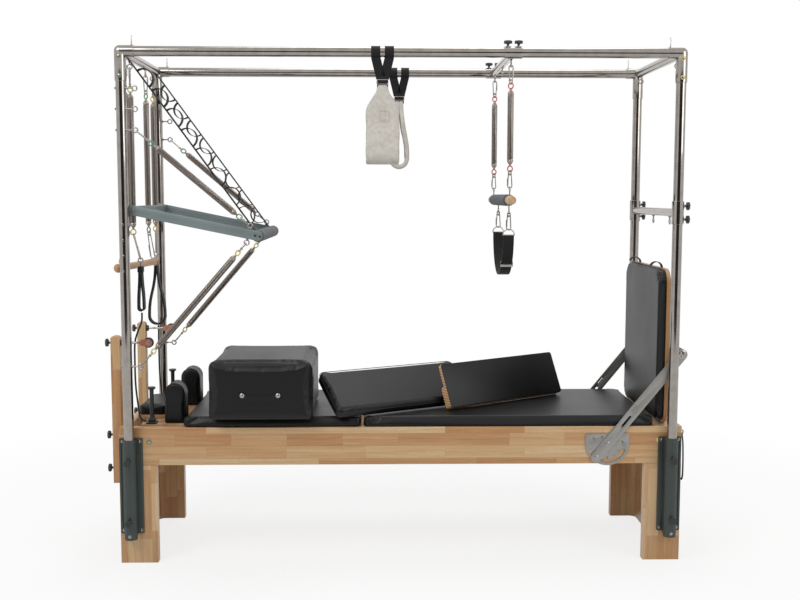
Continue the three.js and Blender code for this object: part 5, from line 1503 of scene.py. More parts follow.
@dataclass
class Canopy:
    """The four posts, the two top tubes and the two canopy ends with their elbows and pins."""

    post_bottom: float = 121.3
    tube_inset: float = 27.0
    elbow_radius: float = 24.0
    elbow_drop: float = 120.0
    elbow_reach: float = 58.0
    pin_height: float = 42.0
    eye_reach: float = 26.0
    upper_eyes: tuple[float, ...] = (1841.0, 1927.0, 2011.0)
    lower_eye: float = 860.0
    arm_places: tuple[float, float] = (-202.0, 262.0)
    roll_places: tuple[float, float] = (-300.0, 108.0)
    trapeze_place: float = 305.0
    hole_pitch: float = 64.5
    pivot_height: float = 1518.0

    def post(self, side: Side, end: End) -> None:
        """A post; the left ones carry eyebolts with nuts behind them, and adjusting holes.

        Args:
            side: the side of the table that it is on.
            end: the end of the table that it is at.
        """
        x = end.value * POST_X
        y = side.value * POST_Y
        word = f"{side.word}_{end.word}"
        piece = Piece(f"post_tube_{word}", STEEL, "frame")
        piece.pipe(at(x, y, self.post_bottom), at(x, y, CANOPY - self.tube_inset), TUBE_RADIUS, 2, 64)
        piece.done(f"post_{word}")
        if end is End.RIGHT:
            return
        bolts = Piece(f"post_eyebolts_{side.word}", HARDWARE, "frame")
        count = 3 if side is Side.FRONT else 2
        for height in (*self.upper_eyes[:count], self.lower_eye):
            seat = at(x + TUBE_RADIUS - 1, y, height)
            eyebolt(bolts, seat, ALONG, ACROSS, self.eye_reach)
            nut = at(x - TUBE_RADIUS + 1, y, height)
            bolts.turned([(0, 0), (5.5, 0), (5.5, 3.4), (4.6, 4.2), (2.2, 4.4), (2.2, 6.5), (0, 6.5)],
                         nut, -ALONG, 6)
        bolts.done()
        holes = Piece(f"adjusting_holes_{side.word}", HARDWARE if side is Side.FRONT else RUBBER, "frame")
        for i in range(1, 5):
            seat = at(x, y + side.value * (TUBE_RADIUS - 0.9), self.pivot_height - i * self.hole_pitch)
            holes.turned([(0, 0), (4.2, 0), (4.2, 1.2), (3.2, 1.6), (2.6, 0.8), (0, 0.8)], seat,
                         ACROSS * side.value, 20)
        holes.done()

    def top_tube(self, side: Side) -> None:
        """One of the long tubes.

        Args:
            side: the side of the table that it is on.
        """
        reach = POST_X - self.tube_inset
        y = side.value * POST_Y
        piece = Piece(f"long_tube_{side.word}", STEEL, "frame")
        piece.pipe(at(-reach, y, CANOPY), at(reach, y, CANOPY), TUBE_RADIUS, 2, 64)
        piece.done(f"top_tube_{side.word}")

    def end(self, end: End) -> None:
        """Two elbows and the end tube between them.

        Args:
            end: the end of the table that it is at.
        """
        way = end.value
        x = way * POST_X
        radius = self.elbow_radius
        piece = Piece(f"canopy_corner_{end.word}", STEEL, "frame")
        inset = POST_Y - radius + 1
        piece.rod(at(x, -inset, CANOPY), at(x, inset, CANOPY), TUBE_RADIUS, 64)
        bolts = Piece(f"canopy_bolts_{end.word}", HARDWARE, "frame")
        for side in Side:
            y = side.value * POST_Y
            reach = x - way * self.elbow_reach
            piece.turned([(TUBE_RADIUS + 0.4, 0), (radius - 1, 0), (radius, 1), (radius, self.elbow_drop)]
                         + [(radius * math.cos(t), self.elbow_drop + radius * math.sin(t))
                            for t in (0.2, 0.4, 0.6, 0.8, 1.0, 1.2, 1.4)] + [(0, self.elbow_drop + radius)]
                         + [(0, self.elbow_drop - 26), (TUBE_RADIUS + 0.4, self.elbow_drop - 26),
                            (TUBE_RADIUS + 0.4, 0)], at(x, y, CANOPY - self.elbow_drop), UP, 64)
            piece.turned([(TUBE_RADIUS + 0.4, 0), (radius - 1, 0), (radius, 1), (radius, self.elbow_reach),
                          (0, self.elbow_reach), (0, 30), (TUBE_RADIUS + 0.4, 30), (TUBE_RADIUS + 0.4, 0)],
                         at(reach, y, CANOPY), ALONG * way, 64)
            pin = at(reach + way * 10, y, CANOPY + radius - 1)
            bolts.turned([(0, 0), (4.6, 0), (4.6, 3), (2.5, 4.2), (2.5, self.pin_height - 3),
                          (1.6, self.pin_height), (0, self.pin_height)], pin, UP, 16)
            for height in (CANOPY - 22, CANOPY - 100):
                bolts.stamp(PARTS.screw(), aim(at(x, y + side.value * (radius - 0.4), height),
                                               ACROSS * side.value))
        piece.done(f"canopy_end_{end.word}")
        under = CANOPY - TUBE_RADIUS
        if end is End.LEFT:
            places = [(place, ACROSS) for place in self.arm_places]
            places += [(place, ALONG) for place in self.roll_places]
        else:
            places = [(-self.trapeze_place, ACROSS), (self.trapeze_place, ACROSS)]
        for place, axis in places:
            eyebolt(bolts, at(x, place, under), -UP, axis)
        bolts.done()
        self.rims(end)

    def rims(self, end: End) -> None:
        """The coloured rims round the elbows' screws.

        Args:
            end: the end of the table that it is at.
        """
        paint = GREEN if end is End.LEFT else YELLOW
        piece = Piece(f"elbow_rims_{end.word}", paint, "frame")
        for side in Side:
            y = side.value * (POST_Y + self.elbow_radius - 0.9)
            for height in (CANOPY - 22, CANOPY - 100):
                piece.turned([(6.6, 0), (9.4, 0), (9.4, 1.2), (8.6, 1.8), (6.6, 1.8), (6.6, 0)],
                             at(end.value * POST_X, y, height), ACROSS * side.value, 24)
        piece.done()

    def build(self) -> None:
        """Builds the canopy."""
        for side in Side:
            self.top_tube(side)
            for end in End:
                self.post(side, end)
        for end in End:
            self.end(end)


@dataclass
class SlidingBars:
    """The trolley on the top tubes and the cross bar on the right posts."""

    clamp: float = 25.0
    bore: float = 21.5
    bar_radius: float = 18.0
    trolley_x: float = 455.0
    trolley_sleeve: float = 72.0
    trolley_spread: float = 22.0
    trolley_eyes: tuple[float, ...] = (-305.0, 0.0, 305.0)
    cross_height: float = 1505.0
    cross_sleeve: float = 96.0
    cross_spread: float = 28.0
    cross_eyes: tuple[float, ...] = (-250.0, 20.0, 290.0)

    def bar(self, name: str, body: str, node: str, middle: Vector, run: Vector, sleeve: float,
            spread: float, knob_out: Vector, eyes: tuple[float, ...]) -> None:
        """A bar between two sleeves.

        Args:
            name: the word that the pieces' names start with.
            body: the body that it rides on.
            node: the CAD node that it stands for.
            middle: the middle of the bar.
            run: the direction of the sleeves.
            sleeve: the length of a sleeve.
            spread: how far a knob lies from the sleeve's middle.
            knob_out: the direction of the knobs.
            eyes: the places of the eyebolts in Y.
        """
        piece = Piece(f"{name}_bar", STEEL, body)
        reach = POST_Y - self.clamp + 2
        piece.rod(middle - ACROSS * reach, middle + ACROSS * reach, self.bar_radius, 64)
        knobs = Piece(f"{name}_knobs", KNOB, body)
        bolts = Piece(f"{name}_eyebolts", HARDWARE, body)
        for side in Side:
            centre = middle + ACROSS * (side.value * POST_Y)
            piece.pipe(centre - run * (sleeve / 2), centre + run * (sleeve / 2), self.clamp,
                       self.clamp - self.bore, 64)
            for shift in (-spread, spread):
                seat = centre + run * shift + knob_out * (self.clamp - 0.5)
                knobs.stamp(PARTS.star(), aim(seat, knob_out))
                bolts.turned([(0, -0.6), (8.4, -0.6), (8.4, 1.6), (7.4, 2.4), (0, 2.4)], seat, knob_out, 28)
        for place in eyes:
            eyebolt(bolts, middle + ACROSS * place - UP * self.bar_radius, -UP, ALONG)
        piece.done(node)
        knobs.done()
        bolts.done()

    def build(self) -> None:
        """Builds both bars."""
        self.bar("trolley", "trolley", "trolley_bar", at(self.trolley_x, 0, CANOPY), ALONG,
                 self.trolley_sleeve, self.trolley_spread, UP, self.trolley_eyes)
        self.bar("cross", "lower_cross_bar", "lower_cross_bar", at(POST_X, 0, self.cross_height), UP,
                 self.cross_sleeve, self.cross_spread, ALONG, self.cross_eyes)


@dataclass
class Spring:
    """A close-wound spring with drawn-in ends, a coloured ring and a hook at each end."""

    radius: float = 12.0
    wire: float = 1.8
    pitch: float = 3.9
    taper: float = 26.0
    neck: float = 4.4
    ring_radius: float = 12.5
    ring_wire: float = 2.8
    ring_reach: float = 19.0
    hook_width: float = 9.0
    hook_waist: float = 0.62
    hook_seat: float = 3.6

    def coil(self, piece: Piece, start: Vector, end: Vector) -> None:
        """Winds the spring between the tips of its two necks.

        Args:
            piece: the piece that it is added to.
            start: the tip of the first neck.
            end: the tip of the last neck.
        """
        along = (end - start).normalized()
        length = (end - start).length
        turns = int((length - 2 * self.taper) / self.pitch)
        piece.helix(start + along * self.taper, end - along * self.taper, self.radius, self.wire, turns, 16)
        for tip, way in ((start, along), (end, -along)):
            piece.turned(self.neck_profile(), tip, way, 24)

    def neck_profile(self) -> list[tuple[float, float]]:
        """The wire's turns as they draw in to the neck.

        Returns:
            The radius and the distance of each step.
        """
        profile = [(0.0, 0.0), (self.neck, 0.0), (self.neck, 4.0)]
        count = int((self.taper - 4) / self.pitch)
        for i in range(count):
            share = (i + 0.5) / count
            outer = self.neck + (self.radius + self.wire - self.neck) * math.sin(share * math.pi / 2)
            height = 4 + i * self.pitch
            profile += [(outer - 1.5, height), (outer - 0.3, height + self.pitch * 0.25),
                        (outer, height + self.pitch * 0.5), (outer - 0.3, height + self.pitch * 0.75)]
        profile += [(self.radius - 0.4, self.taper), (0.0, self.taper)]
        return profile

    def link(self, start: Vector, end: Vector, axis: Vector) -> list[Vector]:
        """The path of a long link between two tips, square to an axis.

        Args:
            start: the first tip.
            end: the last tip.
            axis: the direction that its flat side faces.

        Returns:
            The points of the path, which meets its start.
        """
        up = (end - start).normalized()
        side = up.cross(axis).normalized()
        path = []
        width = self.hook_width
        for tip, way, radius in ((start, -1, width), (end, 1, width * self.hook_waist)):
            centre = tip - up * (way * radius)
            for i in range(11):
                turn = math.pi * i / 10
                path.append(centre + side * (way * math.cos(turn) * radius)
                            + up * (way * math.sin(turn) * radius))
        return path

    def hook(self, piece: Piece, tip: Vector, neck: Vector, axis: Vector) -> None:
        """A snap hook between its far tip and the spring's neck.

        Args:
            piece: the piece that it is added to.
            tip: the inner end of the hook's bow.
            neck: the spring's neck.
            axis: the direction that the hook's flat side faces.
        """
        axis = axis.normalized()
        width = self.hook_width
        piece.sweep(self.link(tip, neck, axis), 2.5, across=axis, closed=True)
        up = (neck - tip).normalized()
        side = up.cross(axis).normalized()
        length = (neck - tip).length
        gate = tip + up * (width + 2) + side * width
        piece.rod(gate, gate + up * max(8.0, length * 0.42), 3.4, 16)
        piece.turned([(0, 0), (4.2, 0), (5.6, 1.5), (5.6, 7), (4.2, 8.5), (0, 8.5)], neck - up * 21, up, 20)

    def rings(self, piece: Piece, start: Vector, end: Vector, axis: Vector) -> None:
        """The painted rings that join the spring's necks to its hooks, askew of the hooks' axis.

        Args:
            piece: the piece that they are added to.
            start: the tip of the first neck.
            end: the tip of the last neck.
            axis: the direction that the hooks face.
        """
        along = (end - start).normalized()
        askew = (axis + along.cross(axis)).normalized()
        for tip, way in ((start, along), (end, -along)):
            piece.ring(tip - way * self.ring_radius, askew, self.ring_radius, self.ring_wire)
            piece.turned([(0, 0), (3.4, 0), (3.4, 6), (0, 6)], tip - way * 4, way, 20)

    def hung(self, names: list[str], body: str, ends: tuple[Vector, Vector], tips: tuple[Vector, Vector],
             axis: Vector, paint: Finish, *nodes: str) -> list[bpy.types.Object]:
        """A whole spring: its coil, its two hooks and its two rings.

        Args:
            names: the names of the three pieces.
            body: the body that they ride on.
            ends: the first and the last end of the coil.
            tips: the far tips of the hooks at those ends.
            axis: the direction that the hooks' flat sides face.
            paint: the finish of the rings.
            nodes: the CAD node that it stands for, if it has one.

        Returns:
            The three finished objects.
        """
        first, last = ends
        reach = (last - first).normalized() * self.ring_reach
        coil = Piece(names[0], WIRE, body)
        self.coil(coil, first, last)
        hooks = Piece(names[1], HARDWARE, body)
        self.hook(hooks, tips[0], first - reach, axis)
        self.hook(hooks, tips[1], last + reach, axis)
        rings = Piece(names[2], paint, body)
        self.rings(rings, first, last, axis)
        return [coil.done(*nodes), hooks.done(), rings.done()]


SPRING = Spring()


@dataclass
class PushBar:
    """The push-through bar, its four springs and its two looped safety straps."""

    length: float = 560.0
    droop: float = 11.6
    pivot_height: float = 1518.0
    arm_inner: float = 334.0
    arm_outer: float = 346.0
    arm_depth: float = 40.0
    cross_inset: float = 32.0
    grip_radius: float = 26.0
    eye_inset: float = 40.0
    eye_reach: float = 26.0
    post_eyes: tuple[float, float] = (1841.0, 860.0)
    long_hook: float = 92.0
    short_hook: float = 66.0
    strap_place: float = 290.0
    strap_width: float = 40.0
    strap_lead: float = 56.0
    strap_tail: float = 24.0
    strap_loops: int = 8
    loop_share: float = 0.42

    def placing(self) -> Matrix:
        """Carries the bar, drawn level from its pivot, to where it hangs."""
        return Matrix.Translation((-POST_X, 0, self.pivot_height)) \
            @ Matrix.Rotation(math.radians(self.droop), 4, "Y")

    def on_bar(self, along: float, y: float, above: float) -> Vector:
        """A point on the bar at a distance from its pivot and above its middle line."""
        return self.placing() @ Vector((along, y, above))

    def frame(self) -> None:
        """The painted arms and the cross plate."""
        piece = Piece("push_bar_frame", BAR_PAINT, "push_bar")
        half = self.arm_depth / 2
        outline = rounded((-half, -half), (self.length + half, half), half - 0.5, 10)
        for side in Side:
            shift = self.arm_outer if side is Side.BACK else -self.arm_inner
            piece.slab(outline, self.arm_outer - self.arm_inner, self.placing() @ upright(shift), 1.6)
        inner = self.arm_inner + 1
        piece.block(at(self.cross_inset, -inner, -half), at(self.cross_inset + 6, inner, half), 1.2,
                    self.placing())
        piece.done("push_bar")

    def grip(self) -> None:
        """The foam grip between the arms, and its end washers."""
        piece = Piece("push_bar_grip", BAR_FOAM, "push_bar")
        end = self.arm_inner - 1
        piece.rod(self.on_bar(self.length, -end, 0), self.on_bar(self.length, end, 0), self.grip_radius,
                  64, 4)
        piece.done()

    def bolts(self) -> None:
        """The pivot bolts, the plate's bolt, the grip's screws and the eyebolts."""
        dark = Piece("push_bar_pivots", RUBBER, "push_bar")
        bright = Piece("push_bar_bolts", HARDWARE, "push_bar")
        middle = (self.arm_inner + self.arm_outer) / 2
        up = self.on_bar(0, 0, 1) - self.on_bar(0, 0, 0)
        for side in Side:
            way = side.value
            out = ACROSS * way
            dark.turned([(0, 0), (11, 0), (11, 1.4), (9, 2.4), (0, 2.4)],
                        self.on_bar(0, way * (self.arm_outer - 0.2), 0), out, 32)
            for shift in (-10, 10):
                seat = self.on_bar(self.length + shift, way * (self.arm_outer - 0.3), 0)
                dark.turned([(0, 0), (4.4, 0), (4.4, 2.2), (3.6, 3), (2, 3), (2, 1), (0, 1)], seat, out, 24)
            bright.stamp(PARTS.screw(), aim(self.on_bar(self.cross_inset + 3, way * self.arm_outer, 0), out))
            for above in (-1, 1):
                seat = self.on_bar(self.length - self.eye_inset, way * middle, above * self.arm_depth / 2)
                eyebolt(bright, seat, up * above, ACROSS, 6.0)
        dark.done()
        bright.done()

    def spring(self, side: Side, upper: bool) -> None:
        """One of the four springs, from its post's eye to the bar's.

        Args:
            side: the side of the table that it is on.
            upper: whether it is an upper one.
        """
        radius = PARTS.eye_radius
        level, height = ("upper", self.post_eyes[0]) if upper else ("lower", self.post_eyes[1])
        start = at(-POST_X + TUBE_RADIUS - 1 + self.eye_reach + radius, side.value * POST_Y, height)
        above = (1 if upper else -1) * (self.arm_depth / 2 + 6 + radius)
        middle = (self.arm_inner + self.arm_outer) / 2
        end = self.on_bar(self.length - self.eye_inset, side.value * middle, above)
        along = (end - start).normalized()
        plane = ACROSS.cross(along).normalized()
        tips = (start + along * SPRING.hook_seat, end - along * SPRING.hook_seat)
        ends = (tips[0] + along * self.long_hook, tips[1] - along * self.short_hook)
        names = [f"bar_{part}_{level}_{side.word}" for part in ("spring", "hooks", "rings")]
        for made in SPRING.hung(names, "push_bar", ends, tips, plane, GREEN if upper else YELLOW,
                                f"{level}_spring_{side.word}"):
            bend(made)

    def strap(self, side: Side) -> None:
        """A looped safety strap, from the canopy's end tube to the bar's grip.

        Args:
            side: the side of the table that it is on.
        """
        tube = at(-POST_X, 0, CANOPY)
        grip = self.on_bar(self.length, 0, 0)
        along = (grip - tube).normalized()
        length = (grip - tube).length - TUBE_RADIUS - self.grip_radius - 2 * SEAT_GAP
        start = tube + along * (TUBE_RADIUS + SEAT_GAP)
        away = along.cross(ACROSS).normalized() * -side.value
        place = ACROSS * (side.value * self.strap_place)
        pitch = (length - self.strap_lead - self.strap_tail) / self.strap_loops
        outer = pitch * self.loop_share
        piece = Piece(f"strap_{side.word}", STRAP, "push_bar")
        first = start + place
        half = self.strap_width / 2
        piece.sweep([first + along * (length * i / 24) for i in range(25)], half, 1.5, across=ACROSS)
        for i in range(self.strap_loops):
            centre = first + along * (self.strap_lead + pitch * (i + 0.5))
            path = []
            for j in range(17):
                turn = math.pi * j / 16
                path.append(centre + along * (math.cos(turn) * (outer - 1.5))
                            + away * (math.sin(turn) * (outer - 1.5) + 1.2))
            piece.sweep(path, half - 1, 1.3, across=ACROSS)
        bend(piece.done(f"safety_strap_{side.word}"))

    def build(self) -> None:
        """Builds the bar with all that hangs it."""
        self.frame()
        self.grip()
        self.bolts()
        for side in Side:
            self.spring(side, True)
            self.spring(side, False)
            self.strap(side)


def bend(made: bpy.types.Object) -> None:
    """Frees a finished piece from its body and bakes its placing into its mesh.

    Args:
        made: the piece.
    """
    world = made.matrix_world.copy()
    made.parent = None
    made.matrix_world = world
    del made["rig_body"]
    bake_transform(made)


def teardrop(bottom: float, top: float, width: float, neck: float) -> list[tuple[float, float]]:
    """The middle line of a hanging loop, as pairs of sideways place and height, up one side and down.

    Args:
        bottom: its lowest height.
        top: the height of its neck.
        width: its greatest width.
        neck: half its width at the neck.

    Returns:
        Points from the neck round the bottom back to the neck.
    """
    radius = width / 2
    middle = (bottom + top) / 2
    side = []
    for i in range(15):
        t = i / 14
        x = neck * ((1 - t) ** 3 + 3 * t * (1 - t) ** 2) + radius * (3 * t * t * (1 - t) + t ** 3)
        z = top * (1 - t) ** 3 + middle * (3 * t * (1 - t) ** 2 + 3 * t * t * (1 - t)) \
            + (bottom + radius) * t ** 3
        side.append((-x, z))
    around = arc((0, bottom + radius), radius, 180, 360, 16)
    other = [(-x, z) for x, z in reversed(side)]
    return side + around[1:-1] + other


@dataclass
class LeftEndHangings:
    """The arm springs with their foot loops, and the roll-down bar on its two springs."""

    eye_height: float = 2117.0
    spring_top: float = 2010.0
    spring_bottom: float = 1430.0
    arm_places: tuple[float, float] = (-202.0, 262.0)
    roll_places: tuple[float, float] = (-300.0, 108.0)
    loop_tops: tuple[float, float] = (1290.0, 1294.0)
    loop_bottoms: tuple[float, float] = (1075.0, 961.0)
    loop_shifts: tuple[float, float] = (28.0, 0.0)
    loop_widths: tuple[float, float] = (30.0, 82.0)
    webbing: float = 38.0
    webbing_thickness: float = 7.0
    bar_height: float = 1270.0
    bar_radius: float = 15.0
    ball_radius: float = 19.0
    bar_length: float = 470.0
    bar_middle: tuple[float, float] = (-1161.0, -100.0)
    bar_twist: float = 7.0

    def hung_spring(self, word: str, body: str, tip: Vector, axis: Vector, paint: Finish,
                    *nodes: str) -> None:
        """A spring from its eye on the canopy down to its lower hook's tip.

        Args:
            word: the word that the pieces' names start with.
            body: the body that it rides on.
            tip: the lower hook's tip.
            axis: the direction that the hooks' flat sides face.
            paint: the finish of its rings.
            nodes: the CAD node that it stands for, if it has one.
        """
        names = [f"{word}_{part}" for part in ("coil", "hooks", "rings")]
        eye, top, bottom = (at(-POST_X, tip.y, height) for height in
                            (self.eye_height - SPRING.hook_seat, self.spring_top, self.spring_bottom))
        SPRING.hung(names, body, (top, bottom), (eye, tip), axis, paint, *nodes)

    def foot_loop(self, index: int, side: Side) -> None:
        """A webbing loop on a ring, folded flat at the front and open at the back.

        Args:
            index: its place in the lists of sizes.
            side: the side of the table that it is on.
        """
        body = f"hand_loop_{side.word}"
        y = self.arm_places[index]
        x = -POST_X + self.loop_shifts[index]
        hook_tip = self.loop_tops[index] + 10
        half = self.webbing_thickness / 2
        top = self.loop_tops[index] - 20
        spring = f"arm_spring_{side.word}"
        self.hung_spring(spring, body, at(x, y, hook_tip), ALONG, YELLOW, spring)
        path = [at(x + across, y, z) for across, z in
                teardrop(self.loop_bottoms[index] + half, top, self.loop_widths[index] - 2 * half,
                         half + 0.6)]
        loop = Piece(f"foot_loop_band_{side.word}", STRAP, body)
        loop.sweep(path, self.webbing / 2, half - 0.2, across=ACROSS)
        reach = self.webbing / 2 + 1
        loop.block(at(x - 11, y - reach, top - 26), at(x + 11, y + reach, top - 4), 3)
        loop.done(f"foot_loop_{side.word}")
        ring = Piece(f"foot_loop_ring_{side.word}", HARDWARE, body)
        ring.ring(at(x, y, hook_tip - SPRING.hook_seat), ACROSS, PARTS.eye_radius, PARTS.eye_wire)
        ring.rod(at(x, y, top - 6), at(x, y, hook_tip - 12.6), 3.4, 16)
        ring.done()

    def roll_bar(self) -> None:
        """The turned bar with its ball ends, on two springs."""
        twist = math.radians(self.bar_twist)
        along = at(math.sin(twist), math.cos(twist), 0)
        middle = at(*self.bar_middle, self.bar_height)
        ends = [middle - along * (self.bar_length / 2), middle + along * (self.bar_length / 2)]
        bar = Piece("roll_bar", TURNED_WOOD, "roll_down_bar")
        bar.rod(ends[0], ends[1], self.bar_radius, 40)
        for end in ends:
            bar.ball(end, self.ball_radius)
        bar.done("roll_down_bar")
        pins = Piece("roll_bar_eyes", HARDWARE, "roll_down_bar")
        limit = self.bar_length / 2 - self.ball_radius
        for i, place in enumerate(self.roll_places):
            reach = (place - self.bar_middle[1]) / math.cos(twist)
            hold = middle + along * max(-limit, min(limit, reach))
            tip = at(hold.x, place, self.bar_height + self.bar_radius)
            self.hung_spring(f"roll_spring_{i + 1}", "roll_down_bar", tip, ACROSS, GREEN)
            foot = at(hold.x, place, self.bar_height + self.bar_radius - 1)
            pins.turned([(0, 0), (6, 0), (6, 1.4), (3.2, 2), (3.2, 5), (0, 5)], foot, UP, 20)
        pins.done()

    def build(self) -> None:
        """Builds what hangs at the left end."""
        for index, side in enumerate(Side):
            self.foot_loop(index, side)
        self.roll_bar()


@dataclass
class Ropes:
    """The two cords from the foot loops past the pulleys to the rope posts."""

    radius: float = 4.0
    turn_at: tuple[int, int] = (3, 1)
    routes: tuple[tuple[tuple[float, float, float], ...], ...] = (
        ((-1123, -206, 1069), (-1124, -214, 1030), (-1140, -224, 985), (-1151, -230, 940),
         (-1152, -234, 860), (-1150, -238, 760), (-1142, -240, 680), (-1134, -240, 622),
         (-1119, -240, 601), (-1104.5, -240, 601)),
        ((-1151, 268, 955), (-1151, 273, 935), (-1152, 274, 890), (-1151, 270, 820),
         (-1148, 260, 740), (-1141, 248, 670), (-1134, 240, 622), (-1119, 240, 601),
         (-1104.5, 240, 601)))

    def rope(self, index: int, side: Side) -> None:
        """One cord, bending from its pulley to the carriage.

        Args:
            index: its place in the lists of sizes.
            side: the side of the table that it is on.
        """
        points = [at(*spot) for spot in self.routes[index]]
        path = smooth_path(points, 8)
        piece = Piece(f"cord_{side.word}", ROPE, "carriage")
        piece.sweep(path, self.radius, sides=16)
        made = piece.done(f"rope_{side.word}")
        bend(made)

    def build(self) -> None:
        """Builds both cords."""
        for index, side in enumerate(Side):
            self.rope(index, side)


@dataclass
class Pulleys:
    """The wooden risers on the left end board, with their knobs, pulley blocks and wheels."""

    place: float = 255.0
    low: tuple[float, float] = (-1246.3, 334.0)
    high: tuple[float, float] = (-1205.3, 976.0)
    depth: float = 40.0
    knob_heights: tuple[float, ...] = (398.0, 544.0, 945.0)
    height: float = 945.0
    wheel_x: float = -1087.0
    swivel_x: float = -1166.0
    wheel_radius: float = 22.0
    wheel_thickness: float = 13.0

    def riser(self, side: Side) -> None:
        """A riser, its three knobs and the flanged bolt of its pulley.

        Args:
            side: the side of the table that it is on.
        """
        y = side.value * self.place
        piece = Piece(f"riser_post_{side.word}", LEG_WOOD, "frame")
        outline = [self.low, (self.high[0], self.low[1])]
        outline += arc((self.high[0] - 16, self.high[1] - 16), 16, 0, 90)
        outline += arc((self.low[0] + 16, self.high[1] - 16), 16, 90, 180)
        piece.slab(outline, self.depth, upright(y + self.depth / 2), 3, segments=3)
        piece.done(f"riser_{side.word}")
        knobs = Piece(f"riser_knobs_{side.word}", KNOB, "frame")
        for height in self.knob_heights:
            knobs.stamp(PARTS.star(), aim(at(self.low[0], y, height), -ALONG))
        knobs.turned([(0, 0), (13, 0), (14, 1.5), (14, 9), (12, 11), (0, 11)],
                     at(self.high[0], y, self.height), ALONG, 32)
        knobs.done()
        bolt = Piece(f"riser_bolt_{side.word}", HARDWARE, "frame")
        bolt.rod(at(self.high[0] - 1, y, self.height), at(self.swivel_x, y, self.height), 5, 24)
        bolt.done()

    def block(self, side: Side) -> None:
        """A pulley block: a swivel stem, a bridge and two cheeks on the axle.

        Args:
            side: the side of the table that it is on.
        """
        y = side.value * self.place
        body = f"pulley_{side.word}"
        bridge = self.wheel_x - self.wheel_radius - 10
        piece = Piece(f"pulley_frame_{side.word}", HARDWARE, body)
        piece.rod(at(self.swivel_x + SEAT_GAP, y, self.height), at(bridge, y, self.height), 5, 24)
        outline = arc((self.wheel_x, self.height), 17, -90, 90, 14)
        outline += [(bridge - 5, self.height + 11), (bridge - 5, self.height - 11)]
        half = self.wheel_thickness / 2 + SEAT_GAP
        cheeks = Piece(f"pulley_cheeks_{side.word}", CHEEK_WOOD, body)
        for face in (-half, half + 4):
            cheeks.slab(outline, 4, upright(y + face), 0.7)
        cheeks.done()
        piece.block(at(bridge - 5, y - half - 1, self.height - 11),
                    at(bridge, y + half + 1, self.height + 11), 1)
        piece.rod(at(self.wheel_x, y - half - 5, self.height), at(self.wheel_x, y + half + 5, self.height),
                  4, 24)
        for face in (-1, 1):
            seat = at(self.wheel_x, y + face * (half + 3.6), self.height)
            piece.turned([(0, 0), (6.5, 0), (6.5, 1), (4.6, 2), (0, 2)], seat, ACROSS * face, 24)
        piece.done(f"pulley_block_{side.word}")

    def wheel(self, side: Side) -> None:
        """A grooved wheel with a hub.

        Args:
            side: the side of the table that it is on.
        """
        half = self.wheel_thickness / 2
        lip = self.wheel_radius
        piece = Piece(f"pulley_disc_{side.word}", KNOB, f"wheel_{side.word}")
        profile = [(4.3, -half), (8, -half), (8.6, -half + 1), (17, -half + 1), (18, -half),
                   (lip - 0.8, -half), (lip, -half + 0.8), (lip, -half + 2), (lip - 3.2, -2.2),
                   (lip - 4.6, 0), (lip - 3.2, 2.2), (lip, half - 2),
                   (lip, half - 0.8), (lip - 0.8, half), (18, half), (17, half - 1), (8.6, half - 1),
                   (8, half), (4.3, half), (4.3, -half)]
        piece.turned(profile, at(self.wheel_x, side.value * self.place, self.height), ACROSS, 48)
        piece.done(f"pulley_wheel_{side.word}")

    def build(self) -> None:
        """Builds both risers with their pulleys."""
        for side in Side:
            self.riser(side)
            self.block(side)
            self.wheel(side)


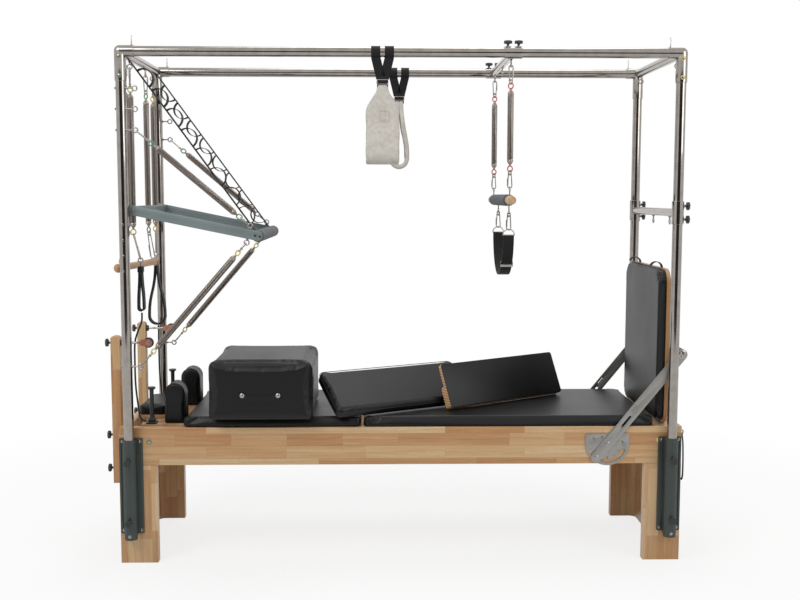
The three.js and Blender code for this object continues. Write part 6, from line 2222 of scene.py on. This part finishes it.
@dataclass
class Footbar:
    """The footbar: two flat arms and a cross tube, on notched plates."""

    pivot: tuple[float, float] = (883.0, 516.0)
    plate_radius: float = 95.0
    plate_top: float = 561.0
    plate_thickness: float = 4.0
    slot_radius: float = 76.0
    slot_half: float = 6.0
    slot_turns: tuple[float, float] = (198.0, 342.0)
    notches: int = 5
    notch_depth: float = 13.0
    arm_length: float = 496.0
    arm_width: float = 46.0
    arm_thickness: float = 5.0
    arm_angle: float = 51.0
    grip_radius: float = 23.0
    slot_start: float = 90.0
    slot_length: float = 66.0

    def slot(self) -> list[tuple[float, float]]:
        """The outline of the arc slot, with its notches on the inner side.

        Returns:
            The points in order.
        """
        start, end = self.slot_turns
        outline = arc(self.pivot, self.slot_radius + self.slot_half, start, end, 48)
        inner = self.slot_radius - self.slot_half
        pitch = (end - start) / self.notches
        for i in range(self.notches - 1, -1, -1):
            high = start + pitch * (i + 0.65)
            low = start + pitch * (i + 0.35)
            outline += arc(self.pivot, inner, start + pitch * (i + 1) - 0.6, high, 4)
            outline += arc(self.pivot, inner - self.notch_depth, high - 0.8, low + 0.8, 3)
            outline += arc(self.pivot, inner, low, start + pitch * i + 0.6, 4)
        return outline

    def plate(self, side: Side) -> None:
        """A D-shaped plate with its arc slot and four screw holes.

        Args:
            side: the side of the table that it is on.
        """
        x, z = self.pivot
        outline = [(x + self.plate_radius - 4, self.plate_top), (x - self.plate_radius + 4, self.plate_top),
                   (x - self.plate_radius, self.plate_top - 4)]
        outline += arc(self.pivot, self.plate_radius, 180, 360, 48)
        outline += [(x + self.plate_radius, self.plate_top - 4)]
        spots = [(x + shift, z + rise) for shift, rise in ((-60, 24), (-24, 30), (40, 26), (64, 8))]
        holes = tuple([arc(spot, 4.2, 0, 342, 19) for spot in spots])
        face = side.value * (HALF_WIDTH + SEAT_GAP)
        skin = face + side.value * self.plate_thickness
        piece = Piece(f"notched_plate_{side.word}", PLATE, "frame")
        piece.slab(outline, self.plate_thickness, upright(max(face, skin)), 0.6, (self.slot(), *holes))
        piece.done(f"footbar_plate_{side.word}")

    def placing(self) -> Matrix:
        """Carries the footbar, drawn along X from its pivot, to its angle."""
        return Matrix.Translation((self.pivot[0], 0, self.pivot[1])) \
            @ Matrix.Rotation(-math.radians(self.arm_angle), 4, "Y")

    def bar(self) -> None:
        """The arms, the cross tube with its foam, and the bolts."""
        half = self.arm_width / 2
        inner = HALF_WIDTH + 2 * SEAT_GAP + self.plate_thickness
        arms = Piece("footbar_arms", PLATE, "footbar")
        bolts = Piece("footbar_bolts", HARDWARE, "footbar")
        outline = (arc((self.arm_length, 0), half, -90, 90, 20)
                   + arc((-self.slot_radius, 0), half, 90, 270, 20))
        slot = rounded((self.slot_start, -5), (self.slot_start + self.slot_length, 5), 4.9, 6)
        marks = self.slot_start + self.slot_length + 20
        short = [arc((marks + 9 * i, 11), 2.4, 0, 330, 11) for i in range(4)]
        for side in Side:
            face = inner + self.arm_thickness if side is Side.BACK else -inner
            arms.slab(outline, self.arm_thickness, self.placing() @ upright(face), 0.8, (slot, *short))
            out = ACROSS * side.value
            skin = side.value * (inner + self.arm_thickness - 0.2)
            for along in (0.0, -self.slot_radius):
                bolts.turned([(0, 0), (9.5, 0), (9.5, 1), (8, 1.6), (8, 3.4), (6.8, 4.2), (3.4, 4.2),
                              (3, 2.6), (0, 2.6)], self.placing() @ Vector((along, skin, 0)), out, 32)
            bolts.turned([(0, 0), (19, 0), (19, 1), (17.6, 1.8), (0, 1.8)],
                         self.placing() @ Vector((self.arm_length, skin, 0)), out, 40)
            for i in range(3):
                turn = math.radians(90 + 120 * i)
                spot = Vector((self.arm_length + 9 * math.cos(turn), skin + side.value * 1.6,
                               9 * math.sin(turn)))
                bolts.stamp(PARTS.screw(), aim(self.placing() @ spot, out))
        arms.done("footbar")
        bolts.done()
        grip = Piece("footbar_grip", FOAM, "footbar")
        reach = inner + 0.4
        grip.rod(self.placing() @ Vector((self.arm_length, -reach, 0)),
                 self.placing() @ Vector((self.arm_length, reach, 0)), self.grip_radius, 64, 3)
        grip.done()

    def build(self) -> None:
        """Builds the footbar on its plates."""
        for side in Side:
            self.plate(side)
        self.bar()


@dataclass
class CarriageSprings:
    """The bar across the base with five springs hooked on it."""

    x: float = 560.0
    z: float = 470.0
    radius: float = 10.0
    length: float = 430.0
    spacing: float = 90.0
    count: int = 5

    def build(self) -> None:
        """Builds the bar, the springs and their knobs."""
        end = HALF_WIDTH - BOARD - SEAT_GAP
        bar = Piece("spring_rail", HARDWARE, "frame")
        bar.rod(at(self.x, -end, self.z), at(self.x, end, self.z), self.radius, 40)
        coils = Piece("carriage_springs", WIRE, "frame")
        caps = Piece("carriage_spring_marks", RED, "frame")
        for i in range(self.count):
            y = (i - (self.count - 1) / 2) * self.spacing
            tip = at(self.x - self.radius + 2, y, self.z)
            far = at(self.x - self.length, y, self.z)
            SPRING.coil(coils, far, tip - ALONG * 20)
            SPRING.rings(caps, far, tip - ALONG * 20, ACROSS)
        bar.done("spring_bar")
        coils.done()
        caps.done()


PRESSURE = 4.0
LAST_FRAME = 20
HELD_BASE = 6.0


def puffed(shape: bmesh.types.BMesh, low: Vector, high: Vector, voxel: float, cap: float) -> bpy.types.Mesh:
    """Blows up a cushion's cover by a short cloth simulation, held at its base.

    Args:
        shape: the closed cover, in millimetres; it is freed.
        low: the lowest corner that it may reach.
        high: the highest one.
        voxel: the size of the even grid that it is cut into.
        cap: how far a point may move.
    """
    bmesh.ops.scale(shape, vec=(MILLIMETRE,) * 3, verts=shape.verts)
    data = as_mesh("cover", shape)
    data = stuffed(data, low.z + HELD_BASE, voxel, cap)
    data.transform(Matrix.Scale(1 / MILLIMETRE, 4))
    for vertex in data.vertices:
        for axis in range(3):
            vertex.co[axis] = min(max(vertex.co[axis], low[axis]), high[axis])
    return data


def stuffed(data: bpy.types.Mesh, floor: float, voxel: float, cap: float) -> bpy.types.Mesh:
    """Runs the simulation on a cover.

    Args:
        data: the cover, in metres.
        floor: the height in millimetres under which its points are held.
        voxel: the size of the even grid that it is cut into, in millimetres.
        cap: how far a point may move, in millimetres.

    Returns:
        The swollen cover, in metres.
    """
    scene = bpy.context.scene
    dummy = linked("cover", data)
    grid = dummy.modifiers.new("even_grid", "REMESH")
    grid.mode = "VOXEL"
    grid.voxel_size = voxel * MILLIMETRE
    even = bpy.data.meshes.new_from_object(dummy.evaluated_get(bpy.context.evaluated_depsgraph_get()))
    dummy.modifiers.clear()
    dummy.data = even
    held = dummy.vertex_groups.new(name="base")
    held.add([v.index for v in even.vertices if v.co.z < floor * MILLIMETRE], 1.0, "REPLACE")
    cloth = dummy.modifiers.new("stuffing", "CLOTH")
    settings = cloth.settings
    settings.quality = 2
    settings.mass = 0.3
    settings.tension_stiffness = 30
    settings.compression_stiffness = 30
    settings.bending_stiffness = 2
    settings.use_pressure = True
    settings.uniform_pressure_force = PRESSURE
    settings.vertex_group_mass = "base"
    settings.effector_weights.gravity = 0
    cloth.point_cache.frame_start = 1
    cloth.point_cache.frame_end = LAST_FRAME
    for number in range(1, LAST_FRAME + 1):
        scene.frame_set(number)
    made = bpy.data.meshes.new_from_object(dummy.evaluated_get(bpy.context.evaluated_depsgraph_get()))
    for before, after in zip(even.vertices, made.vertices):
        shift = after.co - before.co
        if shift.length > cap * MILLIMETRE:
            after.co = before.co + shift * (cap * MILLIMETRE / shift.length)
    scene.frame_set(1)
    bpy.data.objects.remove(dummy)
    return made


@dataclass
class Cushion:
    """A stuffed piece, drawn flat on its base and then placed."""

    name: str
    node: str
    low: Vector
    high: Vector
    corner: float
    finish: Finish = VINYL
    edge: float = 9.0
    slack: float = 3.0
    voxel: float = 6.0
    cap: float = 12.0
    fill: float = 0.85
    seams: tuple[float, ...] = ()
    placing: Matrix = field(default_factory=Matrix)

    def build(self) -> bpy.types.Object:
        """Builds the cushion and its piping.

        Returns:
            The cover.
        """
        shape = bmesh.new()
        slack = Vector((self.slack, self.slack, 0))
        inner_low, inner_high = self.low + slack, self.high - slack - UP * self.slack
        corners = [shape.verts.new((x, y, inner_low.z)) for x, y in
                   rounded(inner_low.xy[:], inner_high.xy[:], self.corner - self.slack, 8)]
        bottom = shape.faces.new(corners)
        top = only(bmesh.ops.extrude_face_region(shape, geom=[bottom])["geom"], bmesh.types.BMVert)
        bmesh.ops.translate(shape, vec=UP * (inner_high.z - inner_low.z), verts=top)
        bmesh.ops.recalc_face_normals(shape, faces=shape.faces)
        rims = [e for e in shape.edges if abs(e.verts[0].co.z - e.verts[1].co.z) < 0.01]
        bmesh.ops.bevel(shape, geom=rims, offset=self.edge, segments=4, profile=0.5, affect="EDGES",
                        material=-1)
        cover = puffed(shape, self.low, self.high, self.voxel, self.cap)
        body = frame["nodes"][self.node]["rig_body"]
        piece = Piece(self.name, self.finish, body)
        piece.stamp(cover, self.placing)
        made = piece.done(self.node, soft=SOFT_ANGLE)
        if self.seams:
            piping = Piece(f"{self.name}_piping", PIPING, body)
            for height in self.seams:
                line = rounded((self.low.x + 1.6, self.low.y + 1.6), (self.high.x - 1.6, self.high.y - 1.6),
                               self.corner, 8)
                path = [self.placing @ Vector((x, y, height)) for x, y in line]
                piping.sweep(path, 1.5, sides=8, closed=True)
            piping.done()
        return made


@dataclass
class Carriage:
    """The deck with its wheels and rope posts, the pad, the shoulder rests and the headrest."""

    left: float = -1125.0
    right: float = -174.0
    half_width: float = 262.0
    thickness: float = 22.0
    wheel_radius: float = 22.0
    wheel_inset: float = 110.0
    track_top: float = 538.0
    post_x: float = -1082.0
    post_y: float = 240.0
    pad_left: float = -938.0
    pad_bottom: float = 592.4
    pad_top: float = 634.4

    def deck(self) -> None:
        """The wooden deck."""
        piece = Piece("deck_board", CROSS_WOOD, "carriage")
        piece.block(at(self.left, -self.half_width, FRAME_TOP - self.thickness),
                    at(self.right, self.half_width, FRAME_TOP), 2)
        piece.done("carriage_deck")
        wheels = Piece("deck_wheels", RUBBER, "carriage")
        lugs = Piece("deck_lugs", HARDWARE, "carriage")
        z = self.track_top + SEAT_GAP + self.wheel_radius
        for side in Side:
            way = side.value
            near = way * (HALF_WIDTH - BOARD - 29.5)
            for x in (self.left + self.wheel_inset, self.right - self.wheel_inset):
                wheels.rod(at(x, near, z), at(x, near + way * 18, z), self.wheel_radius, 40, 2.5)
                lugs.rod(at(x, way * (self.half_width - 18), z), at(x, near + way * 1, z), 5, 20)
                lugs.block(at(x - 11, way * (self.half_width - 18), z - 11),
                           at(x + 11, way * self.half_width, FRAME_TOP - self.thickness + 1), 1)
        wheels.done()
        lugs.done()

    def rope_posts(self) -> None:
        """The black posts that the cords are tied to."""
        piece = Piece("rope_posts", KNOB, "carriage")
        for side in Side:
            y = side.value * self.post_y
            piece.block(at(self.post_x - 22, y - 22, FRAME_TOP - 0.4), at(self.post_x + 22, y + 22, 598), 2.5)
            piece.block(at(self.post_x - 15, y - 15, 597), at(self.post_x + 15, y + 15, 612), 4)
            profile = [(0, 0), (12.6, 0), (10, 8), (9, 20), (9, 122), (11, 128), (16.4, 130), (17.1, 132),
                       (17.1, 136), (16, 138), (0, 139)]
            piece.turned(profile, at(self.post_x, y, 611.5), UP, 32)
        piece.done()

    def shoulder_rest(self, side: Side) -> None:
        """A stuffed block with a round top and piping round both faces.

        Args:
            side: the side of the table that it is on.
        """
        x0, x1 = self.pad_left - SEAT_GAP - 88, self.pad_left - SEAT_GAP
        y0, y1 = sorted((side.value * 150, side.value * 250))
        base = FRAME_TOP + SEAT_GAP
        middle = (x0 + x1) / 2
        outline = [(x0 + 2, base), (x1 - 2, base)] + arc((middle, base + 132), 42, 0, 180, 20)
        shape = bmesh.new()
        corners = [shape.verts.new((x, y0 + 2, z)) for x, z in outline]
        face = shape.faces.new(corners)
        moved = only(bmesh.ops.extrude_face_region(shape, geom=[face])["geom"], bmesh.types.BMVert)
        bmesh.ops.translate(shape, vec=ACROSS * (y1 - y0 - 4), verts=moved)
        bmesh.ops.recalc_face_normals(shape, faces=shape.faces)
        rims = [e for e in shape.edges if abs(e.verts[0].co.y - e.verts[1].co.y) < 0.01]
        bmesh.ops.bevel(shape, geom=rims, offset=8, segments=4, profile=0.5, affect="EDGES", material=-1)
        cover = puffed(shape, at(x0, y0, base), at(x1, y1, base + 176), 4.0, 8.0)
        word = f"shoulder_rest_{side.word}"
        piece = Piece(f"{word}_pad", VINYL, "carriage")
        piece.stamp(cover, Matrix())
        piece.done(word, soft=SOFT_ANGLE)
        piping = Piece(f"{word}_piping", PIPING, "carriage")
        for y in (y0 + 8, y1 - 8):
            line = [(x0 + 1.5, base + 4), (x1 - 1.5, base + 4)] + arc((middle, base + 132), 42.5, 0, 180, 20)
            piping.sweep([at(x, y, z) for x, z in line], 1.5, sides=8, across=ACROSS, closed=True)
        piping.done()

    def headrest(self) -> None:
        """The stuffed headrest on its hinged board."""
        base = FRAME_TOP + SEAT_GAP
        board = Piece("headrest_board", CROSS_WOOD, "headrest")
        board.block(at(-1165.7, -144.7, base), at(-1036.3, 144.7, base + 16.4), 2.5)
        board.done()
        Cushion("headrest_pad", "headrest", at(-1166, -145, base + 16), at(-1036, 145, base + 62), 28,
                edge=9, voxel=5, seams=(base + 25,)).build()

    def build(self) -> None:
        """Builds the carriage."""
        self.deck()
        self.rope_posts()
        Cushion("carriage_cushion", "carriage_pad", at(self.pad_left, -336, self.pad_bottom),
                at(-170, 336, self.pad_top), 28).build()
        for side in Side:
            self.shoulder_rest(side)
        self.headrest()


@dataclass
class FillerMat:
    """The padded mat that fills the base beside the carriage."""

    left: float = -168.0
    right: float = 1088.0
    bottom: float = 590.3
    top: float = 634.4

    def build(self) -> None:
        """Builds the mat and its board."""
        softened("mat_deck", RAIL_WOOD, 1.5)
        Cushion("mat_cushion", "mat_pad", at(self.left, -336, self.bottom), at(self.right, 336, self.top),
                28).build()


@dataclass
class Jumpboard:
    """The padded board that stands at the right end, with two strap loops."""

    panel_left: float = 1132.0
    panel_right: float = 1148.0
    bottom: float = 590.3
    height: float = 674.0
    half_width: float = 315.0
    corner: float = 60.0
    loop_places: tuple[float, float] = (-190.0, 190.0)
    loop_radius: float = 27.0

    def build(self) -> None:
        """Builds the panel, the pad and the loops."""
        panel = Piece("jump_panel", INNER_WOOD, "jumpboard")
        top = self.bottom + self.height
        outline = rounded((-self.half_width, self.bottom), (self.half_width, top), self.corner, 12)
        stand = Matrix(((0, 0, 1, self.panel_left), (1, 0, 0, 0), (0, 1, 0, 0), (0, 0, 0, 1)))
        panel.slab(outline, self.panel_right - self.panel_left, stand, 2.5, segments=3)
        panel.done("jumpboard_panel")
        loops = Piece("jump_loops", STRAP, "jumpboard")
        centre = (self.panel_left + self.panel_right) / 2 - self.loop_radius + 1.5
        for place in self.loop_places:
            line = arc((centre, top - 1), self.loop_radius - 1.5, 0, 160, 20)
            loops.sweep([at(x, place, z) for x, z in line], 16, 1.5, across=ACROSS)
        loops.done()
        lay = Matrix(((0, 0, -1, self.panel_left - SEAT_GAP), (1, 0, 0, 0), (0, 1, 0, 0), (0, 0, 0, 1)))
        Cushion("jump_cushion", "jumpboard_pad", at(-self.half_width, 594.8, 0),
                at(self.half_width, top - SEAT_GAP, 32), self.corner, edge=7, seams=(9,), placing=lay).build()


@dataclass
class Trapeze:
    """The trapeze under the trolley: two springs, a foam-covered bar and a webbing sling."""

    x: float = 455.0
    place: float = 305.0
    trolley_eye: float = 2120.0
    spring_top: float = 2020.0
    spring_bottom: float = 1700.0
    bar_height: float = 1556.0
    bar_length: float = 780.0
    bar_radius: float = 18.0
    grip_radius: float = 25.0
    grip_length: float = 560.0
    hook_reach: float = 25.6
    sling_places: tuple[float, float] = (-285.0, 105.0)
    sling_top: float = 1410.0
    sling_bottom: float = 1226.0
    sling_width: float = 46.0

    def spring(self, side: Side) -> None:
        """A trapeze spring with its hooks and rings.

        Args:
            side: the side of the table that it is on.
        """
        y = side.value * self.place
        top, bottom = at(self.x, y, self.spring_top), at(self.x, y, self.spring_bottom)
        tips = (at(self.x, y, self.trolley_eye - SPRING.hook_seat),
                at(self.x, y, self.bar_height + self.grip_radius + self.hook_reach))
        names = [f"trapeze_{part}_{side.word}" for part in ("coil", "hooks", "rings")]
        SPRING.hung(names, "trapeze", (top, bottom), tips, ACROSS, RED, f"trapeze_spring_{side.word}")

    def bar(self) -> None:
        """The wooden bar, its foam and its eyebolts."""
        half = self.bar_length / 2
        grip = self.grip_length / 2
        wood = Piece("trapeze_wood", TURNED_WOOD, "trapeze")
        wood.rod(at(self.x, -half, self.bar_height), at(self.x, half, self.bar_height), self.bar_radius,
                 12, 3)
        wood.done("trapeze_bar")
        foam = Piece("trapeze_foam", FOAM, "trapeze")
        foam.rod(at(self.x, -grip, self.bar_height), at(self.x, grip, self.bar_height), self.grip_radius,
                 48, 5)
        foam.done()
        eyes = Piece("trapeze_eyebolts", HARDWARE, "trapeze")
        deep = self.grip_radius - self.bar_radius + 0.5
        for y in (-self.place, self.place):
            eyebolt(eyes, at(self.x, y, self.bar_height + self.grip_radius - deep), UP, ALONG, 12 + deep)
        for y in self.sling_places:
            eyebolt(eyes, at(self.x, y, self.bar_height - self.grip_radius + deep), -UP, ALONG, 12 + deep)
        eyes.done()

    def sling(self) -> None:
        """The sling: two hooks, two half-round rings, a doubled webbing bight and its buckle."""
        near, far = self.sling_places
        middle, half = (near + far) / 2, (far - near) / 2
        depth = self.sling_top - self.sling_bottom - 2
        band = Piece("sling_band", STRAP, "trapeze_sling")
        path = []
        for i in range(41):
            turn = math.pi + math.pi * i / 40
            path.append(at(self.x, middle + half * math.cos(turn), self.sling_top + depth * math.sin(turn)))
        band.sweep(path, self.sling_width / 2, 1.9, across=ALONG)
        inner = [point + UP * 3.6 if 4 < i < 36 else point + UP * 2 for i, point in enumerate(path)]
        band.sweep(inner[2:15], self.sling_width / 2 - 1, 1.2, across=ALONG)
        band.done("trapeze_sling")
        hardware = Piece("sling_hardware", HARDWARE, "trapeze_sling")
        radius = self.sling_width / 2 + 2
        for y in self.sling_places:
            tip = at(self.x, y, self.bar_height - self.grip_radius - self.hook_reach)
            SPRING.hook(hardware, at(self.x, y, self.sling_top + 20), tip, ACROSS)
            line = [at(self.x + across, y, self.sling_top - 2 + rise) for across, rise in
                    arc((0, 0), radius, 0, 180, 20)]
            hardware.sweep(line, 2.4, sides=10, closed=True, across=ACROSS)
        place = path[10]
        hardware.block(at(self.x - 27, place.y - 4, place.z - 12),
                       at(self.x + 27, place.y - 1, place.z + 12), 1)
        hardware.done()

    def build(self) -> None:
        """Builds the trapeze."""
        for side in Side:
            self.spring(side)
        self.bar()
        self.sling()


@dataclass
class FleeceSlings:
    """The two fleece slings: black straps over the top tubes, a neck and a padded white loop."""

    places: tuple[float, float] = (-82.0, 2.0)
    spread: float = 56.0
    strap_width: float = 38.0
    strap_bore: float = 21.8
    join_height: float = 2052.0
    top: float = 2026.0
    bottom: float = 1706.0
    face: float = 138.0
    depth: float = 92.0
    thickness: float = 16.0
    shoulder: float = 110.0
    loft: float = 2.5
    patch_half: float = 20.0
    patch_height: float = 1905.0
    seed: int = 3

    def straps(self, index: int, side: Side) -> None:
        """The two straps over the tube, drawn together to a sewn neck with its ring.

        Args:
            index: its place in the lists of sizes.
            side: the side of the table that it is on.
        """
        x = self.places[index]
        y = side.value * POST_Y
        body = f"fleece_{side.word}"
        piece = Piece(f"fleece_straps_{side.word}", STRAP, body)
        radius = self.strap_bore + 1.5
        for way in (-1, 1):
            foot = x + way * self.spread / 2
            line = arc((0, 0), radius, -68, 248, 40)
            ends = [at(x + way * 7, y + 5, self.join_height), at(x + way * 7, y - 5, self.join_height)]
            path = [at(foot, y + across, CANOPY + rise) for across, rise in line]
            near, far = ends[0].lerp(path[0], 0.6), ends[1].lerp(path[-1], 0.6)
            path = [ends[0], near, *path, far, ends[1]]
            piece.sweep(path, self.strap_width / 2, 1.4, across=ALONG)
        neck = self.strap_width / 2
        piece.block(at(x - neck - 4, y - 9.5, self.top - 12),
                    at(x + neck + 4, y + 9.5, self.join_height + 12), 3)
        piece.done(f"fleece_sling_{side.word}")
        buckle = Piece(f"fleece_buckle_{side.word}", HARDWARE, body)
        line = rounded((x - neck - 5, self.join_height - 22), (x + neck + 5, self.join_height - 4), 4)
        buckle.sweep([at(u, y - 8.4, z) for u, z in line], 1.8, sides=8, across=ACROSS, closed=True)
        buckle.done()

    def loop(self, index: int, side: Side) -> None:
        """The padded loop: face on at the front, edge on at the back.

        Args:
            index: its place in the lists of sizes.
            side: the side of the table that it is on.
        """
        x = self.places[index]
        y = side.value * POST_Y
        half = self.thickness / 2
        line = teardrop(self.bottom + half, self.top, self.depth - 2 * half, half + 1)
        half += self.loft
        if index == 0:
            path = [at(x, y + across, z) for across, z in line]
            width_way = ALONG
        else:
            path = [at(x + across, y, z) for across, z in line]
            width_way = ACROSS
        piece = Piece(f"fleece_loop_{side.word}", WOOL, f"fleece_{side.word}")
        piece.sweep(path, self.face / 2, half, across=width_way)
        piece.shape_by(lambda spot: self.drawn_in(spot, at(x, y, 0), width_way))
        made = piece.done(soft=math.radians(80))
        if side is Side.FRONT:
            self.patch(x, y)
        rounding = made.modifiers.new("rounding", "BEVEL")
        rounding.width = half * 0.8 * MILLIMETRE
        rounding.segments = 4
        rounding.limit_method = "ANGLE"

    def patch(self, x: float, y: float) -> None:
        """The stitched square on the front sling's face.

        Args:
            x: the sling's place along the table.
            y: the sling's place across the table.
        """
        line = []
        half = self.patch_half
        for across, rise in rounded((-half, -half), (half, half), 6):
            share = (self.patch_height + rise - self.bottom) / (self.top - self.bottom)
            bulge = self.depth / 2 * math.sin(math.pi * min(1.0, share + 0.08)) ** 0.8
            line.append(at(x + across, y - min(bulge, self.depth / 2) - 0.4, self.patch_height + rise))
        stitches = Piece("fleece_stitches", WOOL, "fleece_front")
        stitches.sweep(line, 1.5, sides=8, closed=True)
        stitches.done()

    def drawn_in(self, spot: Vector, middle: Vector, way: Vector) -> Vector:
        """Draws a point of the loop in to the neck, and lets the fleece swell and dip a little.

        Args:
            spot: the point.
            middle: the sling's middle on the floor.
            way: the direction of the band's width.

        Returns:
            The moved point.
        """
        share = min(max((spot.z - self.top + self.shoulder) / self.shoulder, 0.0), 1.0)
        width = 1.0 - 0.72 * (1 - math.cos(share * math.pi)) / 2
        off = (spot - middle).dot(way)
        lump = noise.noise_vector(spot * 0.02) * 3.0
        return spot + way * (off * (width - 1.0)) + lump * (1.0 - share)

    def build(self) -> None:
        """Builds both slings, with the same lumps at each run."""
        noise.seed_set(self.seed)
        for index, side in enumerate(Side):
            self.straps(index, side)
            self.loop(index, side)


@dataclass
class SittingBox:
    """The upholstered box with its strap handles."""

    low: tuple[float, float, float] = (-815.0, -400.0, 634.7)
    high: tuple[float, float, float] = (-377.0, 100.0, 886.7)
    handle_half: float = 75.0
    droop: float = 22.0

    def handle(self) -> None:
        """The drooping strap on two screws, and the small one on the left side."""
        low, high = at(*self.low), at(*self.high)
        middle = (low.x + high.x) / 2
        height = (low.z + high.z) / 2 - 20
        strap = Piece("box_handle", STRAP, "sitting_box")
        path = []
        for i in range(21):
            share = i / 20 * 2 - 1
            path.append(at(middle + share * (self.handle_half + 12), low.y - 1.4,
                           height - self.droop * (1 - share * share)))
        strap.sweep(path, 1.4, 17, across=ACROSS)
        side_height = height + 30
        edge = low.y + 90
        line = [at(low.x - 1.2, edge + 9 * i, side_height - 7 * (1 - (i / 5 - 1) ** 2)) for i in range(11)]
        strap.sweep(line, 1.2, 9, across=ALONG)
        strap.done()
        screws = Piece("box_screws", HARDWARE, "sitting_box")
        for way in (-1, 1):
            seat = at(middle + way * self.handle_half, low.y - 2.6, height - 1)
            screws.turned([(0, 0), (9.5, 0), (9.5, 0.8), (7.6, 2.2), (3, 2.8), (2.6, 1.8), (0, 1.8)], seat,
                          -ACROSS, 28)
        screws.done()

    def build(self) -> None:
        """Builds the box."""
        low, high = at(*self.low), at(*self.high)
        Cushion("box_cover", "sitting_box", low, high, 20, BOX_VINYL, edge=15, slack=2.5).build()
        self.handle()


def leaning(origin: Vector, turn: float, lean: float) -> Matrix:
    """Placing of a leaning board: X along its lower edge, Y up its slope, Z out of its face.

    Args:
        origin: its corner at the foot.
        turn: how far its lower edge is turned from X, in degrees.
        lean: how far its slope rises from level, in degrees.

    Returns:
        The placing.
    """
    phi, tau = math.radians(turn), math.radians(lean)
    along = at(math.cos(phi), math.sin(phi), 0)
    back = at(-math.sin(phi), math.cos(phi), 0)
    slope = back * math.cos(tau) + UP * math.sin(tau)
    basis = Matrix((along, slope, along.cross(slope))).transposed().to_4x4()
    return Matrix.Translation(origin) @ basis


@dataclass
class LooseBoards:
    """The padded board and the platform board that lean on the mat."""

    padded_origin: tuple[float, float, float] = (-279.1, -383.0, 631.5)
    padded_turn: float = 28.8
    padded_lean: float = 36.0
    padded_size: tuple[float, float, float] = (690.0, 248.0, 50.0)
    platform_origin: tuple[float, float, float] = (200.7, -191.9, 634.7)
    platform_turn: float = 34.4
    platform_lean: float = 66.0
    platform_size: tuple[float, float] = (666.0, 198.0)
    layer: float = 20.0
    cleat_width: float = 100.0

    def platform(self) -> None:
        """Two layers of plywood with a black face."""
        placing = leaning(at(*self.platform_origin), self.platform_turn, self.platform_lean)
        board = Piece("platform_layers", PLY, "platform_board")
        face = rounded((0, 0), self.platform_size, 12, 8)
        board.slab(face, self.layer - 3, placing @ Matrix.Translation((0, 0, self.layer)), 1.2)
        cleat = rounded((0, 0), (self.platform_size[0], self.cleat_width), 12, 8)
        board.slab(cleat, self.layer + 0.5, placing, 1.2)
        board.done("platform_board")
        skin = Piece("platform_face", BOX_VINYL, "platform_board")
        skin.slab(face, 3.4, placing @ Matrix.Translation((0, 0, 2 * self.layer - 3.4)), 1.6)
        skin.done()

    def build(self) -> None:
        """Builds both boards."""
        placing = leaning(at(*self.padded_origin), self.padded_turn, self.padded_lean)
        Cushion("padded_board_cover", "padded_board", at(0, 0, 0), at(*self.padded_size), 28, BOX_VINYL,
                edge=11, voxel=5, seams=(38,), placing=placing).build()
        self.platform()


def main() -> None:
    """Builds the studio and the table, piece by piece."""
    logging.basicConfig(level=logging.INFO, format="%(message)s")
    Studio().build()
    Ropes().build()
    WoodenBase().build()
    PostSockets().build()
    Canopy().build()
    SlidingBars().build()
    PushBar().build()
    LeftEndHangings().build()
    Pulleys().build()
    Footbar().build()
    CarriageSprings().build()
    Carriage().build()
    FillerMat().build()
    Jumpboard().build()
    Trapeze().build()
    FleeceSlings().build()
    SittingBox().build()
    LooseBoards().build()


if __name__ == "__main__":
    main()
